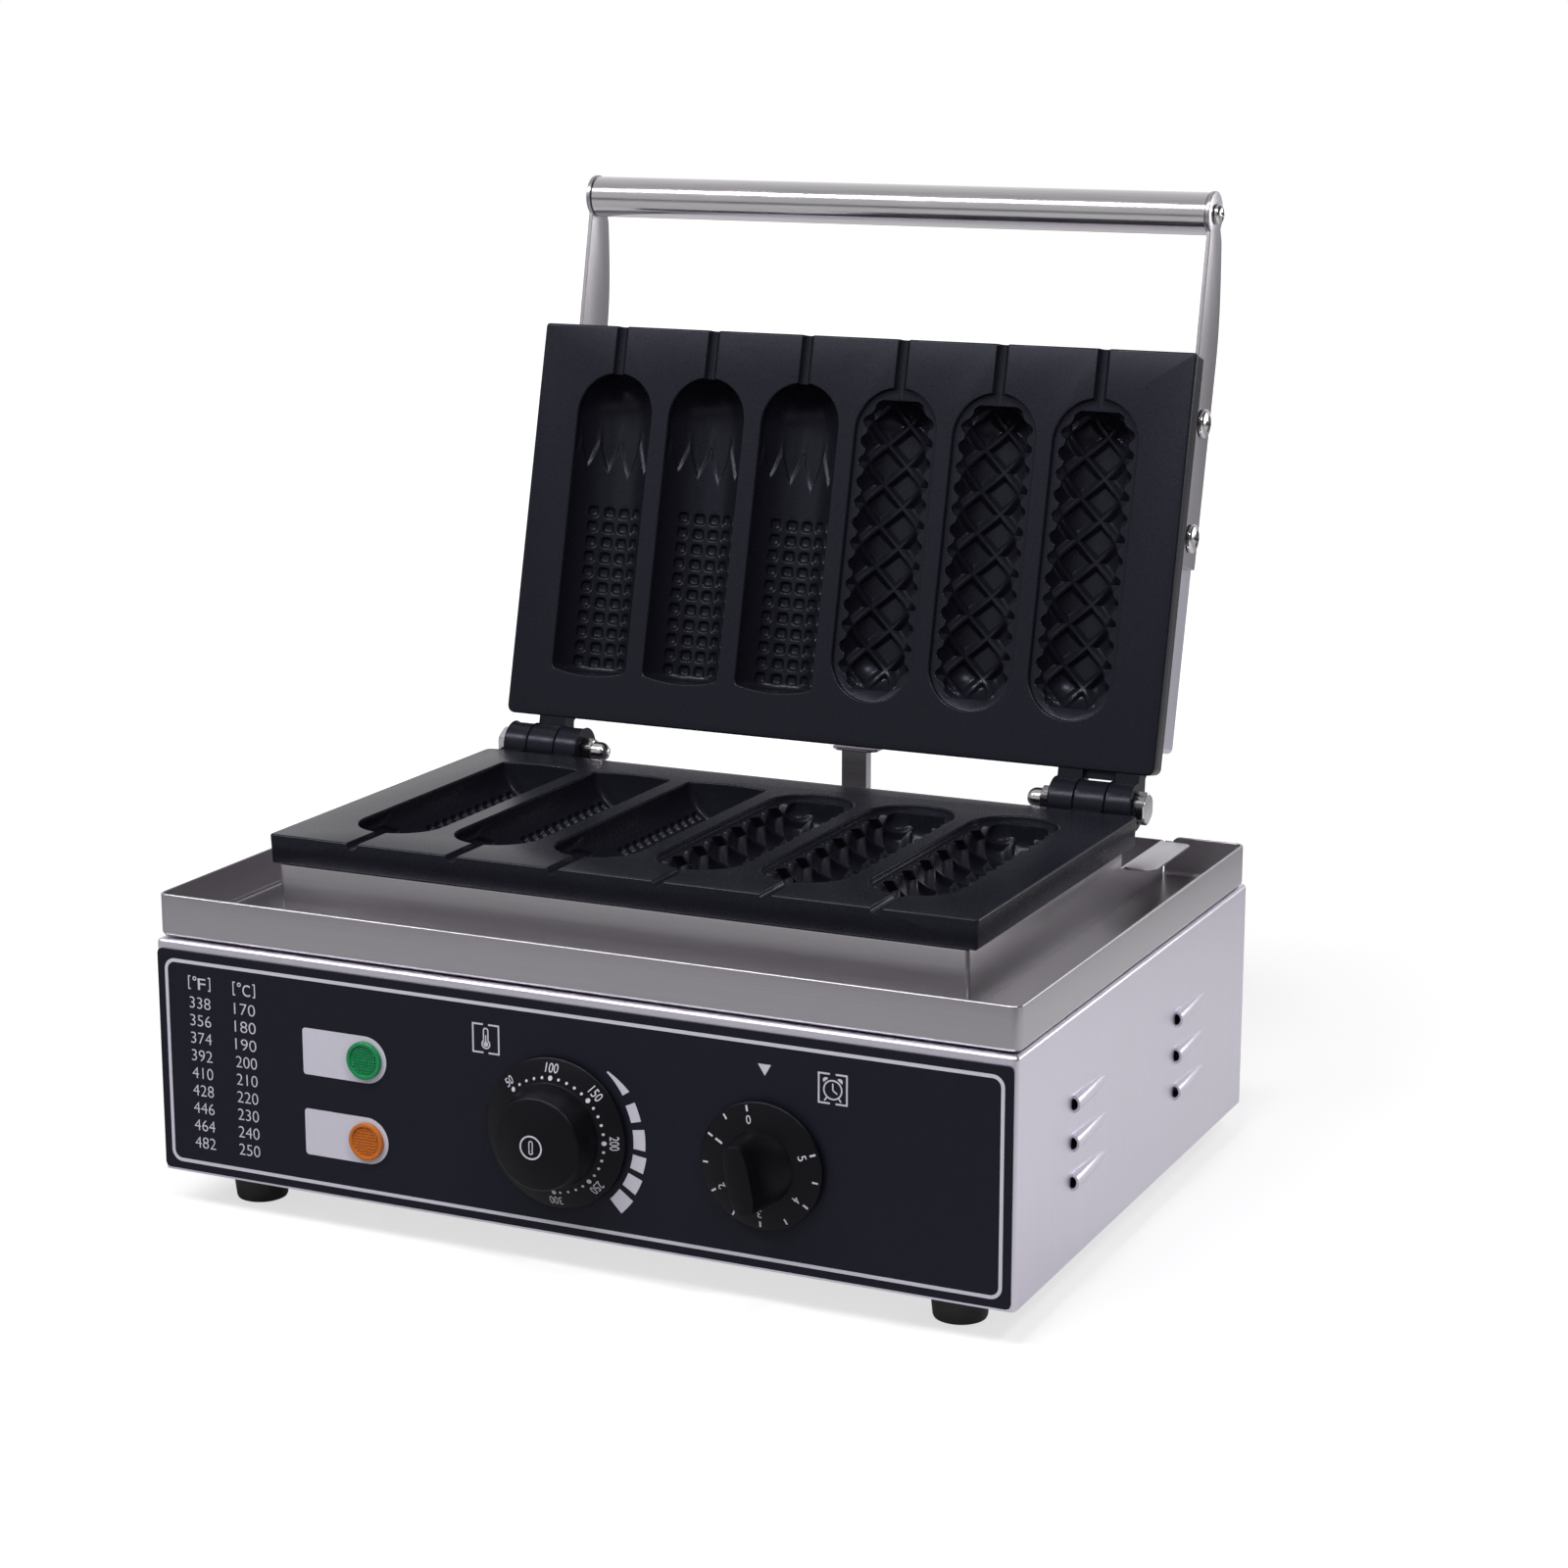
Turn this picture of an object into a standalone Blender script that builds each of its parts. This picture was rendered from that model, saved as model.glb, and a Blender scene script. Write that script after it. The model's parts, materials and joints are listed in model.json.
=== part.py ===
"""Hot dog waffle maker: a steel base with a drip tray, two hinged cast mould plates, a covered lid
with a tube handle, and a thermostat and a timer behind the front panel.

Metres, +Z up, +X to the right along the front, the front faces -Y. The origin is at the bottom centre
of the whole machine. The lid is drawn open, resting on its stop, as the machine stands when loaded.
Base pieces are placed from the lower front edge of the housing. Lid pieces are placed from the hinge
axis, as they lie when the lid is shut, and hang under an empty that turns them open.
"""
import math

import bmesh
import bpy
from mathutils import Matrix, Vector

# Clearances
GAP = 0.0003                    # between pieces that touch
SHAFT_GAP = 0.0004              # round a turning shaft, on the radius
HOLE_GAP = 0.0004               # round a screw in its hole, on the radius
OVERRUN = 0.004                 # how far a cutter passes the face that it opens
BITE = 0.0008                   # how far joined shapes sink into each other

# Housing
BODY_HEIGHT = 0.1012
SHEET = 0.0012
FOLD_RADIUS = 0.003
CORNER_RADIUS = 0.0025
TOP_OPENING_SIDE_INSET = 0.0170  # from the side of the tray's chamber
TOP_OPENING_END_INSET = 0.0175  # from the end of the lower plate
OVERLAY_THICKNESS = 0.0005
OVERLAY_MARGIN = 0.0012
OVERLAY_TOP_MARGIN = 0.0038
OVERLAY_CORNER_RADIUS = 0.002
BOTTOM_GAP = 0.0006
VENT_LENGTH = 0.040
VENT_WIDTH = 0.005
VENT_PITCH = 0.016
VENT_COUNT = 3
VENT_OFFSET = 0.060

# Side louvres
LOUVRE_LENGTH = 0.040
LOUVRE_HALF_HEIGHT = 0.0038
LOUVRE_RISE = 0.0032
LOUVRE_PITCH = 0.0161
LOUVRE_LOWEST = 0.0325
LOUVRE_FRONTS = (0.0605, 0.1845)
LOUVRE_ROWS = 3
LOUVRE_TAPER_SHARES = ((0.0, 1.0, 1.0), (0.62, 0.88, 0.80), (1.0, 0.22, 0.12))
LOUVRE_WALL_SHARE = 0.8
LOUVRE_HOLLOW_SHARE = 0.94
LOUVRE_ARCH_STEPS = 3

# Feet
FOOT_HEIGHT = 0.0155
FOOT_TOP_RADIUS = 0.0125
FOOT_BOTTOM_RADIUS = 0.0110
FOOT_RECESS_RADIUS = 0.0062
FOOT_RECESS_DEPTH = 0.0085
FOOT_SIDE_INSET = 0.032
FOOT_END_INSET = 0.025
FOOT_SCREW_RADIUS = 0.0020
FOOT_SCREW_HEAD_RADIUS = 0.0042
FOOT_SCREW_HEAD_HEIGHT = 0.0026
FOOT_SCREW_LENGTH = 0.012

# Drip tray with its raised heater chamber
TRAY_FRONT = 0.0021
TRAY_SIDE_MARGIN = 0.0003       # from the tray to the side of the housing
TRAY_BACK_MARGIN = 0.0038       # from the tray to the back of the housing
LIP_HEIGHT = 0.0186
LIP_CORNER_RADIUS = 0.004
LIP_FOLD_RADIUS = 0.0025
CHAMBER_HEIGHT = 0.0263
CHAMBER_SIDE_INSET = 0.0040     # under the side of the lower plate
CHAMBER_FRONT_INSET = 0.0010    # under the front of the lower plate
CHAMBER_BACK_REACH = 0.0340     # behind the hinge axis
CHAMBER_CORNER_RADIUS = 0.0022
SIDE_GUTTER = 0.03595
BACK_GUTTER = 0.0039
BAFFLE_REACH = 0.0238           # ahead of the hinge axis
REAR_WALL_HEIGHT = 0.0163
TAB_WIDTH = 0.0133
TAB_REACH = 0.0200              # ahead of the hinge axis
TAB_BACK_MARGIN = 0.0025
TAB_CORNER_RADIUS = 0.004
NOTCH_SIDE_MARGIN = 0.0020      # beyond the side of the chamber
NOTCH_CORNER_RADIUS = 0.0045

# Cast mould plates
PLATE_FRONT = 0.0388
RIM_THICKNESS = 0.0127
RIM_CORNER_RADIUS = 0.005
RIM_EDGE = 0.0009
RIM_DRAFT = 0.0006
BELLY_FLOOR = 0.0062            # casting left under a mould
BELLY_SIDE_INSET = 0.0110
BELLY_END_INSET = 0.0128
BELLY_DRAFT = 0.0015
BELLY_CORNER_RADIUS = 0.006
MOULD_COUNT = 6
MOULD_LAND = 0.0081             # face between two moulds
MOULD_SHIFT = -0.0008
MOULD_LENGTH = 0.141
MOULD_SIDE_MARGIN = 0.02195     # from the side of the plate to the first mould
MOULD_END_MARGIN = 0.0224       # at the free edge
MOULD_ROOT_MARGIN = 0.0216      # at the hinge edge
MOULD_DEPTH = 0.0203
MOULD_DRAFT = 0.0004
STICK_RADIUS = 0.0027
STICK_SINK = 0.0003

# Corn moulds
CORN_SIDE_INSET = 0.0005        # a corn mould is this much narrower on each side
CORN_WALL = 0.0020
CORN_ROUND_ANGLES = (22, 44, 66)
LEAF_ANGLES = (-90, -75, -60, -45, -30, -15, 0, 15, 30, 45, 60, 75, 90)
LEAF_TIP = 0.0500
LEAF_LENGTH = 0.0140
LEAF_STEP = 0.0009
LEAF_RUN = 0.0009
HUSK_BAND = 0.0116              # plain stretch between the leaves and the kernels
KERNEL_END_MARGIN = 0.0048
KERNEL_ROWS = 11
KERNEL_ANGLES = (-52.5, -31.5, -10.5, 10.5, 31.5, 52.5)
FLANK_ANGLES = (-90, -71)
KERNEL_DEPTH = 0.0013
CORN_END_SHARES = ((0.70, 0.98), (1.0, 0.90))

# Lattice moulds
RECESS_HALF_WIDTH = 0.0198
RECESS_DEPTH = 0.0026
LATTICE_START = 0.0064
LATTICE_END_MARGIN = 0.0050
LATTICE_FIRST_MARGIN = 0.0117   # from the trough's start to the first crossing
LATTICE_LAST_MARGIN = 0.0087    # from the last crossing to the trough's end
LATTICE_ROWS = 14
LATTICE_LEDGE = 0.0050
LATTICE_POCKET_DEPTH = 0.0028
LATTICE_HALF_ANGLE = 37
LATTICE_COLUMNS = 3
LATTICE_WALL_SHARE = 0.30
LATTICE_END_SHARE = 0.78

# Hinge
HINGE_SETBACK = 0.0142
HINGE_SIDE_INSET = 0.0250       # from the side of the plate to the middle of the hinge
KNUCKLE_RADIUS = 0.0100
KNUCKLE_OUTER_WIDTH = 0.0115
KNUCKLE_CENTRE_WIDTH = 0.0140
KNUCKLE_GAP = 0.0004
NECK_TOP = 0.0006
NECK_ROOT = 0.0110
NECK_WAIST = 0.0078
NECK_DEPTH_IN_PLATE = 0.0030
NECK_ANGLE = -112               # where the knuckle's round side meets its neck
KNUCKLE_STEPS = 10
BOLT_RADIUS = 0.0030
BOLT_HEAD_FLATS = 0.0125
BOLT_HEAD_HEIGHT = 0.0040
NUT_FLATS = 0.0105
NUT_HEX_LENGTH = 0.0050
NUT_LENGTH = 0.0125
NUT_DOME_RADIUS = 0.0048
NUT_THREAD_DEPTH = 0.0090
LID_OPEN_ANGLE = 104

# Lid stop
STOP_CENTRE_X = 0.0140
STOP_WIDTH = 0.0122
STOP_DEPTH = 0.0055
STOP_SETBACK = 0.0145           # behind the hinge axis
STOP_TOP_WIDTH = 0.0222
STOP_TOP_DEPTH = 0.0100
STOP_TOP_CHAMFER = 0.0035
STOP_TOP_OVERHANG = 0.0024

# Lid cover
COVER_SIDE_INSET = 0.0083       # from the side of the plate
COVER_NEAR_INSET = 0.0110       # from the hinge edge of the plate
COVER_FAR_INSET = 0.0108        # from the free edge of the plate
COVER_ROOM = 0.0235             # between the casting and the top of the cover
STANDOFF_INSET = 0.0127         # from the side of the cover
STANDOFF_RADIUS = 0.0040
STANDOFF_THREAD_DEPTH = 0.0090

# Handle
HANDLE_OVERHANG = 0.0648        # beyond the free edge of the plate
HANDLE_RISE = 0.0246
HANDLE_RADIUS = 0.0095
HANDLE_WALL = 0.0015
ARM_THICKNESS = 0.0020
ARM_HEAD_RADIUS = 0.0100
ARM_FOOT_OFFSET = 0.0013        # from the middle of the plate
ARM_FRONT_RISE = 0.0240
ARM_BACK_INSET = 0.0033         # from the top of the cover
ARM_FLARE_LENGTH = 0.0640       # from the flare to the tube
ARM_NECK_LENGTH = 0.0100        # from the neck to the tube
ARM_NECK_RISE = 0.0368
ARM_FLARE_STEPS = 5
ARM_FOOT_RADIUS = 0.0050
ARM_HEAD_START = -165
ARM_HEAD_TURN = 285
ARM_HEAD_STEPS = 8
ARM_NEAR_SCREW_INSET = 0.0133   # from the arm's foot
ARM_FAR_SCREW_INSET = 0.0158    # from the free end of the cover
ARM_SCREW_RADIUS = 0.0025
ARM_SCREW_LENGTH = 0.0080
ARM_SCREW_HEAD_RADIUS = 0.0065
ARM_SCREW_HEAD_HEIGHT = 0.0030
HANDLE_SCREW_RADIUS = 0.0025
HANDLE_SCREW_LENGTH = 0.0130
HANDLE_SCREW_HEAD_RADIUS = 0.0046
HANDLE_SCREW_HEAD_HEIGHT = 0.0030
INSERT_LENGTH = 0.0160
COVER_SCREW_HEAD_RADIUS = 0.0040
COVER_SCREW_HEAD_HEIGHT = 0.0022
COVER_SCREW_RADIUS = 0.0018
COVER_SCREW_LENGTH = 0.0080

# Heating elements
HEATER_RADIUS = 0.0033
HEATER_SIDE_INSET = 0.0360      # from the side of the plate
HEATER_END_INSET = 0.0385       # from the end of the plate
HEATER_LEGS = 4
HEATER_TAIL = 0.014
BEND_STEPS = 3
CLAMP_SIDE_INSET = 0.0270       # from the side of the element
CLAMP_END_INSET = 0.0285        # from the end of the plate
CLAMP_THICKNESS = 0.0015
CLAMP_WINDOW_WIDTH = 0.090
CLAMP_WINDOW_DEPTH = 0.018
CLAMP_BOSS_RADIUS = 0.0045
CLAMP_BOSS_INSET = 0.0100

# Controls on the front panel
CONTROL_HEIGHT = 0.0443
TEMPERATURE_X = -0.0020
TIMER_X = 0.0890
SHAFT_RADIUS = 0.0030
BUSHING_RADIUS = 0.0048
KNOB_STANDOFF = 0.0013
KNOB_BORE_DEPTH = 0.0120
SHAFT_SEAT = 0.0080
TEMPERATURE_SKIRT_RADIUS = 0.0323
TEMPERATURE_RIM_HEIGHT = 0.0034
TEMPERATURE_DIAL_RADIUS = 0.0228
TEMPERATURE_DIAL_HEIGHT = 0.0068
TEMPERATURE_GRIP_RADIUS = 0.0214
TEMPERATURE_FACE_RADIUS = 0.0194
TEMPERATURE_EDGE_HEIGHT = 0.0195
TEMPERATURE_HEIGHT = 0.0230
TIMER_SKIRT_RADIUS = 0.0260
TIMER_RIM_HEIGHT = 0.0040
TIMER_DIAL_HEIGHT = 0.0058
TIMER_HUB_RADIUS = 0.0148
TIMER_HEIGHT = 0.0245
TIMER_BAR_TILT = 12
THERMOSTAT_WIDTH = 0.036
THERMOSTAT_DEPTH = 0.028
THERMOSTAT_CAP_RADIUS = 0.0145
THERMOSTAT_CAP_HEIGHT = 0.0060
TIMER_BODY_WIDTH = 0.044
TIMER_BODY_DEPTH = 0.030
TIMER_BELL_RADIUS = 0.0170
TIMER_BELL_HEIGHT = 0.0070

# Pilot lamps
LAMP_X = -0.0913
LAMP_HEIGHTS = (0.0619, 0.0271)
LAMP_HEAD_RADIUS = 0.0080
LAMP_HEAD_HEIGHT = 0.0026
LAMP_STEM_RADIUS = 0.0050
LAMP_STEM_LENGTH = 0.0080
LAMP_BODY_RADIUS = 0.0072
LAMP_BODY_LENGTH = 0.0240
LAMP_FACE_SHARE = 0.86

# Thermostat bulb and its capillary tube
BULB_RADIUS = 0.0029
BULB_HALF_LENGTH = 0.040
CAPILLARY_RADIUS = 0.0010
CAPILLARY_STEPS = 2

# Wiring entry
TERMINAL_WIDTH = 0.034
TERMINAL_DEPTH = 0.020
TERMINAL_HEIGHT = 0.016
TERMINAL_SLOT_WIDTH = 0.0040
TERMINAL_SLOT_DEPTH = 0.0060
TERMINAL_OFFSET = 0.0200        # from the gland, to the right
TERMINAL_SETBACK = 0.0547       # from the back of the housing
GLAND_SIDE_INSET = 0.06325      # from the side of the housing
GLAND_HEIGHT = 0.030
GLAND_RADIUS = 0.0065
GLAND_FLANGE_RADIUS = 0.0100
GLAND_BORE_RADIUS = 0.0038
GLAND_NOSE_LENGTH = 0.0120
GLAND_NOSE_RADIUS = 0.0062
GLAND_TIP_SHARE = 0.8
GLAND_FLANGE_THICKNESS = 0.0030
GLAND_TAIL_LENGTH = 0.0100

# Faces round a turned piece
FINE_SIDES = 28
ROUND_SIDES = 16
SMALL_SIDES = 8
HEAD_SIDES = 10
BORE_SIDES = 10
SHAFT_SIDES = 12
CORNER_STEPS = 2
RECESS_END_STEPS = 6

# The moulds set the plates
MOULD_PITCH = 2 * RECESS_HALF_WIDTH + MOULD_LAND
PLATE_WIDTH = MOULD_COUNT * MOULD_PITCH - MOULD_LAND + 2 * MOULD_SIDE_MARGIN
PLATE_DEPTH = MOULD_LENGTH + MOULD_END_MARGIN + MOULD_ROOT_MARGIN
PLATE_MIDDLE = HINGE_SETBACK + PLATE_DEPTH / 2
BELLY_THICKNESS = MOULD_DEPTH + BELLY_FLOOR
MOULD_TIP = HINGE_SETBACK + PLATE_DEPTH - MOULD_END_MARGIN
CORN_HALF_WIDTH = RECESS_HALF_WIDTH - CORN_SIDE_INSET
LEAF_NOTCH = LEAF_TIP - LEAF_LENGTH
KERNEL_START = LEAF_TIP + LEAF_RUN + HUSK_BAND
KERNEL_PITCH = (MOULD_LENGTH - KERNEL_START - KERNEL_END_MARGIN) / KERNEL_ROWS
LATTICE_END = MOULD_LENGTH - LATTICE_END_MARGIN
LATTICE_FIRST_CROSSING = LATTICE_START + LATTICE_FIRST_MARGIN
LATTICE_HALF_PITCH = (LATTICE_END - LATTICE_LAST_MARGIN - LATTICE_FIRST_CROSSING) / (LATTICE_ROWS - 2)
LATTICE_RIDGE_RADIUS = RECESS_HALF_WIDTH - LATTICE_LEDGE

# The plates set the tray, and the tray sets the housing
AXIS_Y = PLATE_FRONT + PLATE_DEPTH + HINGE_SETBACK
CHAMBER_WIDTH = PLATE_WIDTH - 2 * CHAMBER_SIDE_INSET
CHAMBER_FRONT = PLATE_FRONT + CHAMBER_FRONT_INSET
CHAMBER_BACK = AXIS_Y + CHAMBER_BACK_REACH
BAFFLE_BACK = AXIS_Y - BAFFLE_REACH
TAB_FRONT = AXIS_Y - TAB_REACH
TAB_BACK = CHAMBER_BACK - TAB_BACK_MARGIN
NOTCH_HALF_WIDTH = CHAMBER_WIDTH / 2 + NOTCH_SIDE_MARGIN
TRAY_WIDTH = CHAMBER_WIDTH + 2 * SIDE_GUTTER
TRAY_DEPTH = CHAMBER_BACK + BACK_GUTTER - TRAY_FRONT
TRAY_BOTTOM = BODY_HEIGHT + GAP
TRAY_FLOOR = TRAY_BOTTOM + SHEET
CHAMBER_TOP = TRAY_BOTTOM + CHAMBER_HEIGHT
PARTING_HEIGHT = CHAMBER_TOP + GAP + RIM_THICKNESS
BODY_WIDTH = TRAY_WIDTH + 2 * TRAY_SIDE_MARGIN
BODY_DEPTH = TRAY_FRONT + TRAY_DEPTH + TRAY_BACK_MARGIN
TOP_OPENING_WIDTH = CHAMBER_WIDTH - 2 * TOP_OPENING_SIDE_INSET
TOP_OPENING_DEPTH = PLATE_DEPTH - 2 * TOP_OPENING_END_INSET
STOP_FRONT = AXIS_Y + STOP_SETBACK
GLAND_X = GLAND_SIDE_INSET - BODY_WIDTH / 2
TERMINAL_X = GLAND_X + TERMINAL_OFFSET
TERMINAL_Y = BODY_DEPTH - TERMINAL_SETBACK

# The plates set the hinge, the elements, the cover and the handle
OPEN = math.radians(LID_OPEN_ANGLE)
HINGE_HALF_SPACING = PLATE_WIDTH / 2 - HINGE_SIDE_INSET
KNUCKLE_HALF_SPAN = KNUCKLE_CENTRE_WIDTH / 2 + KNUCKLE_GAP + KNUCKLE_OUTER_WIDTH
HEATER_HALF_WIDTH = PLATE_WIDTH / 2 - HEATER_SIDE_INSET
HEATER_LEG_PITCH = (PLATE_DEPTH - 2 * HEATER_END_INSET) / (HEATER_LEGS - 1)
HEATER_LEVEL = BELLY_THICKNESS + GAP + HEATER_RADIUS
CLAMP_HALF_WIDTH = HEATER_HALF_WIDTH - CLAMP_SIDE_INSET
CLAMP_HALF_DEPTH = PLATE_DEPTH / 2 - CLAMP_END_INSET
CLAMP_BOSS_X = CLAMP_HALF_WIDTH - CLAMP_BOSS_INSET
CLAMP_LEVEL = HEATER_LEVEL + HEATER_RADIUS + GAP
COVER_HALF_WIDTH = PLATE_WIDTH / 2 - COVER_SIDE_INSET
COVER_NEAR = HINGE_SETBACK + COVER_NEAR_INSET
COVER_FAR = HINGE_SETBACK + PLATE_DEPTH - COVER_FAR_INSET
COVER_HEIGHT = BELLY_THICKNESS + COVER_ROOM
STANDOFF_X = COVER_HALF_WIDTH - STANDOFF_INSET
HANDLE_REACH = HINGE_SETBACK + PLATE_DEPTH + HANDLE_OVERHANG
ARM_INNER_X = COVER_HALF_WIDTH + GAP
ARM_OUTER_X = ARM_INNER_X + ARM_THICKNESS
ARM_FOOT_REACH = PLATE_MIDDLE + ARM_FOOT_OFFSET
ARM_BACK_RISE = COVER_HEIGHT - ARM_BACK_INSET
ARM_FLARE_REACH = HANDLE_REACH - ARM_FLARE_LENGTH
ARM_NECK_REACH = HANDLE_REACH - ARM_NECK_LENGTH
ARM_SCREW_REACHES = (ARM_FOOT_REACH + ARM_NEAR_SCREW_INSET, COVER_FAR - ARM_FAR_SCREW_INSET)

# Where the whole machine stands
REARMOST = (AXIS_Y - HANDLE_REACH * math.cos(OPEN) + HANDLE_RISE * math.sin(OPEN) + ARM_HEAD_RADIUS)
BODY_FRONT_Y = -(REARMOST - TIMER_HEIGHT) / 2


def clear_scene():
    for old in list(bpy.data.objects):
        bpy.data.objects.remove(old, do_unlink=True)


def material(name, colour, roughness, metallic=0.0):
    made = bpy.data.materials.new(name)
    made.use_nodes = True
    shader = made.node_tree.nodes["Principled BSDF"]
    shader.inputs["Base Color"].default_value = (*colour, 1.0)
    shader.inputs["Roughness"].default_value = roughness
    shader.inputs["Metallic"].default_value = metallic
    return made


def steel(name):
    return material(name, (0.60, 0.58, 0.58), 0.32, 1.0)


def bright_steel(name):
    return material(name, (0.72, 0.71, 0.70), 0.16, 1.0)


def cast_black(name):
    return material(name, (0.022, 0.022, 0.026), 0.46)


def black_plastic(name):
    return material(name, (0.018, 0.018, 0.020), 0.38)


def black_rubber(name):
    return material(name, (0.016, 0.016, 0.016), 0.80)


def empty(name, parent=None, location=(0, 0, 0), rotation=(0, 0, 0)):
    made = bpy.data.objects.new(name, None)
    bpy.context.collection.objects.link(made)
    made.parent = parent
    made.location = location
    made.rotation_euler = rotation
    return made


def add_object(name, bm, parent, surface=None, location=(0, 0, 0), rotation=(0, 0, 0)):
    """Turn a bmesh into an object with outward faces, smooth on round parts."""
    bmesh.ops.recalc_face_normals(bm, faces=bm.faces)
    mesh = bpy.data.meshes.new(name)
    bm.to_mesh(mesh)
    bm.free()
    if surface:
        mesh.materials.append(surface)
    mesh.shade_smooth()
    mesh.set_sharp_from_angle(angle=math.radians(32))
    made = bpy.data.objects.new(name, mesh)
    bpy.context.collection.objects.link(made)
    made.parent = parent
    made.location = location
    made.rotation_euler = rotation
    return made


def add_helper(name, bm, parent):
    """A hidden object that a Boolean reads."""
    made = add_object(name, bm, parent)
    made.hide_render = True
    made.display_type = "WIRE"
    return made


def boolean(target, other, operation):
    modifier = target.modifiers.new(other.name, "BOOLEAN")
    modifier.operation = operation
    modifier.solver = "EXACT"
    modifier.object = other


def loft(bm, rings):
    """Skin rings of equal point counts and close both ends with a face."""
    rows = [[bm.verts.new(point) for point in ring] for ring in rings]
    for low, high in zip(rows, rows[1:]):
        for i in range(len(low)):
            j = (i + 1) % len(low)
            bm.faces.new((low[i], low[j], high[j], high[i]))
    bm.faces.new(list(reversed(rows[0])))
    bm.faces.new(rows[-1])


def rounded_rectangle(width, depth, radius, steps=CORNER_STEPS):
    """Points round a rectangle centred on zero, with arc corners."""
    points = []
    for corner, (sx, sy) in enumerate(((1, 1), (-1, 1), (-1, -1), (1, -1))):
        for step in range(steps + 1):
            angle = math.radians(90 * corner + 90 * step / steps)
            x = sx * (width / 2 - radius) + radius * math.cos(angle)
            y = sy * (depth / 2 - radius) + radius * math.sin(angle)
            points.append((x, y))
    return points


def rectangle_ring(width, depth, radius, inset, height, centre=(0, 0)):
    outline = rounded_rectangle(width - 2 * inset, depth - 2 * inset, max(radius - inset, radius / 4))
    return [(centre[0] + x, centre[1] + y, height) for x, y in outline]


def block(bm, low, high):
    """A plain box between two corners."""
    size = Vector(high) - Vector(low)
    middle = (Vector(high) + Vector(low)) / 2
    bmesh.ops.create_cube(bm, size=1, matrix=Matrix.Translation(middle) @ Matrix.Diagonal((*size, 1)))


def turn(bm, profile, sides, matrix=None):
    """Revolve radius and height pairs about Z, closed by a face at each end."""
    matrix = matrix or Matrix.Identity(4)
    rings = []
    for radius, height in profile:
        ring = []
        for i in range(sides):
            angle = 2 * math.pi * (i + 0.5) / sides
            ring.append(matrix @ Vector((radius * math.cos(angle), radius * math.sin(angle), height)))
        rings.append(ring)
    loft(bm, rings)


def rod(bm, radius, start, end, sides):
    """A cylinder between two points."""
    start, end = Vector(start), Vector(end)
    along = end - start
    matrix = Matrix.Translation(start) @ along.to_track_quat("Z", "Y").to_matrix().to_4x4()
    turn(bm, ((radius, 0), (radius, along.length)), sides, matrix)


def prism(bm, outline, place_low, place_high):
    """Extrude an outline between two placings of its points."""
    loft(bm, [[place_low(*point) for point in outline], [place_high(*point) for point in outline]])


def flip_up(bm):
    """Mirror a lower-plate shape about the parting face, to make its upper twin."""
    bmesh.ops.scale(bm, vec=(1, 1, -1), verts=bm.verts)
    bmesh.ops.reverse_faces(bm, faces=bm.faces)


def triangle_pair(bm, a, b, c, d):
    bm.faces.new((a, b, c))
    bm.faces.new((a, c, d))


# Housing and its covers


def front_holes(bm, length_behind, length_ahead, shaft_radius, lamp_radius):
    """Cylinders where the control shafts and the pilot lamps pass the front."""
    for x in (TEMPERATURE_X, TIMER_X):
        rod(bm, shaft_radius, (x, -length_ahead, CONTROL_HEIGHT), (x, length_behind, CONTROL_HEIGHT),
            ROUND_SIDES)
    for height in LAMP_HEIGHTS:
        rod(bm, lamp_radius, (LAMP_X, -length_ahead, height), (LAMP_X, length_behind, height),
            ROUND_SIDES)


def louvre_ring(side, front, height, share, half_height, rise, root):
    """One section across a louvre: an arch over the side wall, closed at the root."""
    y = front + share * LOUVRE_LENGTH
    wall = BODY_WIDTH / 2
    ring = [(side * root, y, height - half_height)]
    for step in range(LOUVRE_ARCH_STEPS + 1):
        angle = math.pi * step / LOUVRE_ARCH_STEPS
        ring.append((side * (wall + rise * math.sin(angle)), y, height - half_height * math.cos(angle)))
    ring.append((side * root, y, height + half_height))
    return ring


def louvres(bm, inner):
    """Raised hoods on both sides, or the hollows under them, open at the front end."""
    for side in (-1, 1):
        for front in LOUVRE_FRONTS:
            for row in range(LOUVRE_ROWS):
                height = LOUVRE_LOWEST + row * LOUVRE_PITCH
                rings = []
                for share, width_share, rise_share in LOUVRE_TAPER_SHARES:
                    half = LOUVRE_HALF_HEIGHT * width_share
                    rise = LOUVRE_RISE * rise_share
                    root = BODY_WIDTH / 2 - SHEET / 2
                    if inner:
                        half -= SHEET * width_share * LOUVRE_WALL_SHARE
                        rise -= SHEET * rise_share
                        root = BODY_WIDTH / 2 - SHEET - OVERRUN
                        share = share * LOUVRE_HOLLOW_SHARE - OVERRUN / LOUVRE_LENGTH * (share == 0)
                    rings.append(louvre_ring(side, front, height, share, half, rise, root))
                loft(bm, rings)


def folded_cover(bm, width, depth, foot, top, middle):
    """Sheet box, open at its foot, with rounded folds along its top."""
    rings = []
    for inset in (SHEET, 0):
        wall = [(inset, foot)]
        for step in range(CORNER_STEPS + 1):
            angle = math.radians(90 * step / CORNER_STEPS)
            wall.append((inset + FOLD_RADIUS * (1 - math.cos(angle)),
                         top - inset - FOLD_RADIUS * (1 - math.sin(angle))))
        rings += reversed(wall) if inset else wall
    loft(bm, [rectangle_ring(width, depth, CORNER_RADIUS, inset, height, middle) for inset, height in rings])


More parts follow.
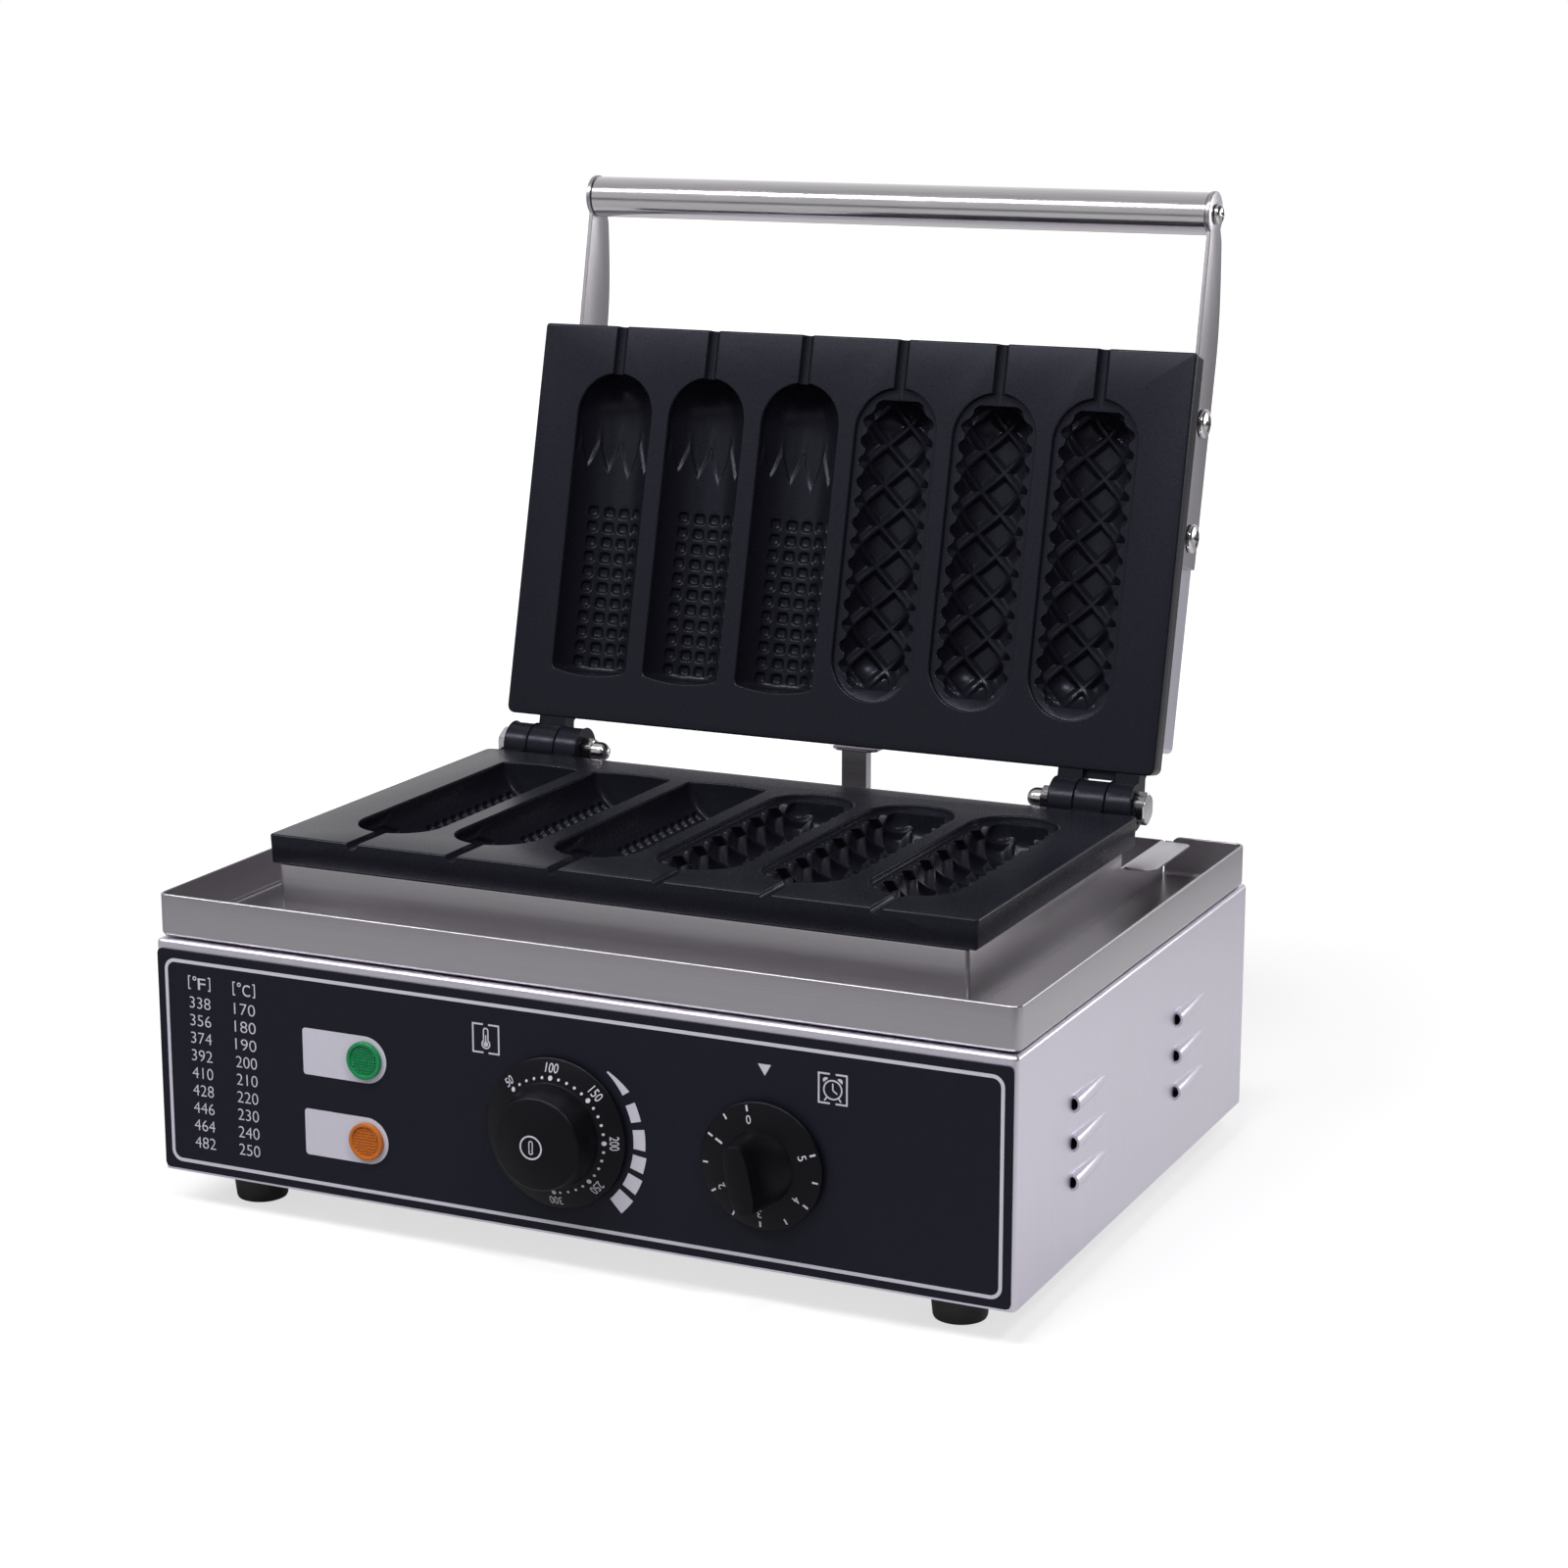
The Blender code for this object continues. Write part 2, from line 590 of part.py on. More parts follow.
def base_shell(base):
    """Folded housing: front, back, sides and top in one, open below, pierced and louvred."""
    bm = bmesh.new()
    folded_cover(bm, BODY_WIDTH, BODY_DEPTH, 0, BODY_HEIGHT, (0, BODY_DEPTH / 2))
    shell = add_object("base_shell", bm, base, steel("housing_steel"))

    bm = bmesh.new()
    louvres(bm, inner=False)
    boolean(shell, add_helper("louvre_hoods", bm, base), "UNION")

    bm = bmesh.new()
    louvres(bm, inner=True)
    front_holes(bm, SHEET + OVERRUN, OVERRUN, BUSHING_RADIUS + HOLE_GAP, LAMP_STEM_RADIUS + HOLE_GAP)
    opening_middle = AXIS_Y - PLATE_MIDDLE
    block(bm, (-TOP_OPENING_WIDTH / 2, opening_middle - TOP_OPENING_DEPTH / 2, BODY_HEIGHT - SHEET - OVERRUN),
          (TOP_OPENING_WIDTH / 2, opening_middle + TOP_OPENING_DEPTH / 2, BODY_HEIGHT + OVERRUN))
    rod(bm, GLAND_RADIUS + HOLE_GAP, (GLAND_X, BODY_DEPTH - SHEET - OVERRUN, GLAND_HEIGHT),
        (GLAND_X, BODY_DEPTH + OVERRUN, GLAND_HEIGHT), ROUND_SIDES)
    boolean(shell, add_helper("shell_openings", bm, base), "DIFFERENCE")


def front_overlay(base):
    """Thin printed sheet on the front face."""
    bm = bmesh.new()
    height = BODY_HEIGHT - OVERLAY_MARGIN - OVERLAY_TOP_MARGIN
    middle = OVERLAY_MARGIN + height / 2
    outline = rounded_rectangle(BODY_WIDTH - 2 * OVERLAY_MARGIN, height, OVERLAY_CORNER_RADIUS)
    back = -GAP
    front = back - OVERLAY_THICKNESS
    prism(bm, outline, lambda x, z: (x, back, middle + z), lambda x, z: (x, front, middle + z))
    sheet = add_object("front_overlay", bm, base, black_plastic("overlay_black"))
    bm = bmesh.new()
    front_holes(bm, OVERRUN, OVERRUN, BUSHING_RADIUS + HOLE_GAP, LAMP_STEM_RADIUS + HOLE_GAP)
    boolean(sheet, add_helper("overlay_openings", bm, base), "DIFFERENCE")


def foot_places():
    for end, y in (("front", FOOT_END_INSET), ("rear", BODY_DEPTH - FOOT_END_INSET)):
        for side, sign in (("left", -1), ("right", 1)):
            yield f"{end}_{side}", sign * (BODY_WIDTH / 2 - FOOT_SIDE_INSET), y


def bottom_cover(base):
    """Bottom plate inside the folded walls, with cooling slots and foot screw holes."""
    bm = bmesh.new()
    inset = SHEET + BOTTOM_GAP
    rings = [rectangle_ring(BODY_WIDTH, BODY_DEPTH, CORNER_RADIUS, inset, height, (0, BODY_DEPTH / 2))
             for height in (0, SHEET)]
    loft(bm, rings)
    plate = add_object("bottom_cover", bm, base, steel("bottom_steel"))
    bm = bmesh.new()
    for side in (-1, 1):
        for row in range(VENT_COUNT):
            x = side * VENT_OFFSET
            y = BODY_DEPTH / 2 + (row - (VENT_COUNT - 1) / 2) * VENT_PITCH
            block(bm, (x - VENT_LENGTH / 2, y - VENT_WIDTH / 2, -OVERRUN),
                  (x + VENT_LENGTH / 2, y + VENT_WIDTH / 2, SHEET + OVERRUN))
    for _, x, y in foot_places():
        rod(bm, FOOT_SCREW_RADIUS + HOLE_GAP, (x, y, -OVERRUN), (x, y, SHEET + OVERRUN), SMALL_SIDES)
    boolean(plate, add_helper("bottom_slots", bm, base), "DIFFERENCE")


def feet(base):
    """Tapered rubber feet, each held by a screw from its recess."""
    for name, x, y in foot_places():
        recess_top = -FOOT_HEIGHT + FOOT_RECESS_DEPTH
        bore = FOOT_SCREW_RADIUS + HOLE_GAP
        bm = bmesh.new()
        profile = ((bore, -GAP), (FOOT_TOP_RADIUS, -GAP), (FOOT_BOTTOM_RADIUS, -FOOT_HEIGHT),
                   (FOOT_RECESS_RADIUS, -FOOT_HEIGHT), (FOOT_RECESS_RADIUS, recess_top),
                   (bore, recess_top))
        ring_turn(bm, profile, ROUND_SIDES)
        add_object("foot_" + name, bm, base, black_rubber("foot_rubber_" + name), (x, y, 0))
        bm = bmesh.new()
        screw(bm, FOOT_SCREW_RADIUS, FOOT_SCREW_LENGTH, FOOT_SCREW_HEAD_RADIUS, FOOT_SCREW_HEAD_HEIGHT)
        add_object("foot_screw_" + name, bm, base, bright_steel("foot_screw_steel_" + name),
                   (x, y, recess_top - GAP), (math.pi, 0, 0))


def ring_turn(bm, profile, sides):
    """Revolve a closed profile that stays clear of the axis, so it makes a ring."""
    rows = []
    for radius, height in profile:
        row = []
        for i in range(sides):
            angle = 2 * math.pi * (i + 0.5) / sides
            row.append(bm.verts.new((radius * math.cos(angle), radius * math.sin(angle), height)))
        rows.append(row)
    for low, high in zip(rows, rows[1:] + rows[:1]):
        for i in range(sides):
            j = (i + 1) % sides
            bm.faces.new((low[i], low[j], high[j], high[i]))


HEAD_CROWN_SHARES = ((1.0, 0.0), (1.0, 0.35), (0.60, 1.0))


def screw(bm, radius, length, head_radius, head_height, sides=SMALL_SIDES):
    """A round-head screw: head above zero, shank below."""
    profile = [(radius, -length), (radius, 0)]
    profile += [(head_radius * r, head_height * h) for r, h in HEAD_CROWN_SHARES]
    turn(bm, profile, sides)


# Drip tray


def drip_tray(base):
    """Folded tray: lip, gutter and the raised chamber that carries the lower plate."""
    middle = (0, TRAY_FRONT + TRAY_DEPTH / 2)
    top = TRAY_BOTTOM + LIP_HEIGHT
    half_bend = LIP_FOLD_RADIUS * (1 - math.cos(math.pi / 4))
    path = ((SHEET + LIP_FOLD_RADIUS, TRAY_FLOOR),
            (SHEET + half_bend, TRAY_FLOOR + half_bend),
            (SHEET, TRAY_FLOOR + LIP_FOLD_RADIUS),
            (SHEET, top), (0, top),
            (0, TRAY_BOTTOM + LIP_FOLD_RADIUS),
            (half_bend, TRAY_BOTTOM + half_bend),
            (LIP_FOLD_RADIUS, TRAY_BOTTOM))
    bm = bmesh.new()
    loft(bm, [rectangle_ring(TRAY_WIDTH, TRAY_DEPTH, LIP_CORNER_RADIUS, inset, height, middle)
              for inset, height in path])
    tray = add_object("drip_tray", bm, base, steel("tray_steel"))

    chamber_depth = CHAMBER_BACK - CHAMBER_FRONT
    chamber_middle = (0, CHAMBER_FRONT + chamber_depth / 2)
    bm = bmesh.new()
    loft(bm, [rectangle_ring(CHAMBER_WIDTH, chamber_depth, CHAMBER_CORNER_RADIUS, 0, height,
                             chamber_middle) for height in (TRAY_FLOOR - SHEET / 2, CHAMBER_TOP)])
    boolean(tray, add_helper("chamber_block", bm, base), "UNION")

    tab_top = TRAY_FLOOR + REAR_WALL_HEIGHT
    bm = bmesh.new()
    for side in (-1, 1):
        inner = CHAMBER_WIDTH / 2 - SHEET
        width = TAB_WIDTH + SHEET
        outline = rounded_rectangle(width, TAB_BACK - TAB_FRONT, TAB_CORNER_RADIUS)
        centre_x = side * (inner + width / 2)
        centre_y = (TAB_FRONT + TAB_BACK) / 2
        outline = [(centre_x + x, centre_y + y) for x, y in outline]
        prism(bm, outline, lambda x, y: (x, y, tab_top - SHEET), lambda x, y: (x, y, tab_top))
    boolean(tray, add_helper("chamber_tabs", bm, base), "UNION")

    inner = CHAMBER_WIDTH / 2 - SHEET
    bm = bmesh.new()
    block(bm, (-inner, CHAMBER_FRONT + SHEET, TRAY_BOTTOM - OVERRUN),
          (inner, BAFFLE_BACK - SHEET, CHAMBER_TOP + OVERRUN))
    block(bm, (-inner, BAFFLE_BACK, TRAY_FLOOR), (inner, CHAMBER_BACK - SHEET, CHAMBER_TOP + OVERRUN))
    notch_outline = [(-NOTCH_HALF_WIDTH, TRAY_FLOOR)]
    for side in (-1, 1):
        arc = []
        for step in range(CORNER_STEPS + 1):
            angle = math.radians(90 * step / CORNER_STEPS)
            x = NOTCH_HALF_WIDTH + NOTCH_CORNER_RADIUS * (1 - math.cos(angle))
            arc.append((side * x, top - NOTCH_CORNER_RADIUS * (1 - math.sin(angle))))
        arc.append((arc[-1][0], top + OVERRUN))
        notch_outline += arc if side < 0 else reversed(arc)
    notch_outline.append((NOTCH_HALF_WIDTH, TRAY_FLOOR))
    tray_back = TRAY_FRONT + TRAY_DEPTH
    prism(bm, notch_outline, lambda x, z: (x, tray_back - SHEET * 2, z),
          lambda x, z: (x, tray_back + OVERRUN, z))
    boolean(tray, add_helper("chamber_hollows", bm, base), "DIFFERENCE")

    bm = bmesh.new()
    block(bm, (-CHAMBER_WIDTH / 2 - BITE, BAFFLE_BACK, tab_top),
          (CHAMBER_WIDTH / 2 + BITE, CHAMBER_BACK + BITE, CHAMBER_TOP + OVERRUN))
    boolean(tray, add_helper("rear_step", bm, base), "DIFFERENCE")


def lid_stop(base):
    """Folded channel behind the plates whose top flange the open lid leans on."""
    corner_height = (PARTING_HEIGHT + HINGE_SETBACK * math.sin(OPEN) + RIM_THICKNESS * math.cos(OPEN))
    top = corner_height - GAP
    foot = TRAY_FLOOR + GAP
    half = STOP_WIDTH / 2
    outline = ((-half, 0), (half, 0), (half, STOP_DEPTH), (half - SHEET, STOP_DEPTH),
               (half - SHEET, SHEET), (SHEET - half, SHEET), (SHEET - half, STOP_DEPTH),
               (-half, STOP_DEPTH))
    outline = [(STOP_CENTRE_X + x, STOP_FRONT + y) for x, y in outline]
    bm = bmesh.new()
    prism(bm, outline, lambda x, y: (x, y, foot), lambda x, y: (x, y, top - SHEET / 2))
    post = add_object("lid_stop", bm, base, steel("stop_steel"))

    half = STOP_TOP_WIDTH / 2
    chamfer = STOP_TOP_CHAMFER
    flange = ((-half + chamfer, 0), (half - chamfer, 0), (half, chamfer), (half, STOP_TOP_DEPTH),
              (-half, STOP_TOP_DEPTH), (-half, chamfer))
    flange = [(STOP_CENTRE_X + x, STOP_FRONT - STOP_TOP_OVERHANG + y) for x, y in flange]
    bm = bmesh.new()
    prism(bm, flange, lambda x, y: (x, y, top - SHEET), lambda x, y: (x, y, top))
    prism(bm, flange, lambda x, y: (x, y, foot), lambda x, y: (x, y, foot + SHEET))
    boolean(post, add_helper("stop_flanges", bm, base), "UNION")


# Mould plates


def mould_section(half_width, depth, wall, angles):
    """Half-round section under the parting face: points from one side to the other."""
    points = []
    for degrees in angles:
        angle = math.radians(degrees)
        points.append((half_width * math.sin(angle), -wall - (depth - wall) * math.cos(angle)))
    return points


def mould_row(bm, centre, tip, along, scale, angles, offset=None, lips=True):
    """Vertices across a corn mould, with one above the parting face at each end if lips are asked.

    along and offset may differ from angle to angle: along is the distance from the tip, and offset
    is how much deeper than the plain wall the point lies.
    """
    alongs = along if isinstance(along, (list, tuple)) else [along] * len(angles)
    offsets = offset or [0] * len(angles)
    row = []
    for degrees, distance, deeper in zip(angles, alongs, offsets):
        point = mould_section(CORN_HALF_WIDTH * scale + deeper, MOULD_DEPTH * scale + deeper,
                              CORN_WALL * scale, (degrees,))[0]
        row.append(bm.verts.new((centre + point[0], tip + distance, point[1])))
    if not lips:
        return row
    half = CORN_HALF_WIDTH * scale + MOULD_DRAFT
    left = bm.verts.new((centre - half, tip + alongs[0], OVERRUN))
    right = bm.verts.new((centre + half, tip + alongs[-1], OVERRUN))
    return [left] + row + [right]


def skin_rows(bm, low, high):
    for i in range(len(low) - 1):
        triangle_pair(bm, low[i], low[i + 1], high[i + 1], high[i])


def zip_rows(bm, low, low_angles, high, high_angles):
    """Join two rows that are divided at different angles."""
    i = j = 0
    while i < len(low) - 1 or j < len(high) - 1:
        low_left = i < len(low) - 1
        high_left = j < len(high) - 1
        if low_left and (not high_left or low_angles[i + 1] <= high_angles[j + 1]):
            bm.faces.new((low[i], low[i + 1], high[j]))
            i += 1
        else:
            bm.faces.new((low[i], high[j + 1], high[j]))
            j += 1


def kernel_pocket(bm, centre, tip, along, degrees, corners):
    """One kernel: a hollow that deepens from the corners of its cell to the middle."""
    x, z = mould_section(CORN_HALF_WIDTH + KERNEL_DEPTH, MOULD_DEPTH + KERNEL_DEPTH, CORN_WALL,
                         (degrees,))[0]
    deepest = bm.verts.new((centre + x, tip + along, z))
    for i in range(len(corners)):
        bm.faces.new((corners[i], corners[(i + 1) % len(corners)], deepest))


def kernel_rows(bm, centre, tip):
    """Rows of kernels between plain flanks. Gives back the first and the last full row."""
    angles = (*FLANK_ANGLES, *KERNEL_ANGLES, *(-degrees for degrees in reversed(FLANK_ANGLES)))
    first, last = (mould_row(bm, centre, tip, KERNEL_START + row * KERNEL_PITCH, 1, angles)
                   for row in (0, KERNEL_ROWS))
    flank = len(FLANK_ANGLES) + 1
    grid = [first[flank:-flank]]
    for row in range(1, KERNEL_ROWS):
        along = KERNEL_START + row * KERNEL_PITCH
        grid.append(mould_row(bm, centre, tip, along, 1, KERNEL_ANGLES, lips=False))
    grid.append(last[flank:-flank])
    for row, (low, high) in enumerate(zip(grid, grid[1:])):
        along = KERNEL_START + (row + 0.5) * KERNEL_PITCH
        for i in range(len(low) - 1):
            degrees = (KERNEL_ANGLES[i] + KERNEL_ANGLES[i + 1]) / 2
            kernel_pocket(bm, centre, tip, along, degrees, (low[i], low[i + 1], high[i + 1], high[i]))
    for start, end, edge in ((first, last, 0), (first[::-1], last[::-1], -1)):
        for i in range(flank - 1):
            bm.faces.new((start[i], start[i + 1], end[i + 1], end[i]))
        bm.faces.new([start[flank - 1]] + [row[edge] for row in grid] + [end[flank - 1]])
    return angles, first, last


def corn_mould(bm, centre):
    """Solid that cuts a corn mould: a round end under pointed leaves, then rows of kernels."""
    tip = -MOULD_TIP
    rows = []
    for degrees in CORN_ROUND_ANGLES:
        angle = math.radians(degrees)
        rows.append(mould_row(bm, centre, tip, CORN_HALF_WIDTH * (1 - math.cos(angle)),
                              math.sin(angle), LEAF_ANGLES))
    rows.append(mould_row(bm, centre, tip, CORN_HALF_WIDTH, 1, LEAF_ANGLES))
    zigzag = [LEAF_TIP if i % 2 == 0 else LEAF_NOTCH for i in range(len(LEAF_ANGLES))]
    step = [0 if abs(degrees) == 90 else LEAF_STEP for degrees in LEAF_ANGLES]
    rows.append(mould_row(bm, centre, tip, zigzag, 1, LEAF_ANGLES, step))
    rows.append(mould_row(bm, centre, tip, [at + LEAF_RUN for at in zigzag], 1, LEAF_ANGLES))
    for low, high in zip(rows, rows[1:]):
        skin_rows(bm, low, high)

    angles, first, last = kernel_rows(bm, centre, tip)
    past_all = 2 * max(LEAF_ANGLES)
    zip_rows(bm, rows[-1], (-past_all, *LEAF_ANGLES, past_all), first, (-past_all, *angles, past_all))
    start = KERNEL_START + KERNEL_ROWS * KERNEL_PITCH
    ends = []
    for along_share, scale_share in CORN_END_SHARES:
        along = start + (MOULD_LENGTH - start) * along_share
        ends.append(mould_row(bm, centre, tip, along, scale_share, angles))
    for low, high in zip([last] + ends, ends):
        skin_rows(bm, low, high)
    every = rows + [first, last] + ends
    bm.faces.new(rows[0])
    bm.faces.new(list(reversed(ends[-1])))
    bm.faces.new([row[0] for row in every] + [row[-1] for row in reversed(every)])


def lattice_point(centre, along, column, radius, scale=1.0):
    """Point on the round trough at a column that counts half-pitch angles from its middle."""
    angle = math.radians(LATTICE_HALF_ANGLE * column)
    return (centre + radius * scale * math.sin(angle), -MOULD_TIP + along,
            -RECESS_DEPTH - radius * scale * math.cos(angle))


def lattice_along(row):
    if row == 0:
        return LATTICE_START
    if row == LATTICE_ROWS:
        return LATTICE_END
    return LATTICE_FIRST_CROSSING + (row - 1) * LATTICE_HALF_PITCH


def lattice_trough(bm, centre):
    """Solid that cuts a trough whose floor is crossed by two sets of slanting ridges."""
    knots = {}
    for row in range(LATTICE_ROWS + 1):
        end = row in (0, LATTICE_ROWS)
        for column in range(-LATTICE_COLUMNS, LATTICE_COLUMNS + 1):
            if (row + column) % 2 == 0:
                continue
            radius = LATTICE_RIDGE_RADIUS + (LATTICE_POCKET_DEPTH if end else 0)
            scale = LATTICE_END_SHARE if end else 1.0
            knots[row, column] = bm.verts.new(
                lattice_point(centre, lattice_along(row), column, radius, scale))
    for row in range(LATTICE_ROWS + 1):
        for column in range(-LATTICE_COLUMNS, LATTICE_COLUMNS + 1):
            if (row + column) % 2:
                continue
            ring = [(row - 1, column), (row, column + 1), (row + 1, column), (row, column - 1)]
            ring = [knot for knot in ring if knot in knots]
            if len(ring) < 3:
                continue
            if row in (0, LATTICE_ROWS):
                bm.faces.new([knots[knot] for knot in ring])
                continue
            middle_column = sum(knot[1] for knot in ring) / len(ring)
            middle_along = sum(lattice_along(knot[0]) for knot in ring) / len(ring)
            if abs(column) > 1:
                deepest = bm.verts.new(lattice_point(centre, middle_along, middle_column,
                                                     LATTICE_RIDGE_RADIUS + LATTICE_POCKET_DEPTH))
                for i in range(len(ring)):
                    bm.faces.new((knots[ring[i]], knots[ring[(i + 1) % len(ring)]], deepest))
                continue
            keep = 1 - LATTICE_WALL_SHARE
            floor = []
            for at_row, at_column in ring:
                along = middle_along + (lattice_along(at_row) - middle_along) * keep
                column_at = middle_column + (at_column - middle_column) * keep
                floor.append(bm.verts.new(lattice_point(
                    centre, along, column_at, LATTICE_RIDGE_RADIUS + LATTICE_POCKET_DEPTH)))
            for i in range(len(ring)):
                j = (i + 1) % len(ring)
                triangle_pair(bm, knots[ring[i]], knots[ring[j]], floor[j], floor[i])
            if len(floor) == 4:
                triangle_pair(bm, *floor)
            else:
                bm.faces.new(floor)
    left = [knots[row, -LATTICE_COLUMNS] for row in range(LATTICE_ROWS + 1)
            if (row, -LATTICE_COLUMNS) in knots]
    right = [knots[row, LATTICE_COLUMNS] for row in range(LATTICE_ROWS + 1)
             if (row, LATTICE_COLUMNS) in knots]
    for i in range(len(left) - 1):
        bm.faces.new((left[i], left[i + 1], right[i + 1], right[i]))
    for row in (0, LATTICE_ROWS):
        end = [knots[row, column] for column in range(-LATTICE_COLUMNS, LATTICE_COLUMNS + 1)
               if (row, column) in knots]
        bm.faces.new(end)


def mould_centres():
    """X of each mould, the corn moulds first from the left."""
    for i in range(MOULD_COUNT):
        yield i < MOULD_COUNT // 2, MOULD_SHIFT + (i - (MOULD_COUNT - 1) / 2) * MOULD_PITCH


def knuckle_outline():
    """Side view of a knuckle and its neck: Y from the axis, Z from the parting face."""
    points = []
    start = 180 + math.degrees(math.asin(NECK_TOP / KNUCKLE_RADIUS))
    for step in range(KNUCKLE_STEPS + 1):
        angle = math.radians(start + (NECK_ANGLE - start) * step / KNUCKLE_STEPS)
        points.append((KNUCKLE_RADIUS * math.cos(angle), KNUCKLE_RADIUS * math.sin(angle)))
    points.append((-HINGE_SETBACK + SHEET, -NECK_WAIST))
    points.append((-HINGE_SETBACK - NECK_DEPTH_IN_PLATE, -NECK_ROOT))
    points.append((-HINGE_SETBACK - NECK_DEPTH_IN_PLATE, -NECK_TOP))
    return points


def knuckle_spans(fork_side):
    """X ranges of a plate's knuckles: a fork on one side and a single one on the other."""
    fork = fork_side * HINGE_HALF_SPACING
    inner = KNUCKLE_CENTRE_WIDTH / 2 + KNUCKLE_GAP
    yield fork - inner - KNUCKLE_OUTER_WIDTH, fork - inner
    yield fork + inner, fork + inner + KNUCKLE_OUTER_WIDTH
    yield -fork - KNUCKLE_CENTRE_WIDTH / 2, -fork + KNUCKLE_CENTRE_WIDTH / 2


def cast_plate(name, parent, fork_side, upper):
    """Mould plate: rim, thick belly, hinge knuckles, and the moulds and stick grooves cut in."""
    def finish(kind, bm):
        if upper:
            flip_up(bm)
        return add_helper(f"{name}_{kind}", bm, parent)

    middle = (0, -PLATE_MIDDLE)
    bm = bmesh.new()
    rim = ((RIM_EDGE, 0), (0, -RIM_EDGE), (RIM_DRAFT, -RIM_THICKNESS))
    loft(bm, [rectangle_ring(PLATE_WIDTH, PLATE_DEPTH, RIM_CORNER_RADIUS, inset, height, middle)
              for inset, height in rim])
    if upper:
        flip_up(bm)
    plate = add_object(name, bm, parent, cast_black(name + "_coating"))

    bm = bmesh.new()
    width = PLATE_WIDTH - 2 * BELLY_SIDE_INSET
    depth = PLATE_DEPTH - 2 * BELLY_END_INSET
    loft(bm, [rectangle_ring(width, depth, BELLY_CORNER_RADIUS, inset, height, middle)
              for inset, height in ((0, -RIM_THICKNESS + BITE), (BELLY_DRAFT, -BELLY_THICKNESS))])
    boolean(plate, finish("belly", bm), "UNION")

    bm = bmesh.new()
    outline = knuckle_outline()
    for low, high in knuckle_spans(fork_side):
        prism(bm, outline, lambda y, z: (low, y, z), lambda y, z: (high, y, z))
    boolean(plate, finish("knuckles", bm), "UNION")

    bm = bmesh.new()
    for side in (-1, 1):
        near = side * (HINGE_HALF_SPACING - KNUCKLE_HALF_SPAN - OVERRUN)
        far = side * (HINGE_HALF_SPACING + KNUCKLE_HALF_SPAN + OVERRUN)
        rod(bm, BOLT_RADIUS + HOLE_GAP, (near, 0, 0), (far, 0, 0), BORE_SIDES)
    for _, centre in mould_centres():
        front = -(HINGE_SETBACK + PLATE_DEPTH + OVERRUN)
        rod(bm, STICK_RADIUS, (centre, front, -STICK_SINK),
            (centre, -MOULD_TIP + OVERRUN, -STICK_SINK), BORE_SIDES)
    boolean(plate, finish("bores", bm), "DIFFERENCE")

    bm = bmesh.new()
    for corn, centre in mould_centres():
        if corn:
            corn_mould(bm, centre)
            continue
        outline = rounded_rectangle(2 * RECESS_HALF_WIDTH, MOULD_LENGTH, RECESS_HALF_WIDTH,
                                    RECESS_END_STEPS)
        at = -MOULD_TIP + MOULD_LENGTH / 2
        inner = 1 - MOULD_DRAFT / RECESS_HALF_WIDTH
        prism(bm, outline, lambda x, y: (centre + x * inner, at + y * inner, -RECESS_DEPTH),
              lambda x, y: (centre + x, at + y, OVERRUN))
    boolean(plate, finish("moulds", bm), "DIFFERENCE")

    bm = bmesh.new()
    for corn, centre in mould_centres():
        if not corn:
            lattice_trough(bm, centre)
    boolean(plate, finish("troughs", bm), "DIFFERENCE")


# Heating elements and their clamps


def tube(name, points, radius, parent, surface, radii=None, resolution=1):
    """A round tube through points, on a straight-sided curve with closed ends."""
    data = bpy.data.curves.new(name, "CURVE")
    data.dimensions = "3D"
    data.bevel_depth = radius
    data.bevel_resolution = resolution
    data.use_fill_caps = True
    data.materials.append(surface)
    spline = data.splines.new("POLY")
    spline.points.add(len(points) - 1)
    for i, point in enumerate(points):
        spline.points[i].co = (*point, 1.0)
        spline.points[i].radius = radii[i] if radii else 1.0
    made = bpy.data.objects.new(name, data)
    bpy.context.collection.objects.link(made)
    made.parent = parent
    return made


def heater_points(level, outward):
    """Serpentine path in the hinge frame: straight legs, half-round bends, ends turned away."""
    bend = HEATER_LEG_PITCH / 2
    reach = HEATER_HALF_WIDTH - bend
    ys = [-PLATE_MIDDLE + (leg - (HEATER_LEGS - 1) / 2) * HEATER_LEG_PITCH for leg in range(HEATER_LEGS)]
    tail = level + outward * HEATER_TAIL
    lean = HEATER_RADIUS * 2
    points = [(reach, ys[0], tail), (reach, ys[0], level + outward * lean), (reach - lean, ys[0], level)]
    side = -1
    for leg in range(HEATER_LEGS - 1):
        for step in range(BEND_STEPS + 1):
            angle = math.radians(-90 + 180 * step / BEND_STEPS)
            points.append((side * (reach + bend * math.cos(angle)),
                           ys[leg] + bend + bend * math.sin(angle), level))
        side = -side
    far = side * reach
    points += [(far - side * lean, ys[-1], level), (far, ys[-1], level + outward * lean),
               (far, ys[-1], tail)]
    return points


def heater(name, parent, outward):
    tube(name, heater_points(outward * HEATER_LEVEL, outward), HEATER_RADIUS, parent,
         steel(name + "_sheath"))


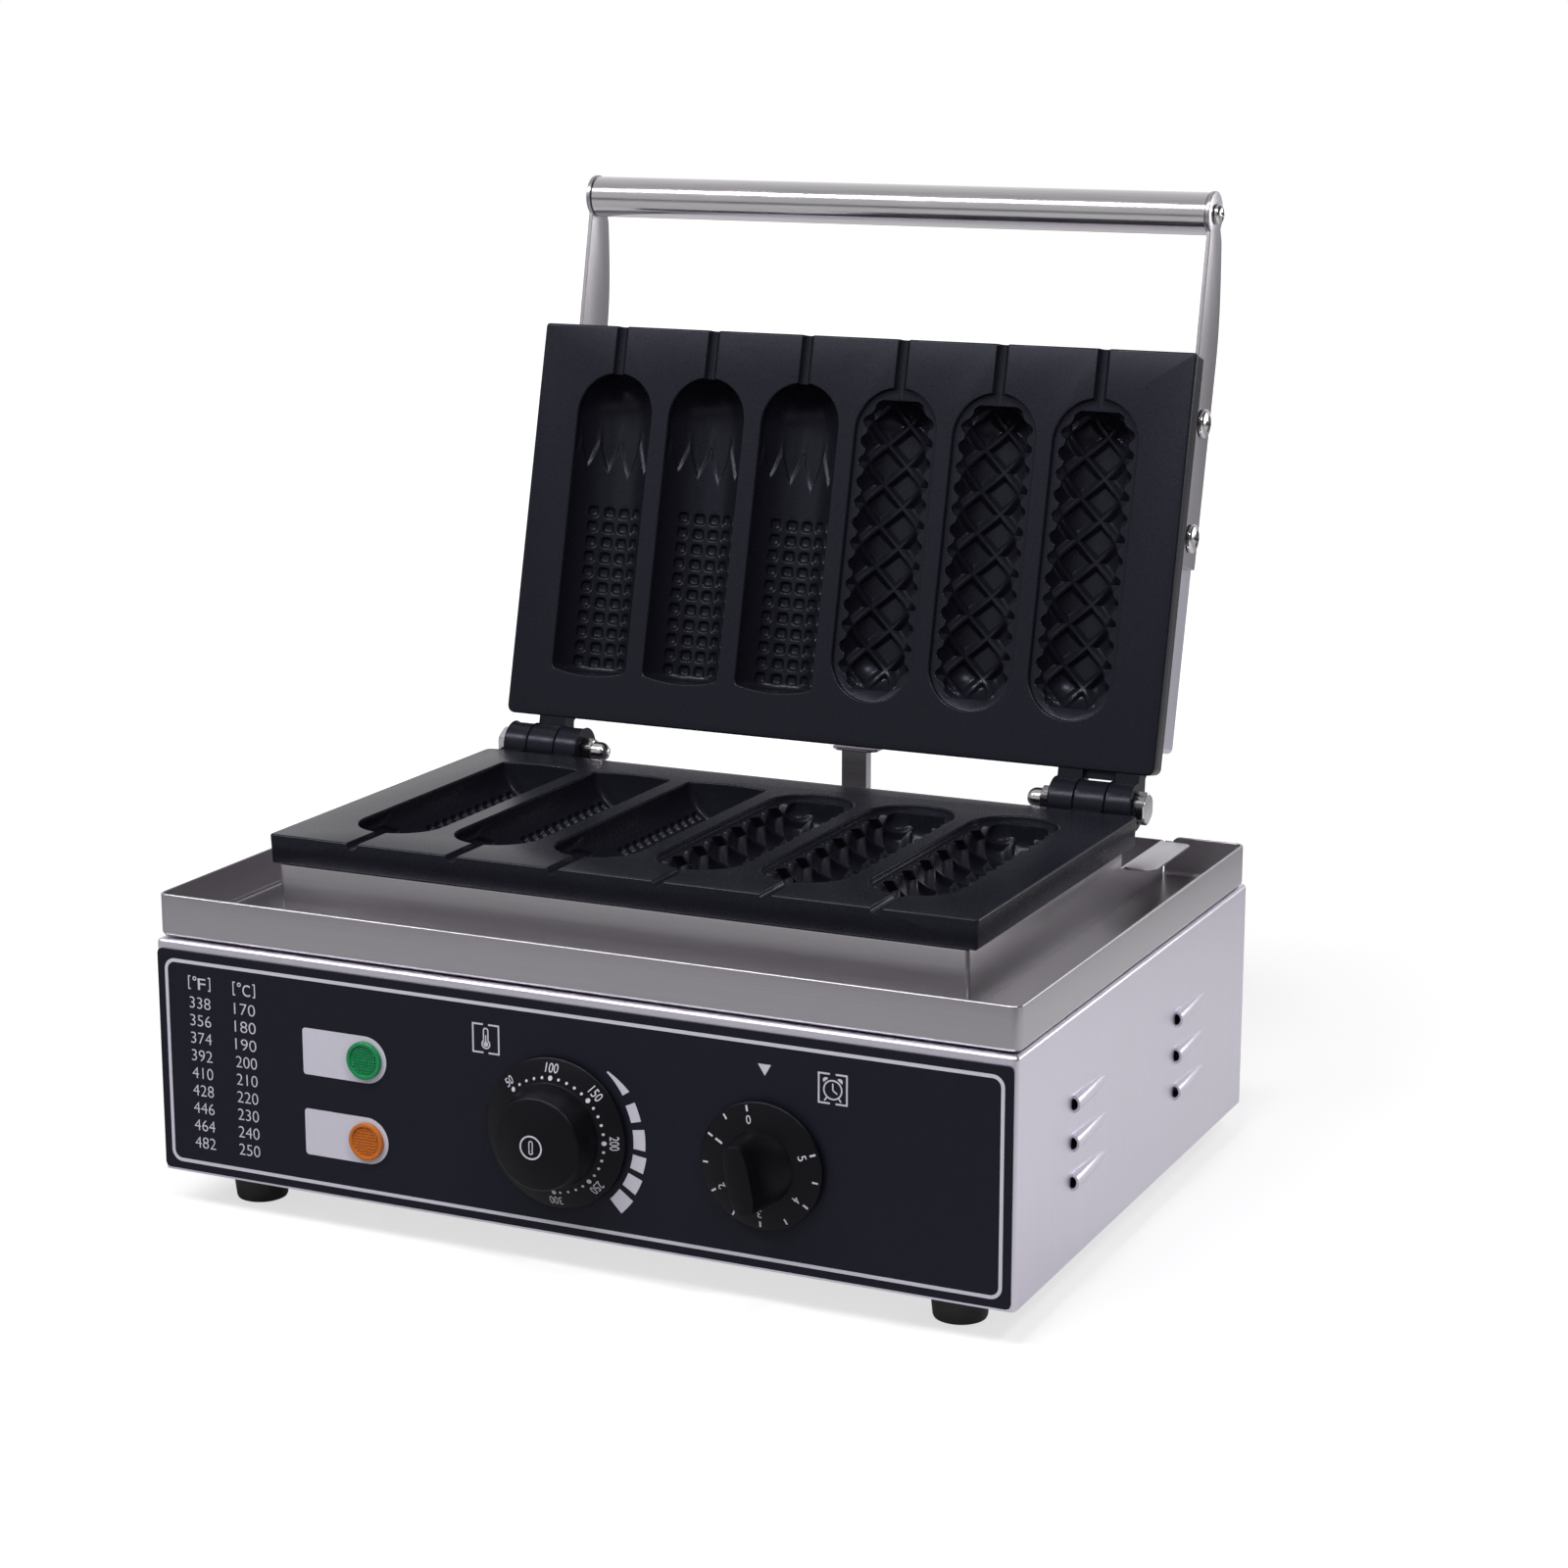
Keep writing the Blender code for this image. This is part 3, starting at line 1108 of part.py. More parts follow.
def heater_clamp(name, parent, outward):
    """Plate that presses the element to the casting, with windows and four seat bosses."""
    near = outward * CLAMP_LEVEL
    far = outward * (CLAMP_LEVEL + CLAMP_THICKNESS)
    seat = outward * (BELLY_THICKNESS + GAP)
    low, high = sorted((near, far))
    bm = bmesh.new()
    block(bm, (-CLAMP_HALF_WIDTH, -PLATE_MIDDLE - CLAMP_HALF_DEPTH, low),
          (CLAMP_HALF_WIDTH, -PLATE_MIDDLE + CLAMP_HALF_DEPTH, high))
    plate = add_object(name, bm, parent, steel(name + "_steel"))
    bm = bmesh.new()
    for x in (-CLAMP_BOSS_X, CLAMP_BOSS_X):
        rod(bm, CLAMP_BOSS_RADIUS, (x, -PLATE_MIDDLE, seat), (x, -PLATE_MIDDLE, (near + far) / 2),
            SMALL_SIDES)
    boolean(plate, add_helper(name + "_bosses", bm, parent), "UNION")
    bm = bmesh.new()
    for row in (-1, 1):
        y = -PLATE_MIDDLE + row * HEATER_LEG_PITCH
        block(bm, (-CLAMP_WINDOW_WIDTH / 2, y - CLAMP_WINDOW_DEPTH / 2, low - BITE),
              (CLAMP_WINDOW_WIDTH / 2, y + CLAMP_WINDOW_DEPTH / 2, high + BITE))
    boolean(plate, add_helper(name + "_windows", bm, parent), "DIFFERENCE")


# Hinge fasteners


HEX_MIDDLES = 6


def hex_ring(flats, height, round_radius=None):
    """Twelve points round a hexagon, its corners and the middles of its flats, or on a circle."""
    ring = []
    for i in range(HEX_MIDDLES * 2):
        angle = math.pi * i / HEX_MIDDLES
        radius = flats / 2 if i % 2 else flats / 2 / math.cos(math.pi / HEX_MIDDLES)
        radius = round_radius or radius
        ring.append((radius * math.cos(angle), radius * math.sin(angle), height))
    return ring


DOME_SHARES = ((0.96, 0.45), (0.62, 0.88), (0.20, 1.0))


def hinge_bolt(name, parent, side):
    """Hexagon bolt through the knuckles, its head on the outer side."""
    length = 2 * KNUCKLE_HALF_SPAN + NUT_THREAD_DEPTH - GAP
    bm = bmesh.new()
    loft(bm, [hex_ring(BOLT_HEAD_FLATS, -length, BOLT_RADIUS), hex_ring(BOLT_HEAD_FLATS, 0, BOLT_RADIUS),
              hex_ring(BOLT_HEAD_FLATS, 0), hex_ring(BOLT_HEAD_FLATS, BOLT_HEAD_HEIGHT - SHEET / 2),
              hex_ring(BOLT_HEAD_FLATS, BOLT_HEAD_HEIGHT, BOLT_HEAD_FLATS / 2)])
    x = side * (HINGE_HALF_SPACING + KNUCKLE_HALF_SPAN + GAP)
    add_object(name, bm, parent, bright_steel(name + "_steel"), (x, 0, 0), (0, side * math.pi / 2, 0))


def hinge_nut(name, parent, side):
    """Domed nut on the inner end of the bolt."""
    bore = BOLT_RADIUS + HOLE_GAP
    bm = bmesh.new()
    dome = NUT_LENGTH - NUT_HEX_LENGTH
    rings = [hex_ring(NUT_FLATS, NUT_THREAD_DEPTH + HOLE_GAP, bore), hex_ring(NUT_FLATS, 0, bore),
             hex_ring(NUT_FLATS, 0), hex_ring(NUT_FLATS, NUT_HEX_LENGTH)]
    rings += [hex_ring(NUT_FLATS, NUT_HEX_LENGTH + dome * along, NUT_DOME_RADIUS * across)
              for across, along in DOME_SHARES]
    loft(bm, rings)
    x = side * (HINGE_HALF_SPACING - KNUCKLE_HALF_SPAN - GAP)
    add_object(name, bm, parent, bright_steel(name + "_steel"), (x, 0, 0), (0, -side * math.pi / 2, 0))


# Lid cover and handle


def lid_cover(lid):
    """Folded cover over the back of the upper plate, open towards the plate."""
    bm = bmesh.new()
    folded_cover(bm, 2 * COVER_HALF_WIDTH, COVER_FAR - COVER_NEAR, RIM_THICKNESS + GAP, COVER_HEIGHT,
                 (0, -(COVER_FAR + COVER_NEAR) / 2))
    cover = add_object("lid_cover", bm, lid, steel("cover_steel"))
    bm = bmesh.new()
    rise = (ARM_FRONT_RISE + ARM_BACK_RISE) / 2
    for side in (-1, 1):
        for reach in ARM_SCREW_REACHES:
            rod(bm, ARM_SCREW_RADIUS + HOLE_GAP,
                (side * (COVER_HALF_WIDTH - SHEET - OVERRUN), -reach, rise),
                (side * (COVER_HALF_WIDTH + OVERRUN), -reach, rise), SMALL_SIDES)
        rod(bm, COVER_SCREW_RADIUS + HOLE_GAP,
            (side * STANDOFF_X, -PLATE_MIDDLE, COVER_HEIGHT - SHEET - OVERRUN),
            (side * STANDOFF_X, -PLATE_MIDDLE, COVER_HEIGHT + OVERRUN), SMALL_SIDES)
    boolean(cover, add_helper("cover_holes", bm, lid), "DIFFERENCE")


def cover_fixings(lid):
    """Posts between the casting and the cover, and the screws that hold the cover to them."""
    foot = BELLY_THICKNESS + GAP
    top = COVER_HEIGHT - SHEET - GAP
    bore = COVER_SCREW_RADIUS + HOLE_GAP
    for side, sign in (("left", -1), ("right", 1)):
        bm = bmesh.new()
        turn(bm, ((STANDOFF_RADIUS, foot), (STANDOFF_RADIUS, top), (bore, top),
                  (bore, top - STANDOFF_THREAD_DEPTH)), SMALL_SIDES)
        place = (sign * STANDOFF_X, -PLATE_MIDDLE, 0)
        add_object("cover_post_" + side, bm, lid, steel("cover_post_steel_" + side), place)
        bm = bmesh.new()
        screw(bm, COVER_SCREW_RADIUS, COVER_SCREW_LENGTH, COVER_SCREW_HEAD_RADIUS,
              COVER_SCREW_HEAD_HEIGHT)
        add_object("cover_screw_" + side, bm, lid, bright_steel("cover_screw_steel_" + side),
                   (place[0], place[1], COVER_HEIGHT + GAP))


def arm_outline():
    """Side view of a handle arm: reach ahead of the hinge axis and rise above the parting face."""
    points = []
    for step in range(CORNER_STEPS + 1):
        angle = math.radians(180 + 90 * step / CORNER_STEPS)
        points.append((ARM_FOOT_REACH + ARM_FOOT_RADIUS * (1 + math.cos(angle)),
                       ARM_FRONT_RISE + ARM_FOOT_RADIUS * (1 + math.sin(angle))))
    for step in range(ARM_HEAD_STEPS + 1):
        angle = math.radians(ARM_HEAD_START + ARM_HEAD_TURN * step / ARM_HEAD_STEPS)
        points.append((HANDLE_REACH + ARM_HEAD_RADIUS * math.cos(angle),
                       HANDLE_RISE + ARM_HEAD_RADIUS * math.sin(angle)))
    for step in range(ARM_FLARE_STEPS + 1):
        share = step / ARM_FLARE_STEPS
        reach = ARM_NECK_REACH + (ARM_FLARE_REACH - ARM_NECK_REACH) * share
        ease = math.sin(share * math.pi / 2)
        points.append((reach, ARM_NECK_RISE + (ARM_BACK_RISE - ARM_NECK_RISE) * ease))
    for step in range(CORNER_STEPS + 1):
        angle = math.radians(90 + 90 * step / CORNER_STEPS)
        points.append((ARM_FOOT_REACH + ARM_FOOT_RADIUS * (1 + math.cos(angle)),
                       ARM_BACK_RISE - ARM_FOOT_RADIUS * (1 - math.sin(angle))))
    return points


def handle_arms(lid):
    rise = (ARM_FRONT_RISE + ARM_BACK_RISE) / 2
    outline = arm_outline()
    for side, sign in (("left", -1), ("right", 1)):
        inner, outer = sign * ARM_INNER_X, sign * ARM_OUTER_X
        bm = bmesh.new()
        prism(bm, outline, lambda reach, z: (inner, -reach, z), lambda reach, z: (outer, -reach, z))
        arm = add_object("handle_arm_" + side, bm, lid, steel("arm_steel_" + side))
        near, far = inner - sign * OVERRUN, outer + sign * OVERRUN
        bm = bmesh.new()
        for reach in ARM_SCREW_REACHES:
            rod(bm, ARM_SCREW_RADIUS + HOLE_GAP, (near, -reach, rise), (far, -reach, rise), SMALL_SIDES)
        rod(bm, HANDLE_SCREW_RADIUS + HOLE_GAP, (near, -HANDLE_REACH, HANDLE_RISE),
            (far, -HANDLE_REACH, HANDLE_RISE), SMALL_SIDES)
        boolean(arm, add_helper(f"arm_{side}_holes", bm, lid), "DIFFERENCE")
        for number, reach in enumerate(ARM_SCREW_REACHES, 1):
            bm = bmesh.new()
            screw(bm, ARM_SCREW_RADIUS, ARM_SCREW_LENGTH, ARM_SCREW_HEAD_RADIUS,
                  ARM_SCREW_HEAD_HEIGHT, HEAD_SIDES)
            add_object(f"arm_screw_{side}_{number}", bm, lid,
                       bright_steel(f"arm_screw_steel_{side}_{number}"),
                       (outer + sign * GAP, -reach, rise), (0, sign * math.pi / 2, 0))


def handle_grip(lid):
    """Tube between the arms, with a threaded plug and a screw at each end."""
    half = ARM_INNER_X - GAP
    bm = bmesh.new()
    ring_turn(bm, ((HANDLE_RADIUS, -half), (HANDLE_RADIUS, half),
                   (HANDLE_RADIUS - HANDLE_WALL, half), (HANDLE_RADIUS - HANDLE_WALL, -half)),
              FINE_SIDES)
    add_object("handle_tube", bm, lid, bright_steel("tube_steel"),
               (0, -HANDLE_REACH, HANDLE_RISE), (0, math.pi / 2, 0))
    bore = HANDLE_SCREW_RADIUS + HOLE_GAP
    plug = HANDLE_RADIUS - HANDLE_WALL - GAP
    for side, sign in (("left", -1), ("right", 1)):
        turned = (0, sign * math.pi / 2, 0)
        bm = bmesh.new()
        ring_turn(bm, ((plug, -INSERT_LENGTH), (plug, 0), (bore, 0), (bore, -INSERT_LENGTH)), SHAFT_SIDES)
        add_object("handle_plug_" + side, bm, lid, steel("plug_steel_" + side),
                   (sign * half, -HANDLE_REACH, HANDLE_RISE), turned)
        bm = bmesh.new()
        screw(bm, HANDLE_SCREW_RADIUS, HANDLE_SCREW_LENGTH, HANDLE_SCREW_HEAD_RADIUS,
              HANDLE_SCREW_HEAD_HEIGHT, HEAD_SIDES)
        add_object("handle_screw_" + side, bm, lid, bright_steel("handle_screw_steel_" + side),
                   (sign * (ARM_OUTER_X + GAP), -HANDLE_REACH, HANDLE_RISE), turned)


# Controls


TIMER_BAR_SHARES = ((0.0, 0.94, 1.0), (0.30, 0.62, 1.0), (0.62, 0.37, 1.0), (0.92, 0.34, 0.97),
                    (1.0, 0.25, 0.90))


def knob_bore(knob, name, axis):
    bm = bmesh.new()
    rod(bm, SHAFT_RADIUS + SHAFT_GAP, (0, 0, -OVERRUN), (0, 0, KNOB_STANDOFF + KNOB_BORE_DEPTH),
        SHAFT_SIDES)
    boolean(knob, add_helper(name + "_bore", bm, axis), "DIFFERENCE")


def temperature_knob(axis):
    """Dial skirt with a round domed grip."""
    bm = bmesh.new()
    edge = (TEMPERATURE_HEIGHT - TEMPERATURE_EDGE_HEIGHT)
    profile = ((TEMPERATURE_SKIRT_RADIUS - SHEET, KNOB_STANDOFF),
               (TEMPERATURE_SKIRT_RADIUS, KNOB_STANDOFF + SHEET),
               (TEMPERATURE_SKIRT_RADIUS, TEMPERATURE_RIM_HEIGHT),
               (TEMPERATURE_DIAL_RADIUS, TEMPERATURE_DIAL_HEIGHT),
               (TEMPERATURE_GRIP_RADIUS, TEMPERATURE_DIAL_HEIGHT + SHEET / 2),
               (TEMPERATURE_FACE_RADIUS, TEMPERATURE_EDGE_HEIGHT),
               (TEMPERATURE_FACE_RADIUS - edge / 2, TEMPERATURE_EDGE_HEIGHT + edge / 2),
               (TEMPERATURE_FACE_RADIUS / 2, TEMPERATURE_HEIGHT))
    turn(bm, profile, FINE_SIDES)
    knob = add_object("temperature_knob", bm, axis, black_plastic("temperature_knob_black"))
    knob_bore(knob, "temperature_knob", axis)


def timer_knob(axis):
    """Dial skirt with a tapered bar grip that leans a little to the left."""
    bm = bmesh.new()
    turn(bm, ((TIMER_SKIRT_RADIUS - SHEET, KNOB_STANDOFF),
              (TIMER_SKIRT_RADIUS, KNOB_STANDOFF + SHEET),
              (TIMER_SKIRT_RADIUS, TIMER_RIM_HEIGHT), (TIMER_HUB_RADIUS, TIMER_DIAL_HEIGHT)),
         FINE_SIDES)
    knob = add_object("timer_knob", bm, axis, black_plastic("timer_knob_black"))
    rise = TIMER_HEIGHT - TIMER_DIAL_HEIGHT
    rings = []
    for up_share, across_share, along_share in TIMER_BAR_SHARES:
        ring = []
        for i in range(ROUND_SIDES):
            angle = 2 * math.pi * (i + 0.5) / ROUND_SIDES
            across = TIMER_HUB_RADIUS * across_share * math.cos(angle)
            along = TIMER_HUB_RADIUS * along_share * math.sin(angle)
            tilt = math.radians(TIMER_BAR_TILT)
            ring.append((across * math.cos(tilt) - along * math.sin(tilt),
                         across * math.sin(tilt) + along * math.cos(tilt),
                         TIMER_DIAL_HEIGHT - BITE * (up_share == 0) + rise * up_share))
        rings.append(ring)
    bm = bmesh.new()
    loft(bm, rings)
    boolean(knob, add_helper("timer_bar", bm, axis), "UNION")
    knob_bore(knob, "timer_knob", axis)


def shaft(name, axis):
    """Control shaft from its seat in the control to the knob."""
    bm = bmesh.new()
    turn(bm, ((SHAFT_RADIUS, -SHEET - SHAFT_SEAT), (SHAFT_RADIUS, KNOB_STANDOFF + KNOB_BORE_DEPTH - GAP)),
         SHAFT_SIDES)
    add_object(name, bm, axis, bright_steel(name + "_steel"))


def control_body(name, axis, width, depth, cap_radius, cap_height, surface):
    """Control behind the panel: a box with a round end, bored for its shaft."""
    front = -(SHEET + GAP)
    bm = bmesh.new()
    outline = rounded_rectangle(width, width, CORNER_RADIUS)
    prism(bm, outline, lambda x, y: (x, y, front - depth), lambda x, y: (x, y, front))
    body = add_object(name, bm, axis, surface)
    bm = bmesh.new()
    rod(bm, cap_radius, (0, 0, front - depth - cap_height), (0, 0, front - depth + BITE), ROUND_SIDES)
    boolean(body, add_helper(name + "_cap", bm, axis), "UNION")
    bm = bmesh.new()
    rod(bm, SHAFT_RADIUS + SHAFT_GAP, (0, 0, front - SHAFT_SEAT), (0, 0, front + OVERRUN), SHAFT_SIDES)
    boolean(body, add_helper(name + "_bore", bm, axis), "DIFFERENCE")


def pilot_lamp(name, base, height, colour):
    """Lens that stands on the overlay, its stem in the hole, and the holder behind."""
    axis = (LAMP_X, 0, height)
    turned = (math.pi / 2, 0, 0)
    face = OVERLAY_THICKNESS + 2 * GAP
    bm = bmesh.new()
    turn(bm, ((LAMP_STEM_RADIUS, -LAMP_STEM_LENGTH), (LAMP_STEM_RADIUS, face),
              (LAMP_HEAD_RADIUS, face), (LAMP_HEAD_RADIUS, face + LAMP_HEAD_HEIGHT / 2),
              (LAMP_HEAD_RADIUS * LAMP_FACE_SHARE, face + LAMP_HEAD_HEIGHT)), ROUND_SIDES)
    add_object(name + "_lens", bm, base, material(name + "_lens_colour", colour, 0.20), axis, turned)
    back = -(SHEET + GAP)
    bore = LAMP_STEM_RADIUS + HOLE_GAP
    bore_end = -LAMP_STEM_LENGTH - HOLE_GAP
    bm = bmesh.new()
    turn(bm, ((LAMP_BODY_RADIUS, back - LAMP_BODY_LENGTH), (LAMP_BODY_RADIUS, back), (bore, back),
              (bore, bore_end)), SHAFT_SIDES)
    add_object(name + "_holder", bm, base, black_plastic(name + "_holder_black"), axis, turned)


def capillary(base):
    """Sensing bulb under the lower plate and the thin tube from it to the thermostat."""
    level = PARTING_HEIGHT - BELLY_THICKNESS - GAP - BULB_RADIUS
    row = AXIS_Y - PLATE_MIDDLE - HEATER_LEG_PITCH
    side = -(CLAMP_HALF_WIDTH + 3 * BULB_RADIUS)
    back = SHEET + GAP + THERMOSTAT_DEPTH + THERMOSTAT_CAP_HEIGHT + GAP
    start = Vector((TEMPERATURE_X, back, CONTROL_HEIGHT))
    inside = CONTROL_HEIGHT + THERMOSTAT_WIDTH / 2
    route = [start + Vector((0, THERMOSTAT_CAP_HEIGHT, 0)),
             Vector((TEMPERATURE_X - THERMOSTAT_WIDTH, back + THERMOSTAT_WIDTH / 2, inside)),
             Vector((side + THERMOSTAT_WIDTH, row, inside + BULB_HALF_LENGTH / 2)),
             Vector((side, row, BODY_HEIGHT)),
             Vector((side, row, level - THERMOSTAT_CAP_HEIGHT)),
             Vector((side + THERMOSTAT_CAP_HEIGHT, row, level)),
             Vector((-BULB_HALF_LENGTH - THERMOSTAT_CAP_HEIGHT, row, level))]
    points = [start] + smooth_path(route, CAPILLARY_STEPS)
    radii = [1.0] * len(points)
    swell = BULB_RADIUS / CAPILLARY_RADIUS
    for x, radius in ((-BULB_HALF_LENGTH, 1.0), (-BULB_HALF_LENGTH + BULB_RADIUS, swell),
                      (BULB_HALF_LENGTH - BULB_RADIUS, swell), (BULB_HALF_LENGTH, 1.0)):
        points.append(Vector((x, row, level)))
        radii.append(radius)
    tube("thermostat_capillary", points, CAPILLARY_RADIUS, base,
         material("capillary_copper", (0.55, 0.27, 0.16), 0.35, 1.0), radii)


def smooth_path(route, steps):
    """Points on a smooth curve through the route's own points."""
    points = []
    for i in range(len(route) - 1):
        before = route[max(i - 1, 0)]
        start, end = route[i], route[i + 1]
        after = route[min(i + 2, len(route) - 1)]
        for step in range(steps):
            t = step / steps
            points.append(0.5 * ((2 * start) + (end - before) * t
                                 + (2 * before - 5 * start + 4 * end - after) * t * t
                                 + (3 * start - before - 3 * end + after) * t * t * t))
    points.append(route[-1])
    return points


def terminal_block(base):
    """Ceramic block on the bottom plate, slotted between its ways."""
    floor = SHEET + GAP
    half = TERMINAL_WIDTH / 2
    slot = TERMINAL_SLOT_WIDTH / 2
    outline = [(-half, 0), (half, 0), (half, TERMINAL_HEIGHT)]
    for centre in (half / 3, -half / 3):
        outline += [(centre + slot, TERMINAL_HEIGHT), (centre + slot, TERMINAL_HEIGHT - TERMINAL_SLOT_DEPTH),
                    (centre - slot, TERMINAL_HEIGHT - TERMINAL_SLOT_DEPTH), (centre - slot, TERMINAL_HEIGHT)]
    outline.append((-half, TERMINAL_HEIGHT))
    bm = bmesh.new()
    prism(bm, outline, lambda x, z: (TERMINAL_X + x, TERMINAL_Y, floor + z),
          lambda x, z: (TERMINAL_X + x, TERMINAL_Y + TERMINAL_DEPTH, floor + z))
    add_object("terminal_block", bm, base, material("ceramic_white", (0.82, 0.80, 0.76), 0.45))


def cable_gland(base):
    """Flanged bush in the back wall where the mains lead enters."""
    bm = bmesh.new()
    profile = ((GLAND_BORE_RADIUS, -SHEET - GLAND_TAIL_LENGTH), (GLAND_RADIUS, -SHEET - GLAND_TAIL_LENGTH),
               (GLAND_RADIUS, GAP), (GLAND_FLANGE_RADIUS, GAP),
               (GLAND_FLANGE_RADIUS, GAP + GLAND_FLANGE_THICKNESS),
               (GLAND_NOSE_RADIUS, GAP + GLAND_FLANGE_THICKNESS),
               (GLAND_NOSE_RADIUS * GLAND_TIP_SHARE, GAP + GLAND_NOSE_LENGTH),
               (GLAND_BORE_RADIUS, GAP + GLAND_NOSE_LENGTH))
    ring_turn(bm, profile, SHAFT_SIDES)
    add_object("cable_gland", bm, base, black_plastic("gland_black"),
               (GLAND_X, BODY_DEPTH, GLAND_HEIGHT), (-math.pi / 2, 0, 0))


def build():
    clear_scene()
    base = empty("base_frame", location=(0, BODY_FRONT_Y, FOOT_HEIGHT))
    lower = empty("lower_hinge_frame", base, (0, AXIS_Y, PARTING_HEIGHT))
    lid = empty("lid_hinge", base, (0, AXIS_Y, PARTING_HEIGHT), (-OPEN, 0, 0))
    forward = (math.pi / 2, 0, 0)
    temperature = empty("temperature_axis", base, (TEMPERATURE_X, 0, CONTROL_HEIGHT), forward)
    timer = empty("timer_axis", base, (TIMER_X, 0, CONTROL_HEIGHT), forward)

    base_shell(base)
    front_overlay(base)
    bottom_cover(base)
    feet(base)
    drip_tray(base)
    lid_stop(base)
    terminal_block(base)
    cable_gland(base)
    capillary(base)
    for name, height, colour in zip(("power_lamp", "heat_lamp"), LAMP_HEIGHTS,
                                    ((0.02, 0.42, 0.12), (0.90, 0.30, 0.03))):
        pilot_lamp(name, base, height, colour)

    cast_plate("lower_plate", lower, -1, upper=False)
    heater("lower_heater", lower, -1)
    heater_clamp("lower_heater_clamp", lower, -1)
    hinge_bolt("hinge_bolt_left", lower, -1)
    hinge_nut("hinge_nut_left", lower, -1)

    cast_plate("upper_plate", lid, 1, upper=True)
    heater("upper_heater", lid, 1)
    heater_clamp("upper_heater_clamp", lid, 1)
    hinge_bolt("hinge_bolt_right", lid, 1)
    hinge_nut("hinge_nut_right", lid, 1)
    lid_cover(lid)
    cover_fixings(lid)
    handle_arms(lid)
    handle_grip(lid)

    temperature_knob(temperature)
    shaft("thermostat_shaft", temperature)
    control_body("thermostat_body", temperature, THERMOSTAT_WIDTH, THERMOSTAT_DEPTH,
                 THERMOSTAT_CAP_RADIUS, THERMOSTAT_CAP_HEIGHT, steel("thermostat_steel"))
    timer_knob(timer)
    shaft("timer_shaft", timer)
    control_body("timer_body", timer, TIMER_BODY_WIDTH, TIMER_BODY_DEPTH, TIMER_BELL_RADIUS,
                 TIMER_BELL_HEIGHT, steel("timer_steel"))


build()
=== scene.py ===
"""Dressed model of a hot dog waffle maker with its lid open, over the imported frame.

Lengths are in millimetres. Each place matrix below turns them into the frame's metres.
"""

import json
import math

import bmesh
import bpy
from mathutils import Matrix, Vector


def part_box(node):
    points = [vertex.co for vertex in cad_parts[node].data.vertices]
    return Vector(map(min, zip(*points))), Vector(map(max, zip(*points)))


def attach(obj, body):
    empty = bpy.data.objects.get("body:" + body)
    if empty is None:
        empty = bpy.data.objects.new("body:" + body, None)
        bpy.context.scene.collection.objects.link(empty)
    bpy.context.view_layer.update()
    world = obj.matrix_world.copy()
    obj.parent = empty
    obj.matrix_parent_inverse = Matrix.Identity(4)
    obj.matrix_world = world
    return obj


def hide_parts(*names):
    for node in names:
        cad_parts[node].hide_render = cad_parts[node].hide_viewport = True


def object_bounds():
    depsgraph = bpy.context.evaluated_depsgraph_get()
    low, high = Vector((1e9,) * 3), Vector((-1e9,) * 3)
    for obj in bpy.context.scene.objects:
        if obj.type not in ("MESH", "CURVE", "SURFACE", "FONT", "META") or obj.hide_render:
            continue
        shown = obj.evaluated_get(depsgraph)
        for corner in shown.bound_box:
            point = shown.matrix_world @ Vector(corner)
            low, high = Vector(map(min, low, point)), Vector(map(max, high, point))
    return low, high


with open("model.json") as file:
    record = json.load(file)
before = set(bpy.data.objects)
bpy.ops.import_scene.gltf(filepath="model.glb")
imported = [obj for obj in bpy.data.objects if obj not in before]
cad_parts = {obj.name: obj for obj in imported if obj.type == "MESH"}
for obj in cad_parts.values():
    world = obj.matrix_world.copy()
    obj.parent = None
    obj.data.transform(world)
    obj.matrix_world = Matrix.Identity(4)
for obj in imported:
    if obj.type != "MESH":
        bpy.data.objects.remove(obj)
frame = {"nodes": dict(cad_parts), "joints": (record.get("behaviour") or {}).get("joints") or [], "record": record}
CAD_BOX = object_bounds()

MM = 0.001
SCALE = Matrix.Diagonal((MM, MM, MM, 1))
OVERRUN = 4.0                   # how far a cutter runs past what it cuts
SHEET = 1.2
GAP = 0.3                       # between pieces that seat on each other
SOFT_EDGE = 0.35                # rounding of a sheet's cut edge or a moulded corner
SMALL_EDGE = 0.3
MERGE = 0.001

# Steps round a curve
ROUND = 96
SMALL_ROUND = 40
CORNER = 8
FOLD = 6
DOME = 8

CORNERS = ((1, 1), (-1, 1), (-1, -1), (1, -1))
SIDES = (("left", -1), ("right", 1))


# Places that follow from the frame


def joint(name):
    return next(made for made in frame["joints"] if made["name"] == name)


def turned_scale(origin, angle=0.0, axis="X"):
    return Matrix.Translation(origin) @ Matrix.Rotation(angle, 4, axis) @ SCALE


HINGE = Vector(joint("lid")["pos_m"])
LEAN = math.radians(joint("lid")["range_deg"][1])
SHELL_LOW, SHELL_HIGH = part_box("base_shell")
BASE = turned_scale((0, SHELL_LOW.y, SHELL_LOW.z))
LID = turned_scale(HINGE, -LEAN)
LOWER = turned_scale(HINGE) @ Matrix.Diagonal((1, 1, -1, 1))
TEMPERATURE_AXIS = turned_scale(joint("temperature_knob")["pos_m"], math.pi / 2)
TIMER_AXIS = turned_scale(joint("timer_knob")["pos_m"], math.pi / 2)


def extent(node, place):
    """Lowest and highest corner of a CAD node, in the millimetres of a place."""
    back = place.inverted()
    points = [back @ vertex.co for vertex in frame["nodes"][node].data.vertices]
    return (Vector([min(point[i] for point in points) for i in range(3)]),
            Vector([max(point[i] for point in points) for i in range(3)]))


def centre_of(low, high):
    return [(a + b) / 2 for a, b in zip(low, high)]


# Surfaces

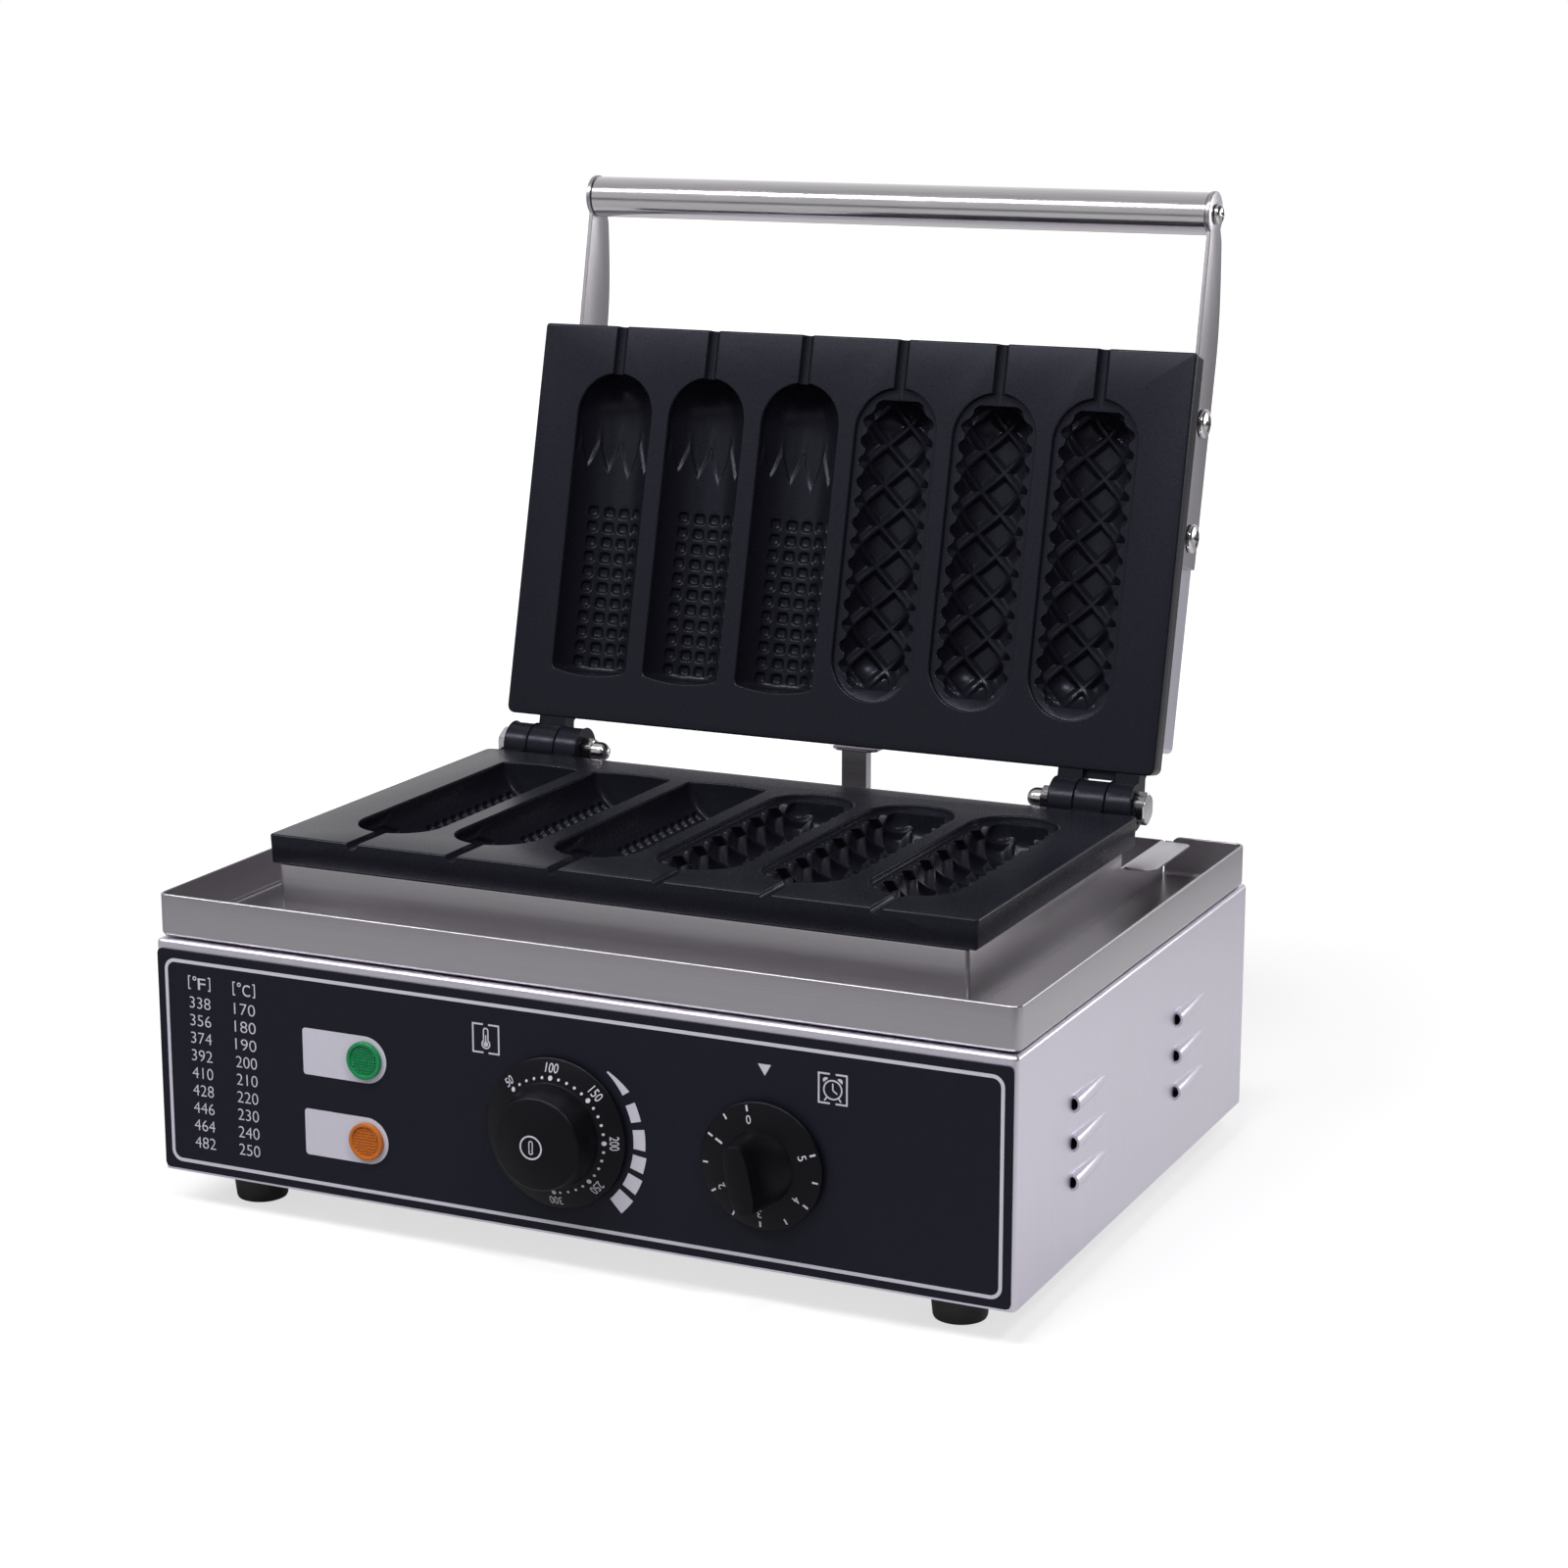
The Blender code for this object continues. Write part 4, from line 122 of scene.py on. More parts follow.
NOISE = {"Scale": 1.0, "Detail": 5.0, "Roughness": 0.6}
NOISE_SPAN = (0.3, 0.7)         # the part of a noise that colours and gloss follow
SIDE_FACE = 0.7                 # share of a normal along X from which a face looks sideways
LEAST_ROUGHNESS = 0.02
BRUSH_GRAIN = (9, 1500, 1500)
UPRIGHT_GRAIN = BRUSH_GRAIN[::-1]


def wire(node, inputs):
    """Link each input that is given a socket, and set each that is given a value."""
    for name, value in dict(inputs).items():
        if isinstance(value, bpy.types.NodeSocket):
            node.id_data.links.new(value, node.inputs[name])
        else:
            node.inputs[name].default_value = value
    return node


def add_node(tree, kind, inputs=(), **settings):
    made = tree.nodes.new("ShaderNode" + kind)
    for name, value in settings.items():
        setattr(made, name, value)
    return wire(made, inputs)


def calculate(tree, operation, *values):
    return add_node(tree, "Math", dict(enumerate(values)), operation=operation).outputs["Value"]


def ranged(tree, value, source, target):
    """Carries a value from one range of numbers to another."""
    made = add_node(tree, "MapRange", {"Value": value, "From Min": source[0], "From Max": source[1],
                                       "To Min": target[0], "To Max": target[1]})
    return made.outputs["Result"]


def principled(material):
    return material.node_tree.nodes["Principled BSDF"]


def surface(name, colour, roughness, metallic=0.0, grain=300, tint=0.05, swing=0.04, bump=0.0,
            depth=0.02, side_grain=None):
    """Principled surface whose colour, gloss and relief follow one stretched noise.

    Where side_grain is given, faces that look along X take that grain instead.
    """
    made = bpy.data.materials.new(name)
    made.use_nodes = True
    tree = made.node_tree
    place = add_node(tree, "TexCoord")

    def noise(scale):
        scale = scale if isinstance(scale, tuple) else (scale, scale, scale)
        mapped = add_node(tree, "Mapping", {"Vector": place.outputs["Object"], "Scale": scale})
        return add_node(tree, "TexNoise", {"Vector": mapped.outputs["Vector"], **NOISE}).outputs["Fac"]

    pattern = noise(grain)
    if side_grain:
        split = add_node(tree, "SeparateXYZ", {"Vector": place.outputs["Normal"]})
        size = calculate(tree, "ABSOLUTE", split.outputs["X"])
        side = calculate(tree, "GREATER_THAN", size, SIDE_FACE)
        choice = add_node(tree, "Mix", {"Factor": side, "A": pattern, "B": noise(side_grain)})
        pattern = choice.outputs["Result"]
    ramp = add_node(tree, "ValToRGB", {"Fac": pattern})
    for element, position, factor in zip(ramp.color_ramp.elements, NOISE_SPAN, (1 - tint, 1 + tint)):
        element.position = position
        element.color = (*(min(1, part * factor) for part in colour), 1)
    gloss = ranged(tree, pattern, NOISE_SPAN, (max(LEAST_ROUGHNESS, roughness - swing), roughness + swing))
    wire(principled(made), {"Metallic": metallic, "Base Color": ramp.outputs["Color"], "Roughness": gloss})
    if bump:
        relief = add_node(tree, "Bump", {"Strength": bump, "Distance": depth * MM, "Height": pattern})
        wire(principled(made), {"Normal": relief.outputs["Normal"]})
    return made


def brushed(name, colour, roughness, bump=0.12):
    """Steel rubbed in one direction: along X, but upright on the faces that look sideways."""
    return surface(name, colour, roughness, 1.0, BRUSH_GRAIN, 0.035, 0.025, bump, 0.010,
                   side_grain=UPRIGHT_GRAIN)


# Steel of the housing and the lid cover: partly its own lavender tone, partly painted light, raised so that the
# housing's sideways faces stay bright
LAVENDER_STEEL_AND_PAINTED_LIGHT = (0.74, 0.71, 0.80)

# Colour, roughness and strength of the brush marks
BRUSHED = {
    "housing_steel": (LAVENDER_STEEL_AND_PAINTED_LIGHT, 0.34),
    "bottom_steel": ((0.50, 0.49, 0.50), 0.42),
    # The tray's steel is darker than the housing's: partly its own tone, partly painted shade on the front of the
    # tray
    "tray_steel": ((0.47, 0.45, 0.475), 0.30, 0.06),
    "cover_steel": (LAVENDER_STEEL_AND_PAINTED_LIGHT, 0.32),
    "bracket_steel": ((0.47, 0.45, 0.48), 0.30),
}

# Colour, roughness, metallic value, grain, then how far colour and gloss swing, and the relief's
# strength and depth
PLAIN = {
    "bright_steel": ((0.72, 0.70, 0.71), 0.16, 1.0, (40, 900, 900), 0.04, 0.03, 0.1, 0.006),
    "overlay_black": ((0.0085, 0.0085, 0.015), 0.38, 0.0, 700, 0.08, 0.03, 0.12, 0.010),
    "plate_coating": ((0.0072, 0.0072, 0.0115), 0.29, 0.0, 1100, 0.16, 0.04, 0.16, 0.018),
    "knob_black": ((0.0030, 0.0030, 0.0040), 0.38, 0.0, 1300, 0.08, 0.04, 0.20, 0.020),
    "plastic_black": ((0.018, 0.018, 0.020), 0.45, 0.0, 900, 0.08, 0.05, 0.2, 0.02),
    "foot_rubber": ((0.012, 0.012, 0.013), 0.62, 0.0, 1200, 0.10, 0.06, 0.3, 0.03),
    "lamp_green": ((0.003, 0.20, 0.065), 0.16, 0.0, 600, 0.10, 0.04, 0.1, 0.01),
    "lamp_amber": ((0.46, 0.12, 0.010), 0.16, 0.0, 600, 0.10, 0.04, 0.1, 0.01),
    "heater_sheath": ((0.30, 0.27, 0.25), 0.48, 1.0, 500, 0.12, 0.08, 0.2, 0.02),
    "copper": ((0.62, 0.30, 0.16), 0.30, 1.0, 700, 0.08, 0.06, 0.1, 0.01),
    "ceramic": ((0.80, 0.78, 0.73), 0.34, 0.0, 500, 0.03, 0.05, 0.1, 0.02),
}
LOOKS = {name: brushed(name, *values) for name, values in BRUSHED.items()}
LOOKS |= {name: surface(name, *values) for name, values in PLAIN.items()}
PRINT = surface("print_white", (0.52, 0.505, 0.58), 0.45, 0.0, 900, 0.02, 0.03)

# Blacks that reflect little, and more of the blue
for name, level, tint in (("overlay_black", 0.15, (0.84, 0.86, 1, 1)),
                          ("plate_coating", 0.21, (0.80, 0.83, 1, 1)),
                          ("knob_black", 0.17, (0.86, 0.86, 1, 1))):
    wire(principled(LOOKS[name]), {"Specular IOR Level": level, "Specular Tint": tint})


# Mesh helpers


def loft(bm, rings, bored=False):
    """Skin rings of equal point counts. Both ends are closed, or the last ring meets the first."""
    rows = [[bm.verts.new(point) for point in ring] for ring in rings]
    for low, high in zip(rows, rows[1:] + rows[:1] if bored else rows[1:]):
        for i in range(len(low)):
            j = (i + 1) % len(low)
            bm.faces.new((low[i], low[j], high[j], high[i]))
    if not bored:
        bm.faces.new(rows[0][::-1])
        bm.faces.new(rows[-1])


def arc(centre, radius, start, end, steps=FOLD):
    """Points of an arc between two angles in degrees."""
    angles = [math.radians(start + (end - start) * step / steps) for step in range(steps + 1)]
    return [(centre[0] + radius * math.cos(a), centre[1] + radius * math.sin(a)) for a in angles]


def quarter(steps, first=0):
    """Sine and cosine of even steps over a quarter turn."""
    angles = [math.pi / 2 * step / steps for step in range(first, steps + 1)]
    return [(math.sin(angle), math.cos(angle)) for angle in angles]


def rounded_rectangle(width, depth, radius, steps=CORNER):
    points = []
    for corner, (sx, sy) in enumerate(CORNERS):
        centre = (sx * (width / 2 - radius), sy * (depth / 2 - radius))
        points += arc(centre, radius, 90 * corner, 90 * corner + 90, steps)
    return points


def rectangle_ring(width, depth, radius, inset, height, centre=(0, 0)):
    outline = rounded_rectangle(width - 2 * inset, depth - 2 * inset, max(radius - inset, radius / 4))
    return [(centre[0] + x, centre[1] + y, height) for x, y in outline]


def block(bm, low, high):
    size = Vector(high) - Vector(low)
    middle = (Vector(high) + Vector(low)) / 2
    bmesh.ops.create_cube(bm, size=1, matrix=Matrix.Translation(middle) @ Matrix.Diagonal((*size, 1)))


def turn(bm, profile, sides=ROUND, matrix=Matrix.Identity(4), bored=False):
    """Revolve radius and height pairs about Z."""
    angles = [2 * math.pi * i / sides for i in range(sides)]
    loft(bm, [[matrix @ Vector((radius * math.cos(a), radius * math.sin(a), height)) for a in angles]
              for radius, height in profile], bored)


def rod(bm, radius, start, end, sides=SMALL_ROUND):
    start, end = Vector(start), Vector(end)
    along = end - start
    matrix = Matrix.Translation(start) @ along.to_track_quat("Z", "Y").to_matrix().to_4x4()
    turn(bm, ((radius, 0), (radius, along.length)), sides, matrix)


def inward(outline, distance):
    """The same outline drawn in by a distance. It runs anticlockwise."""
    drawn = []
    for i, point in enumerate(outline):
        before, after = Vector(outline[i - 1]), Vector(outline[(i + 1) % len(outline)])
        point = Vector(point)
        first, second = (point - before).normalized(), (after - point).normalized()
        normal = Vector((-(first.y + second.y), first.x + second.x))
        normal = normal.normalized() / max(0.5, math.sqrt((1 + first.dot(second)) / 2))
        drawn.append(tuple(point + normal * distance))
    return drawn


def flat(x, y, z):
    return x, y, z


def sideways(y, z, x):
    return x, y, z


def slab(bm, outline, low, high, place=flat, edge=SOFT_EDGE):
    """Extrude an anticlockwise outline, its edges rounded at both ends.

    place turns a point of the outline and a level into a point in space.
    """
    rings = [(edge * (1 - s), low + edge * (1 - c)) for s, c in quarter(3)]
    rings += [(inset, low + high - level) for inset, level in reversed(rings)]
    loft(bm, [[place(x, y, level) for x, y in inward(outline, inset)] for inset, level in rings])


def shape(draw, *values, **options):
    """A mesh under construction that holds what one of the functions draws."""
    bm = bmesh.new()
    draw(bm, *values, **options)
    return bm


def linked(name, data):
    made = bpy.data.objects.new(name, data)
    bpy.context.scene.collection.objects.link(made)
    return made


def new_object(name, bm, place):
    """An object whose mesh is closed, faces outward and is set in the frame's metres."""
    bmesh.ops.recalc_face_normals(bm, faces=bm.faces)
    mesh = bpy.data.meshes.new(name)
    bm.to_mesh(mesh)
    bm.free()
    settle(mesh, place)
    return linked(name, mesh)


def settle(mesh, place):
    mesh.transform(place)
    if place.determinant() < 0:
        mesh.flip_normals()


def finish_piece(made, nodes, look, body="base", angle=30, material=None):
    """Dress a piece, let it ride on a body and let it stand for the CAD nodes that it replaces."""
    mesh = made.data
    mesh.materials.clear()
    mesh.materials.append(material or LOOKS[look])
    mesh.polygons.foreach_set("use_smooth", [True] * len(mesh.polygons))
    mesh.set_sharp_from_angle(angle=math.radians(angle))
    mesh.update()
    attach(made, body)
    if nodes:
        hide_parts(*nodes)


def add(name, bm, place, *finish, **options):
    finish_piece(new_object(name, bm, place), *finish, **options)


def boolean(target, bm, place, operation):
    """Join or cut, then keep the result as the target's own mesh."""
    tool = new_object("tool", bm, place)
    step = target.modifiers.new("step", "BOOLEAN")
    step.object = tool
    step.operation = operation
    step.solver = "MANIFOLD"
    graph = bpy.context.evaluated_depsgraph_get()
    result = bpy.data.meshes.new_from_object(target.evaluated_get(graph))
    target.modifiers.clear()
    old, used = target.data, tool.data
    target.data = result
    bpy.data.objects.remove(tool)
    bpy.data.meshes.remove(old)
    bpy.data.meshes.remove(used)


def ease(low, high, value):
    """Zero below low, one above high, and smooth between."""
    share = min(1.0, max(0.0, (value - low) / (high - low)))
    return share * share * (3 - 2 * share)


def mix(a, b, share):
    return a + (b - a) * share


# Mould plates, drawn as the upper one lies when shut: Y ahead of the hinge is negative, Z goes
# up into the casting and the face is at zero

PLATE_LOW, PLATE_HIGH = extent("lower_plate", LOWER)
SETBACK = 14.2                  # from the hinge axis to the near edge of the casting
PLATE_WIDTH = PLATE_HIGH.x - PLATE_LOW.x
PLATE_DEPTH = -PLATE_LOW.y - SETBACK
PLATE_CORNERS = {1: 3.6, -1: 1.7}   # beside the hinge and at the free edge
PLATE_EDGE = 0.9
LEAST_CORNER = 0.5
FACE_GAP = 0.05                 # from each face to the plane where the shut plates meet
RIM = 12.7
RIM_BACK = ((0.6, 0.8), (0.85, 0.25), (1.4, 0.0))       # inset, and level below the rim's back
BELLY = PLATE_HIGH.z
BELLY_INSET = (11.0, 12.8)
BELLY_CORNER = 6.0
BELLY_FOOT = ((-1.6, 0.0), (-0.5, 0.4), (0.0, 1.6))     # inset, and level above the rim's back
BELLY_HEAD = ((1.0, 1.0), (1.4, 0.3), (2.2, 0.0))       # inset, and level below the belly's back
MOULDS = 6
MOULD_PITCH = 47.7
MOULD_SHIFT = -0.8
MOULD_LENGTH = 142.0
TIP_MARGIN = 22.3               # from the free edge to the moulds' tips
TIP = SETBACK + PLATE_DEPTH - TIP_MARGIN
LIP = 0.7
LIP_ANGLE = 80.0                # where a lip's rounding starts, from its wall
CUTTER_RISE = 1.5               # how far a cutter stands over the face
PLATE_SHARP = 28                # degrees between faces from which a plate's edge is sharp
STICK_HALF_WIDTH = 2.7
STICK_DEPTH = 3.0
STICK_LIP = 0.5
STICK_STEPS = 12


def mould_centres():
    for i in range(MOULDS):
        yield i < MOULDS // 2, MOULD_SHIFT + (i - (MOULDS - 1) / 2) * MOULD_PITCH


def lip_profile(radius, steps=4):
    """How far out and how deep a rounded lip runs, from over the face down to the wall."""
    points = []
    for step in range(steps + 1):
        angle = math.radians(LIP_ANGLE * (1 - step / steps))
        points.append((radius * (1 - math.cos(angle)), radius * (1 - math.sin(angle))))
    return [(points[0][0], -CUTTER_RISE)] + points


def skin_grid(bm, rows):
    """Triangles between rows of points, split along the flatter diagonal, under a closed top."""
    made = [[bm.verts.new(point) for point in row] for row in rows]
    for low, high in zip(made, made[1:]):
        for a, b, c, d in zip(low, low[1:], high[1:], high):
            if (a.co - c.co).length < (b.co - d.co).length:
                bm.faces.new((a, b, c))
                bm.faces.new((a, c, d))
            else:
                bm.faces.new((a, b, d))
                bm.faces.new((b, c, d))
        bm.faces.new((low[-1], low[0], high[0], high[-1]))
    bmesh.ops.remove_doubles(bm, verts=bm.verts, dist=MERGE)


def mould_row(centre, inner, outward, lip, level):
    """One row of a mould's cutting surface: lip, inner points and lip again.

    inner gives X, the way along the mould and the depth; outward is the lip's direction in plan.
    """
    half, along, _ = inner[-1]

    def lips(side, profile):
        return [(centre + side * half + side * out * outward[0], -TIP + along + out * outward[1],
                 level + depth) for out, depth in profile]

    return lips(-1, lip) + [(centre + x, -TIP + at, z) for x, at, z in inner] + lips(1, lip[::-1])


# Corn moulds

CORN_HALF = 19.3
CORN_DEPTH = 20.0
CORN_WALL = 1.3
CORN_STEPS = 14
CORN_END_RADIUS = 2.6
CORN_END_STEPS = 5
CORN_END_FLARE = 0.2
CORN_BULGE = 2.0
LEAF_TIPS = {0: 50.0, 30: 46.5, 60: 45.0, 90: 44.0}     # reach of a leaf's tip by its angle
LEAF_NOTCH = 33.0
LEAF_CURVE = 1.15               # power that bows a leaf's edge
LEAF_STEP = 0.85
LEAF_RUN = 5.5                  # along the mould, from a leaf's floor up to the bare cob
LEAF_HALF_ANGLE = 15.0
LEAF_FLANK = (80, 89)           # angles over which the leaves fade out under the face
LEAF_START = 8                  # way from the tip over which the leaves set in
SEAM = 0.35                     # how far the seam between two leaves stands up, as a share of the step
SEAM_START = 20
SEAM_ANGLE = 3.0
SEAM_SHARES = (0.0, 0.5, 1.0, 1.7)
HUSK_END = 59.0
FLOOR_SHARES = (0.2, 0.4, 0.6, 0.8, 0.93, 1.0)
RUN_SHARES = (0.15, 0.35, 0.6, 0.8, 0.93, 1.0)
COB_SHARES = (0.12, 0.35, 0.65, 1.0)
KERNEL_FIRST = 64.0
KERNEL_PITCH = 7.13
KERNEL_COUNT = 11
KERNEL_COLUMNS = (-43.5, -21.0, 0.0, 21.0, 43.5)
KERNEL_HALF_LENGTH = 2.95
KERNEL_HALF_ANGLE = 8.8
KERNEL_DEPTH = 1.5
KERNEL_POWER = 4                # squareness of a pocket
KERNEL_FLOOR = 0.46             # share of a pocket's half size that its floor takes
KERNEL_SHARES = (0.0, 0.40, 0.55, 0.68, 0.80, 0.91, 1.0)
FLANK_ANGLES = (53.0, 56.5, 64.0, 68.0, 71.0, 80.0, 84.0, 87.0)
ANGLE_SPACING = 0.45


def corn_angles():
    """Angles round a corn mould's section, closer where kernels and seams need them."""
    angles = {0.0, 90.0, *FLANK_ANGLES} | {float(tip) for tip in LEAF_TIPS}
    for side in (-1, 1):
        angles |= {abs(column + side * share * KERNEL_HALF_ANGLE)
                   for column in KERNEL_COLUMNS for share in KERNEL_SHARES}
        angles |= {tip + LEAF_HALF_ANGLE + side * away * SEAM_ANGLE
                   for tip in LEAF_TIPS if tip < 90 for away in SEAM_SHARES}
    kept = []
    for angle in sorted(angles):
        if not kept or angle - kept[-1] > ANGLE_SPACING:
            kept.append(angle)
    return [-angle for angle in reversed(kept[1:])] + kept


def leaf_edge(angle):
    """How far from the tip the husk leaf over this angle reaches."""
    nearest = round(angle / (2 * LEAF_HALF_ANGLE)) * 2 * LEAF_HALF_ANGLE
    away = abs(angle - nearest) / LEAF_HALF_ANGLE
    return mix(LEAF_TIPS[abs(round(nearest))], LEAF_NOTCH, away ** LEAF_CURVE)


def husk_offset(angle, along):
    """Depth of the husk below the plain wall, less the thin ridges between its leaves."""
    flank = 1 - ease(*LEAF_FLANK, abs(angle))
    notch = LEAF_HALF_ANGLE * (2 * math.floor(angle / (2 * LEAF_HALF_ANGLE)) + 1)
    near = math.exp(-((angle - notch) / SEAM_ANGLE) ** 2)
    return LEAF_STEP * flank * (1 - SEAM * near * ease(SEAM_START, LEAF_NOTCH, along))


def kernel_offset(angle, along):
    """Depth of the kernel pockets below the plain wall."""
    row = round((along - KERNEL_FIRST) / KERNEL_PITCH)
    if not 0 <= row < KERNEL_COUNT:
        return 0.0
    column = min(KERNEL_COLUMNS, key=lambda middle: abs(angle - middle))
    across = abs(angle - column) / KERNEL_HALF_ANGLE
    length = abs(along - KERNEL_FIRST - row * KERNEL_PITCH) / KERNEL_HALF_LENGTH
    reach = (across ** KERNEL_POWER + length ** KERNEL_POWER) ** (1 / KERNEL_POWER)
    return KERNEL_DEPTH * (1 - ease(KERNEL_FLOOR, 1.0, reach))


def corn_cutter(bm, centre):
    """A round end under pointed leaves, then rows of kernels and a nearly flat end."""
    angles = corn_angles()
    lip = lip_profile(LIP)
    rows = []

    def row(alongs, share=1, outward=(1, 0), offset=None):
        if not isinstance(alongs, list):
            alongs = [alongs] * len(angles)
        inner = []
        for angle, along in zip(angles, alongs):
            deeper = offset(angle, along) if offset else 0.0
            turned = math.radians(angle)
            inner.append(((CORN_HALF + deeper) * share * math.sin(turned), along,
                          CORN_WALL + (CORN_DEPTH - CORN_WALL + deeper) * share * math.cos(turned)))
        rows.append(mould_row(centre, inner, outward, lip, 0.0))

    for s, c in quarter(CORN_STEPS):
        row(CORN_HALF * (1 - c), s, (s, -c),
            lambda angle, along: husk_offset(angle, along) * ease(0, LEAF_START, along))
    edge = [leaf_edge(angle) for angle in angles]
    start = [at - LEAF_RUN for at in edge]
    for share in FLOOR_SHARES:
        row([mix(CORN_HALF, at, share) for at in start], offset=husk_offset)
    for share in RUN_SHARES:
        left = 1 - ease(0, 1, share)
        row([at + LEAF_RUN * share for at in start],
            offset=lambda angle, along: husk_offset(angle, along) * left)
    for share in COB_SHARES:
        row([mix(at, HUSK_END, share) for at in edge])
    for kernel in range(KERNEL_COUNT):
        middle = KERNEL_FIRST + kernel * KERNEL_PITCH
        for share in [-s for s in reversed(KERNEL_SHARES[1:])] + list(KERNEL_SHARES):
            row(middle + share * KERNEL_HALF_LENGTH, offset=kernel_offset)
    end = MOULD_LENGTH - CORN_BULGE
    for s, c in quarter(CORN_END_STEPS):
        row(end - CORN_END_RADIUS * (1 - s), (CORN_HALF - CORN_END_RADIUS * (1 - c)) / CORN_HALF, (c, s))
    corner = 1 - CORN_END_RADIUS / CORN_HALF
    for step in range(CORN_END_STEPS, -1, -1):
        share = corner * step / (CORN_END_STEPS + 1)
        row(MOULD_LENGTH - CORN_BULGE * (share / corner) ** 2, share,
            (CORN_END_FLARE * step / CORN_END_STEPS, 1))
    skin_grid(bm, rows)


# Lattice moulds

RECESS_HALF = 19.8
RECESS_DEPTH = 2.6
RECESS_FOOT = ((0.0, 0.5), (0.15, 0.15), (0.5, 0.0))    # inset, and level above the floor
RECESS_STEPS = 16
RECESS_FLAT = 0.01              # half the straight run across a recess's round end
TROUGH_START = 5.4
TROUGH_END = 136.6
TROUGH_MARGIN = 0.2
RIDGE_RADIUS = 14.8
POCKET_DEPTH = 2.8
RIDGE_TOP = 0.07                # shares of the way from a ridge line to the middle of a pocket
RIDGE_FOOT = 0.41
FIRST_CROSSING = 14.9
HALF_PITCH = 9.32
HALF_PITCHES = (-2, 14)         # reach of the grid from the first crossing
HALF_PITCH_ANGLE = 36.0
TROUGH_ROUND = 15.0             # over which each end of a trough draws in
TROUGH_END_ROUND = 13.0         # of which this much is used before the flat end
TROUGH_END_RINGS = 3
TROUGH_END_FLARE = 0.07
TROUGH_LIP = 0.3
TROUGH_CUTTER_RISE = 0.6
GRID = 12


def ridge_distance(along, angle):
    """0 on a ridge line and 1 in the middle of a pocket."""
    u = (along - FIRST_CROSSING) / HALF_PITCH
    v = angle / HALF_PITCH_ANGLE
    return min(abs((u + v + 1) % 2 - 1), abs((u - v + 1) % 2 - 1))


def trough_share(along):
    """How far the trough keeps its full section near its ends."""
    away = max(TROUGH_START + TROUGH_END_ROUND - along, along - (TROUGH_END - TROUGH_END_ROUND), 0)
    return math.sqrt(max(0.0, 1 - (away / TROUGH_ROUND) ** 2))


def recess_cutter(bm, centre):
    """The shallow recess with round ends."""
    middle = -TIP + MOULD_LENGTH / 2
    rings = []
    for out, depth in lip_profile(LIP) + [(-inset, RECESS_DEPTH - up) for inset, up in RECESS_FOOT]:
        half = RECESS_HALF + out
        outline = rounded_rectangle(2 * half, MOULD_LENGTH + 2 * out, half - RECESS_FLAT, RECESS_STEPS)
        rings.append([(centre + x, middle + y, depth) for x, y in outline])
    loft(bm, rings)


def trough_cutter(bm, centre):
    """The trough in a recess's floor, crossed by slanting ridges."""
    limit = int(90 / HALF_PITCH_ANGLE * GRID)
    angles = [-90.0] + [HALF_PITCH_ANGLE * i / GRID for i in range(-limit, limit + 1)] + [90.0]
    lip = [(TROUGH_LIP, -TROUGH_CUTTER_RISE)] + lip_profile(TROUGH_LIP, 2)[1:]

    def row(along, share, outward):
        inner = []
        for angle in angles:
            pocket = ease(RIDGE_TOP, RIDGE_FOOT, ridge_distance(along, angle))
            radius = (RIDGE_RADIUS + POCKET_DEPTH * pocket) * share
            turned = math.radians(angle)
            inner.append((radius * math.sin(turned), along,
                          RECESS_DEPTH + TROUGH_LIP + radius * math.cos(turned)))
        return mould_row(centre, inner, outward, lip, RECESS_DEPTH)

    def end_rows(along, side):
        return [row(along, trough_share(along) * i / TROUGH_END_RINGS, (TROUGH_END_FLARE * i, side))
                for i in range(TROUGH_END_RINGS)]

    first, last = HALF_PITCHES
    alongs = [FIRST_CROSSING + HALF_PITCH * i / GRID for i in range(GRID * first, GRID * last)]
    alongs = [a for a in alongs if TROUGH_START + TROUGH_MARGIN < a < TROUGH_END - TROUGH_MARGIN]
    rows = end_rows(TROUGH_START, -1)
    for along in [TROUGH_START] + alongs + [TROUGH_END]:
        share = trough_share(along)
        lean = math.sqrt(1 - share ** 2) * (-1 if along < MOULD_LENGTH / 2 else 1)
        rows.append(row(along, share, (share, lean)))
    skin_grid(bm, rows + end_rows(TROUGH_END, 1)[::-1])


def stick_cutter(bm, centre):
    """The groove that holds a stick, from the free edge into the mould's tip."""
    lip = lip_profile(STICK_LIP)
    section = [(-STICK_HALF_WIDTH - out, depth) for out, depth in lip]
    centre_depth = STICK_DEPTH - STICK_HALF_WIDTH
    for step in range(1, STICK_STEPS):
        angle = math.pi * step / STICK_STEPS
        section.append((-STICK_HALF_WIDTH * math.cos(angle),
                        max(STICK_LIP, centre_depth + STICK_HALF_WIDTH * math.sin(angle))))
    section += [(STICK_HALF_WIDTH + out, depth) for out, depth in reversed(lip)]
    ends = (-(SETBACK + PLATE_DEPTH + OVERRUN), -TIP + OVERRUN)
    loft(bm, [[(centre + x, y, depth) for x, depth in section] for y in ends])


# Hinge

HINGE_X = 136.0
KNUCKLE_RADIUS = 10.0
KNUCKLE_WIDTH = 11.5
KNUCKLE_MIDDLE = 14.0
KNUCKLE_GAP = 0.4
KNUCKLE_END_ANGLE = 112
KNUCKLE_EDGE = 0.6
HINGE_HALF_SPAN = KNUCKLE_MIDDLE / 2 + KNUCKLE_GAP + KNUCKLE_WIDTH
NECK_TOP = 0.6
NECK_ROOT = 11.0
NECK_WAIST = 7.8
NECK_BITE = 3.0                 # how far a neck runs into the casting
WEB_REACH = 10.6                # from the axis to the web that joins the two cheeks of the fork
WEB_FOOT = 2.4
WEB_CHAMFER = (0.8, 1.0)
WEB_BITE = 1.5
BOLT_RADIUS = 3.0
BOLT_BORE = BOLT_RADIUS + 0.4


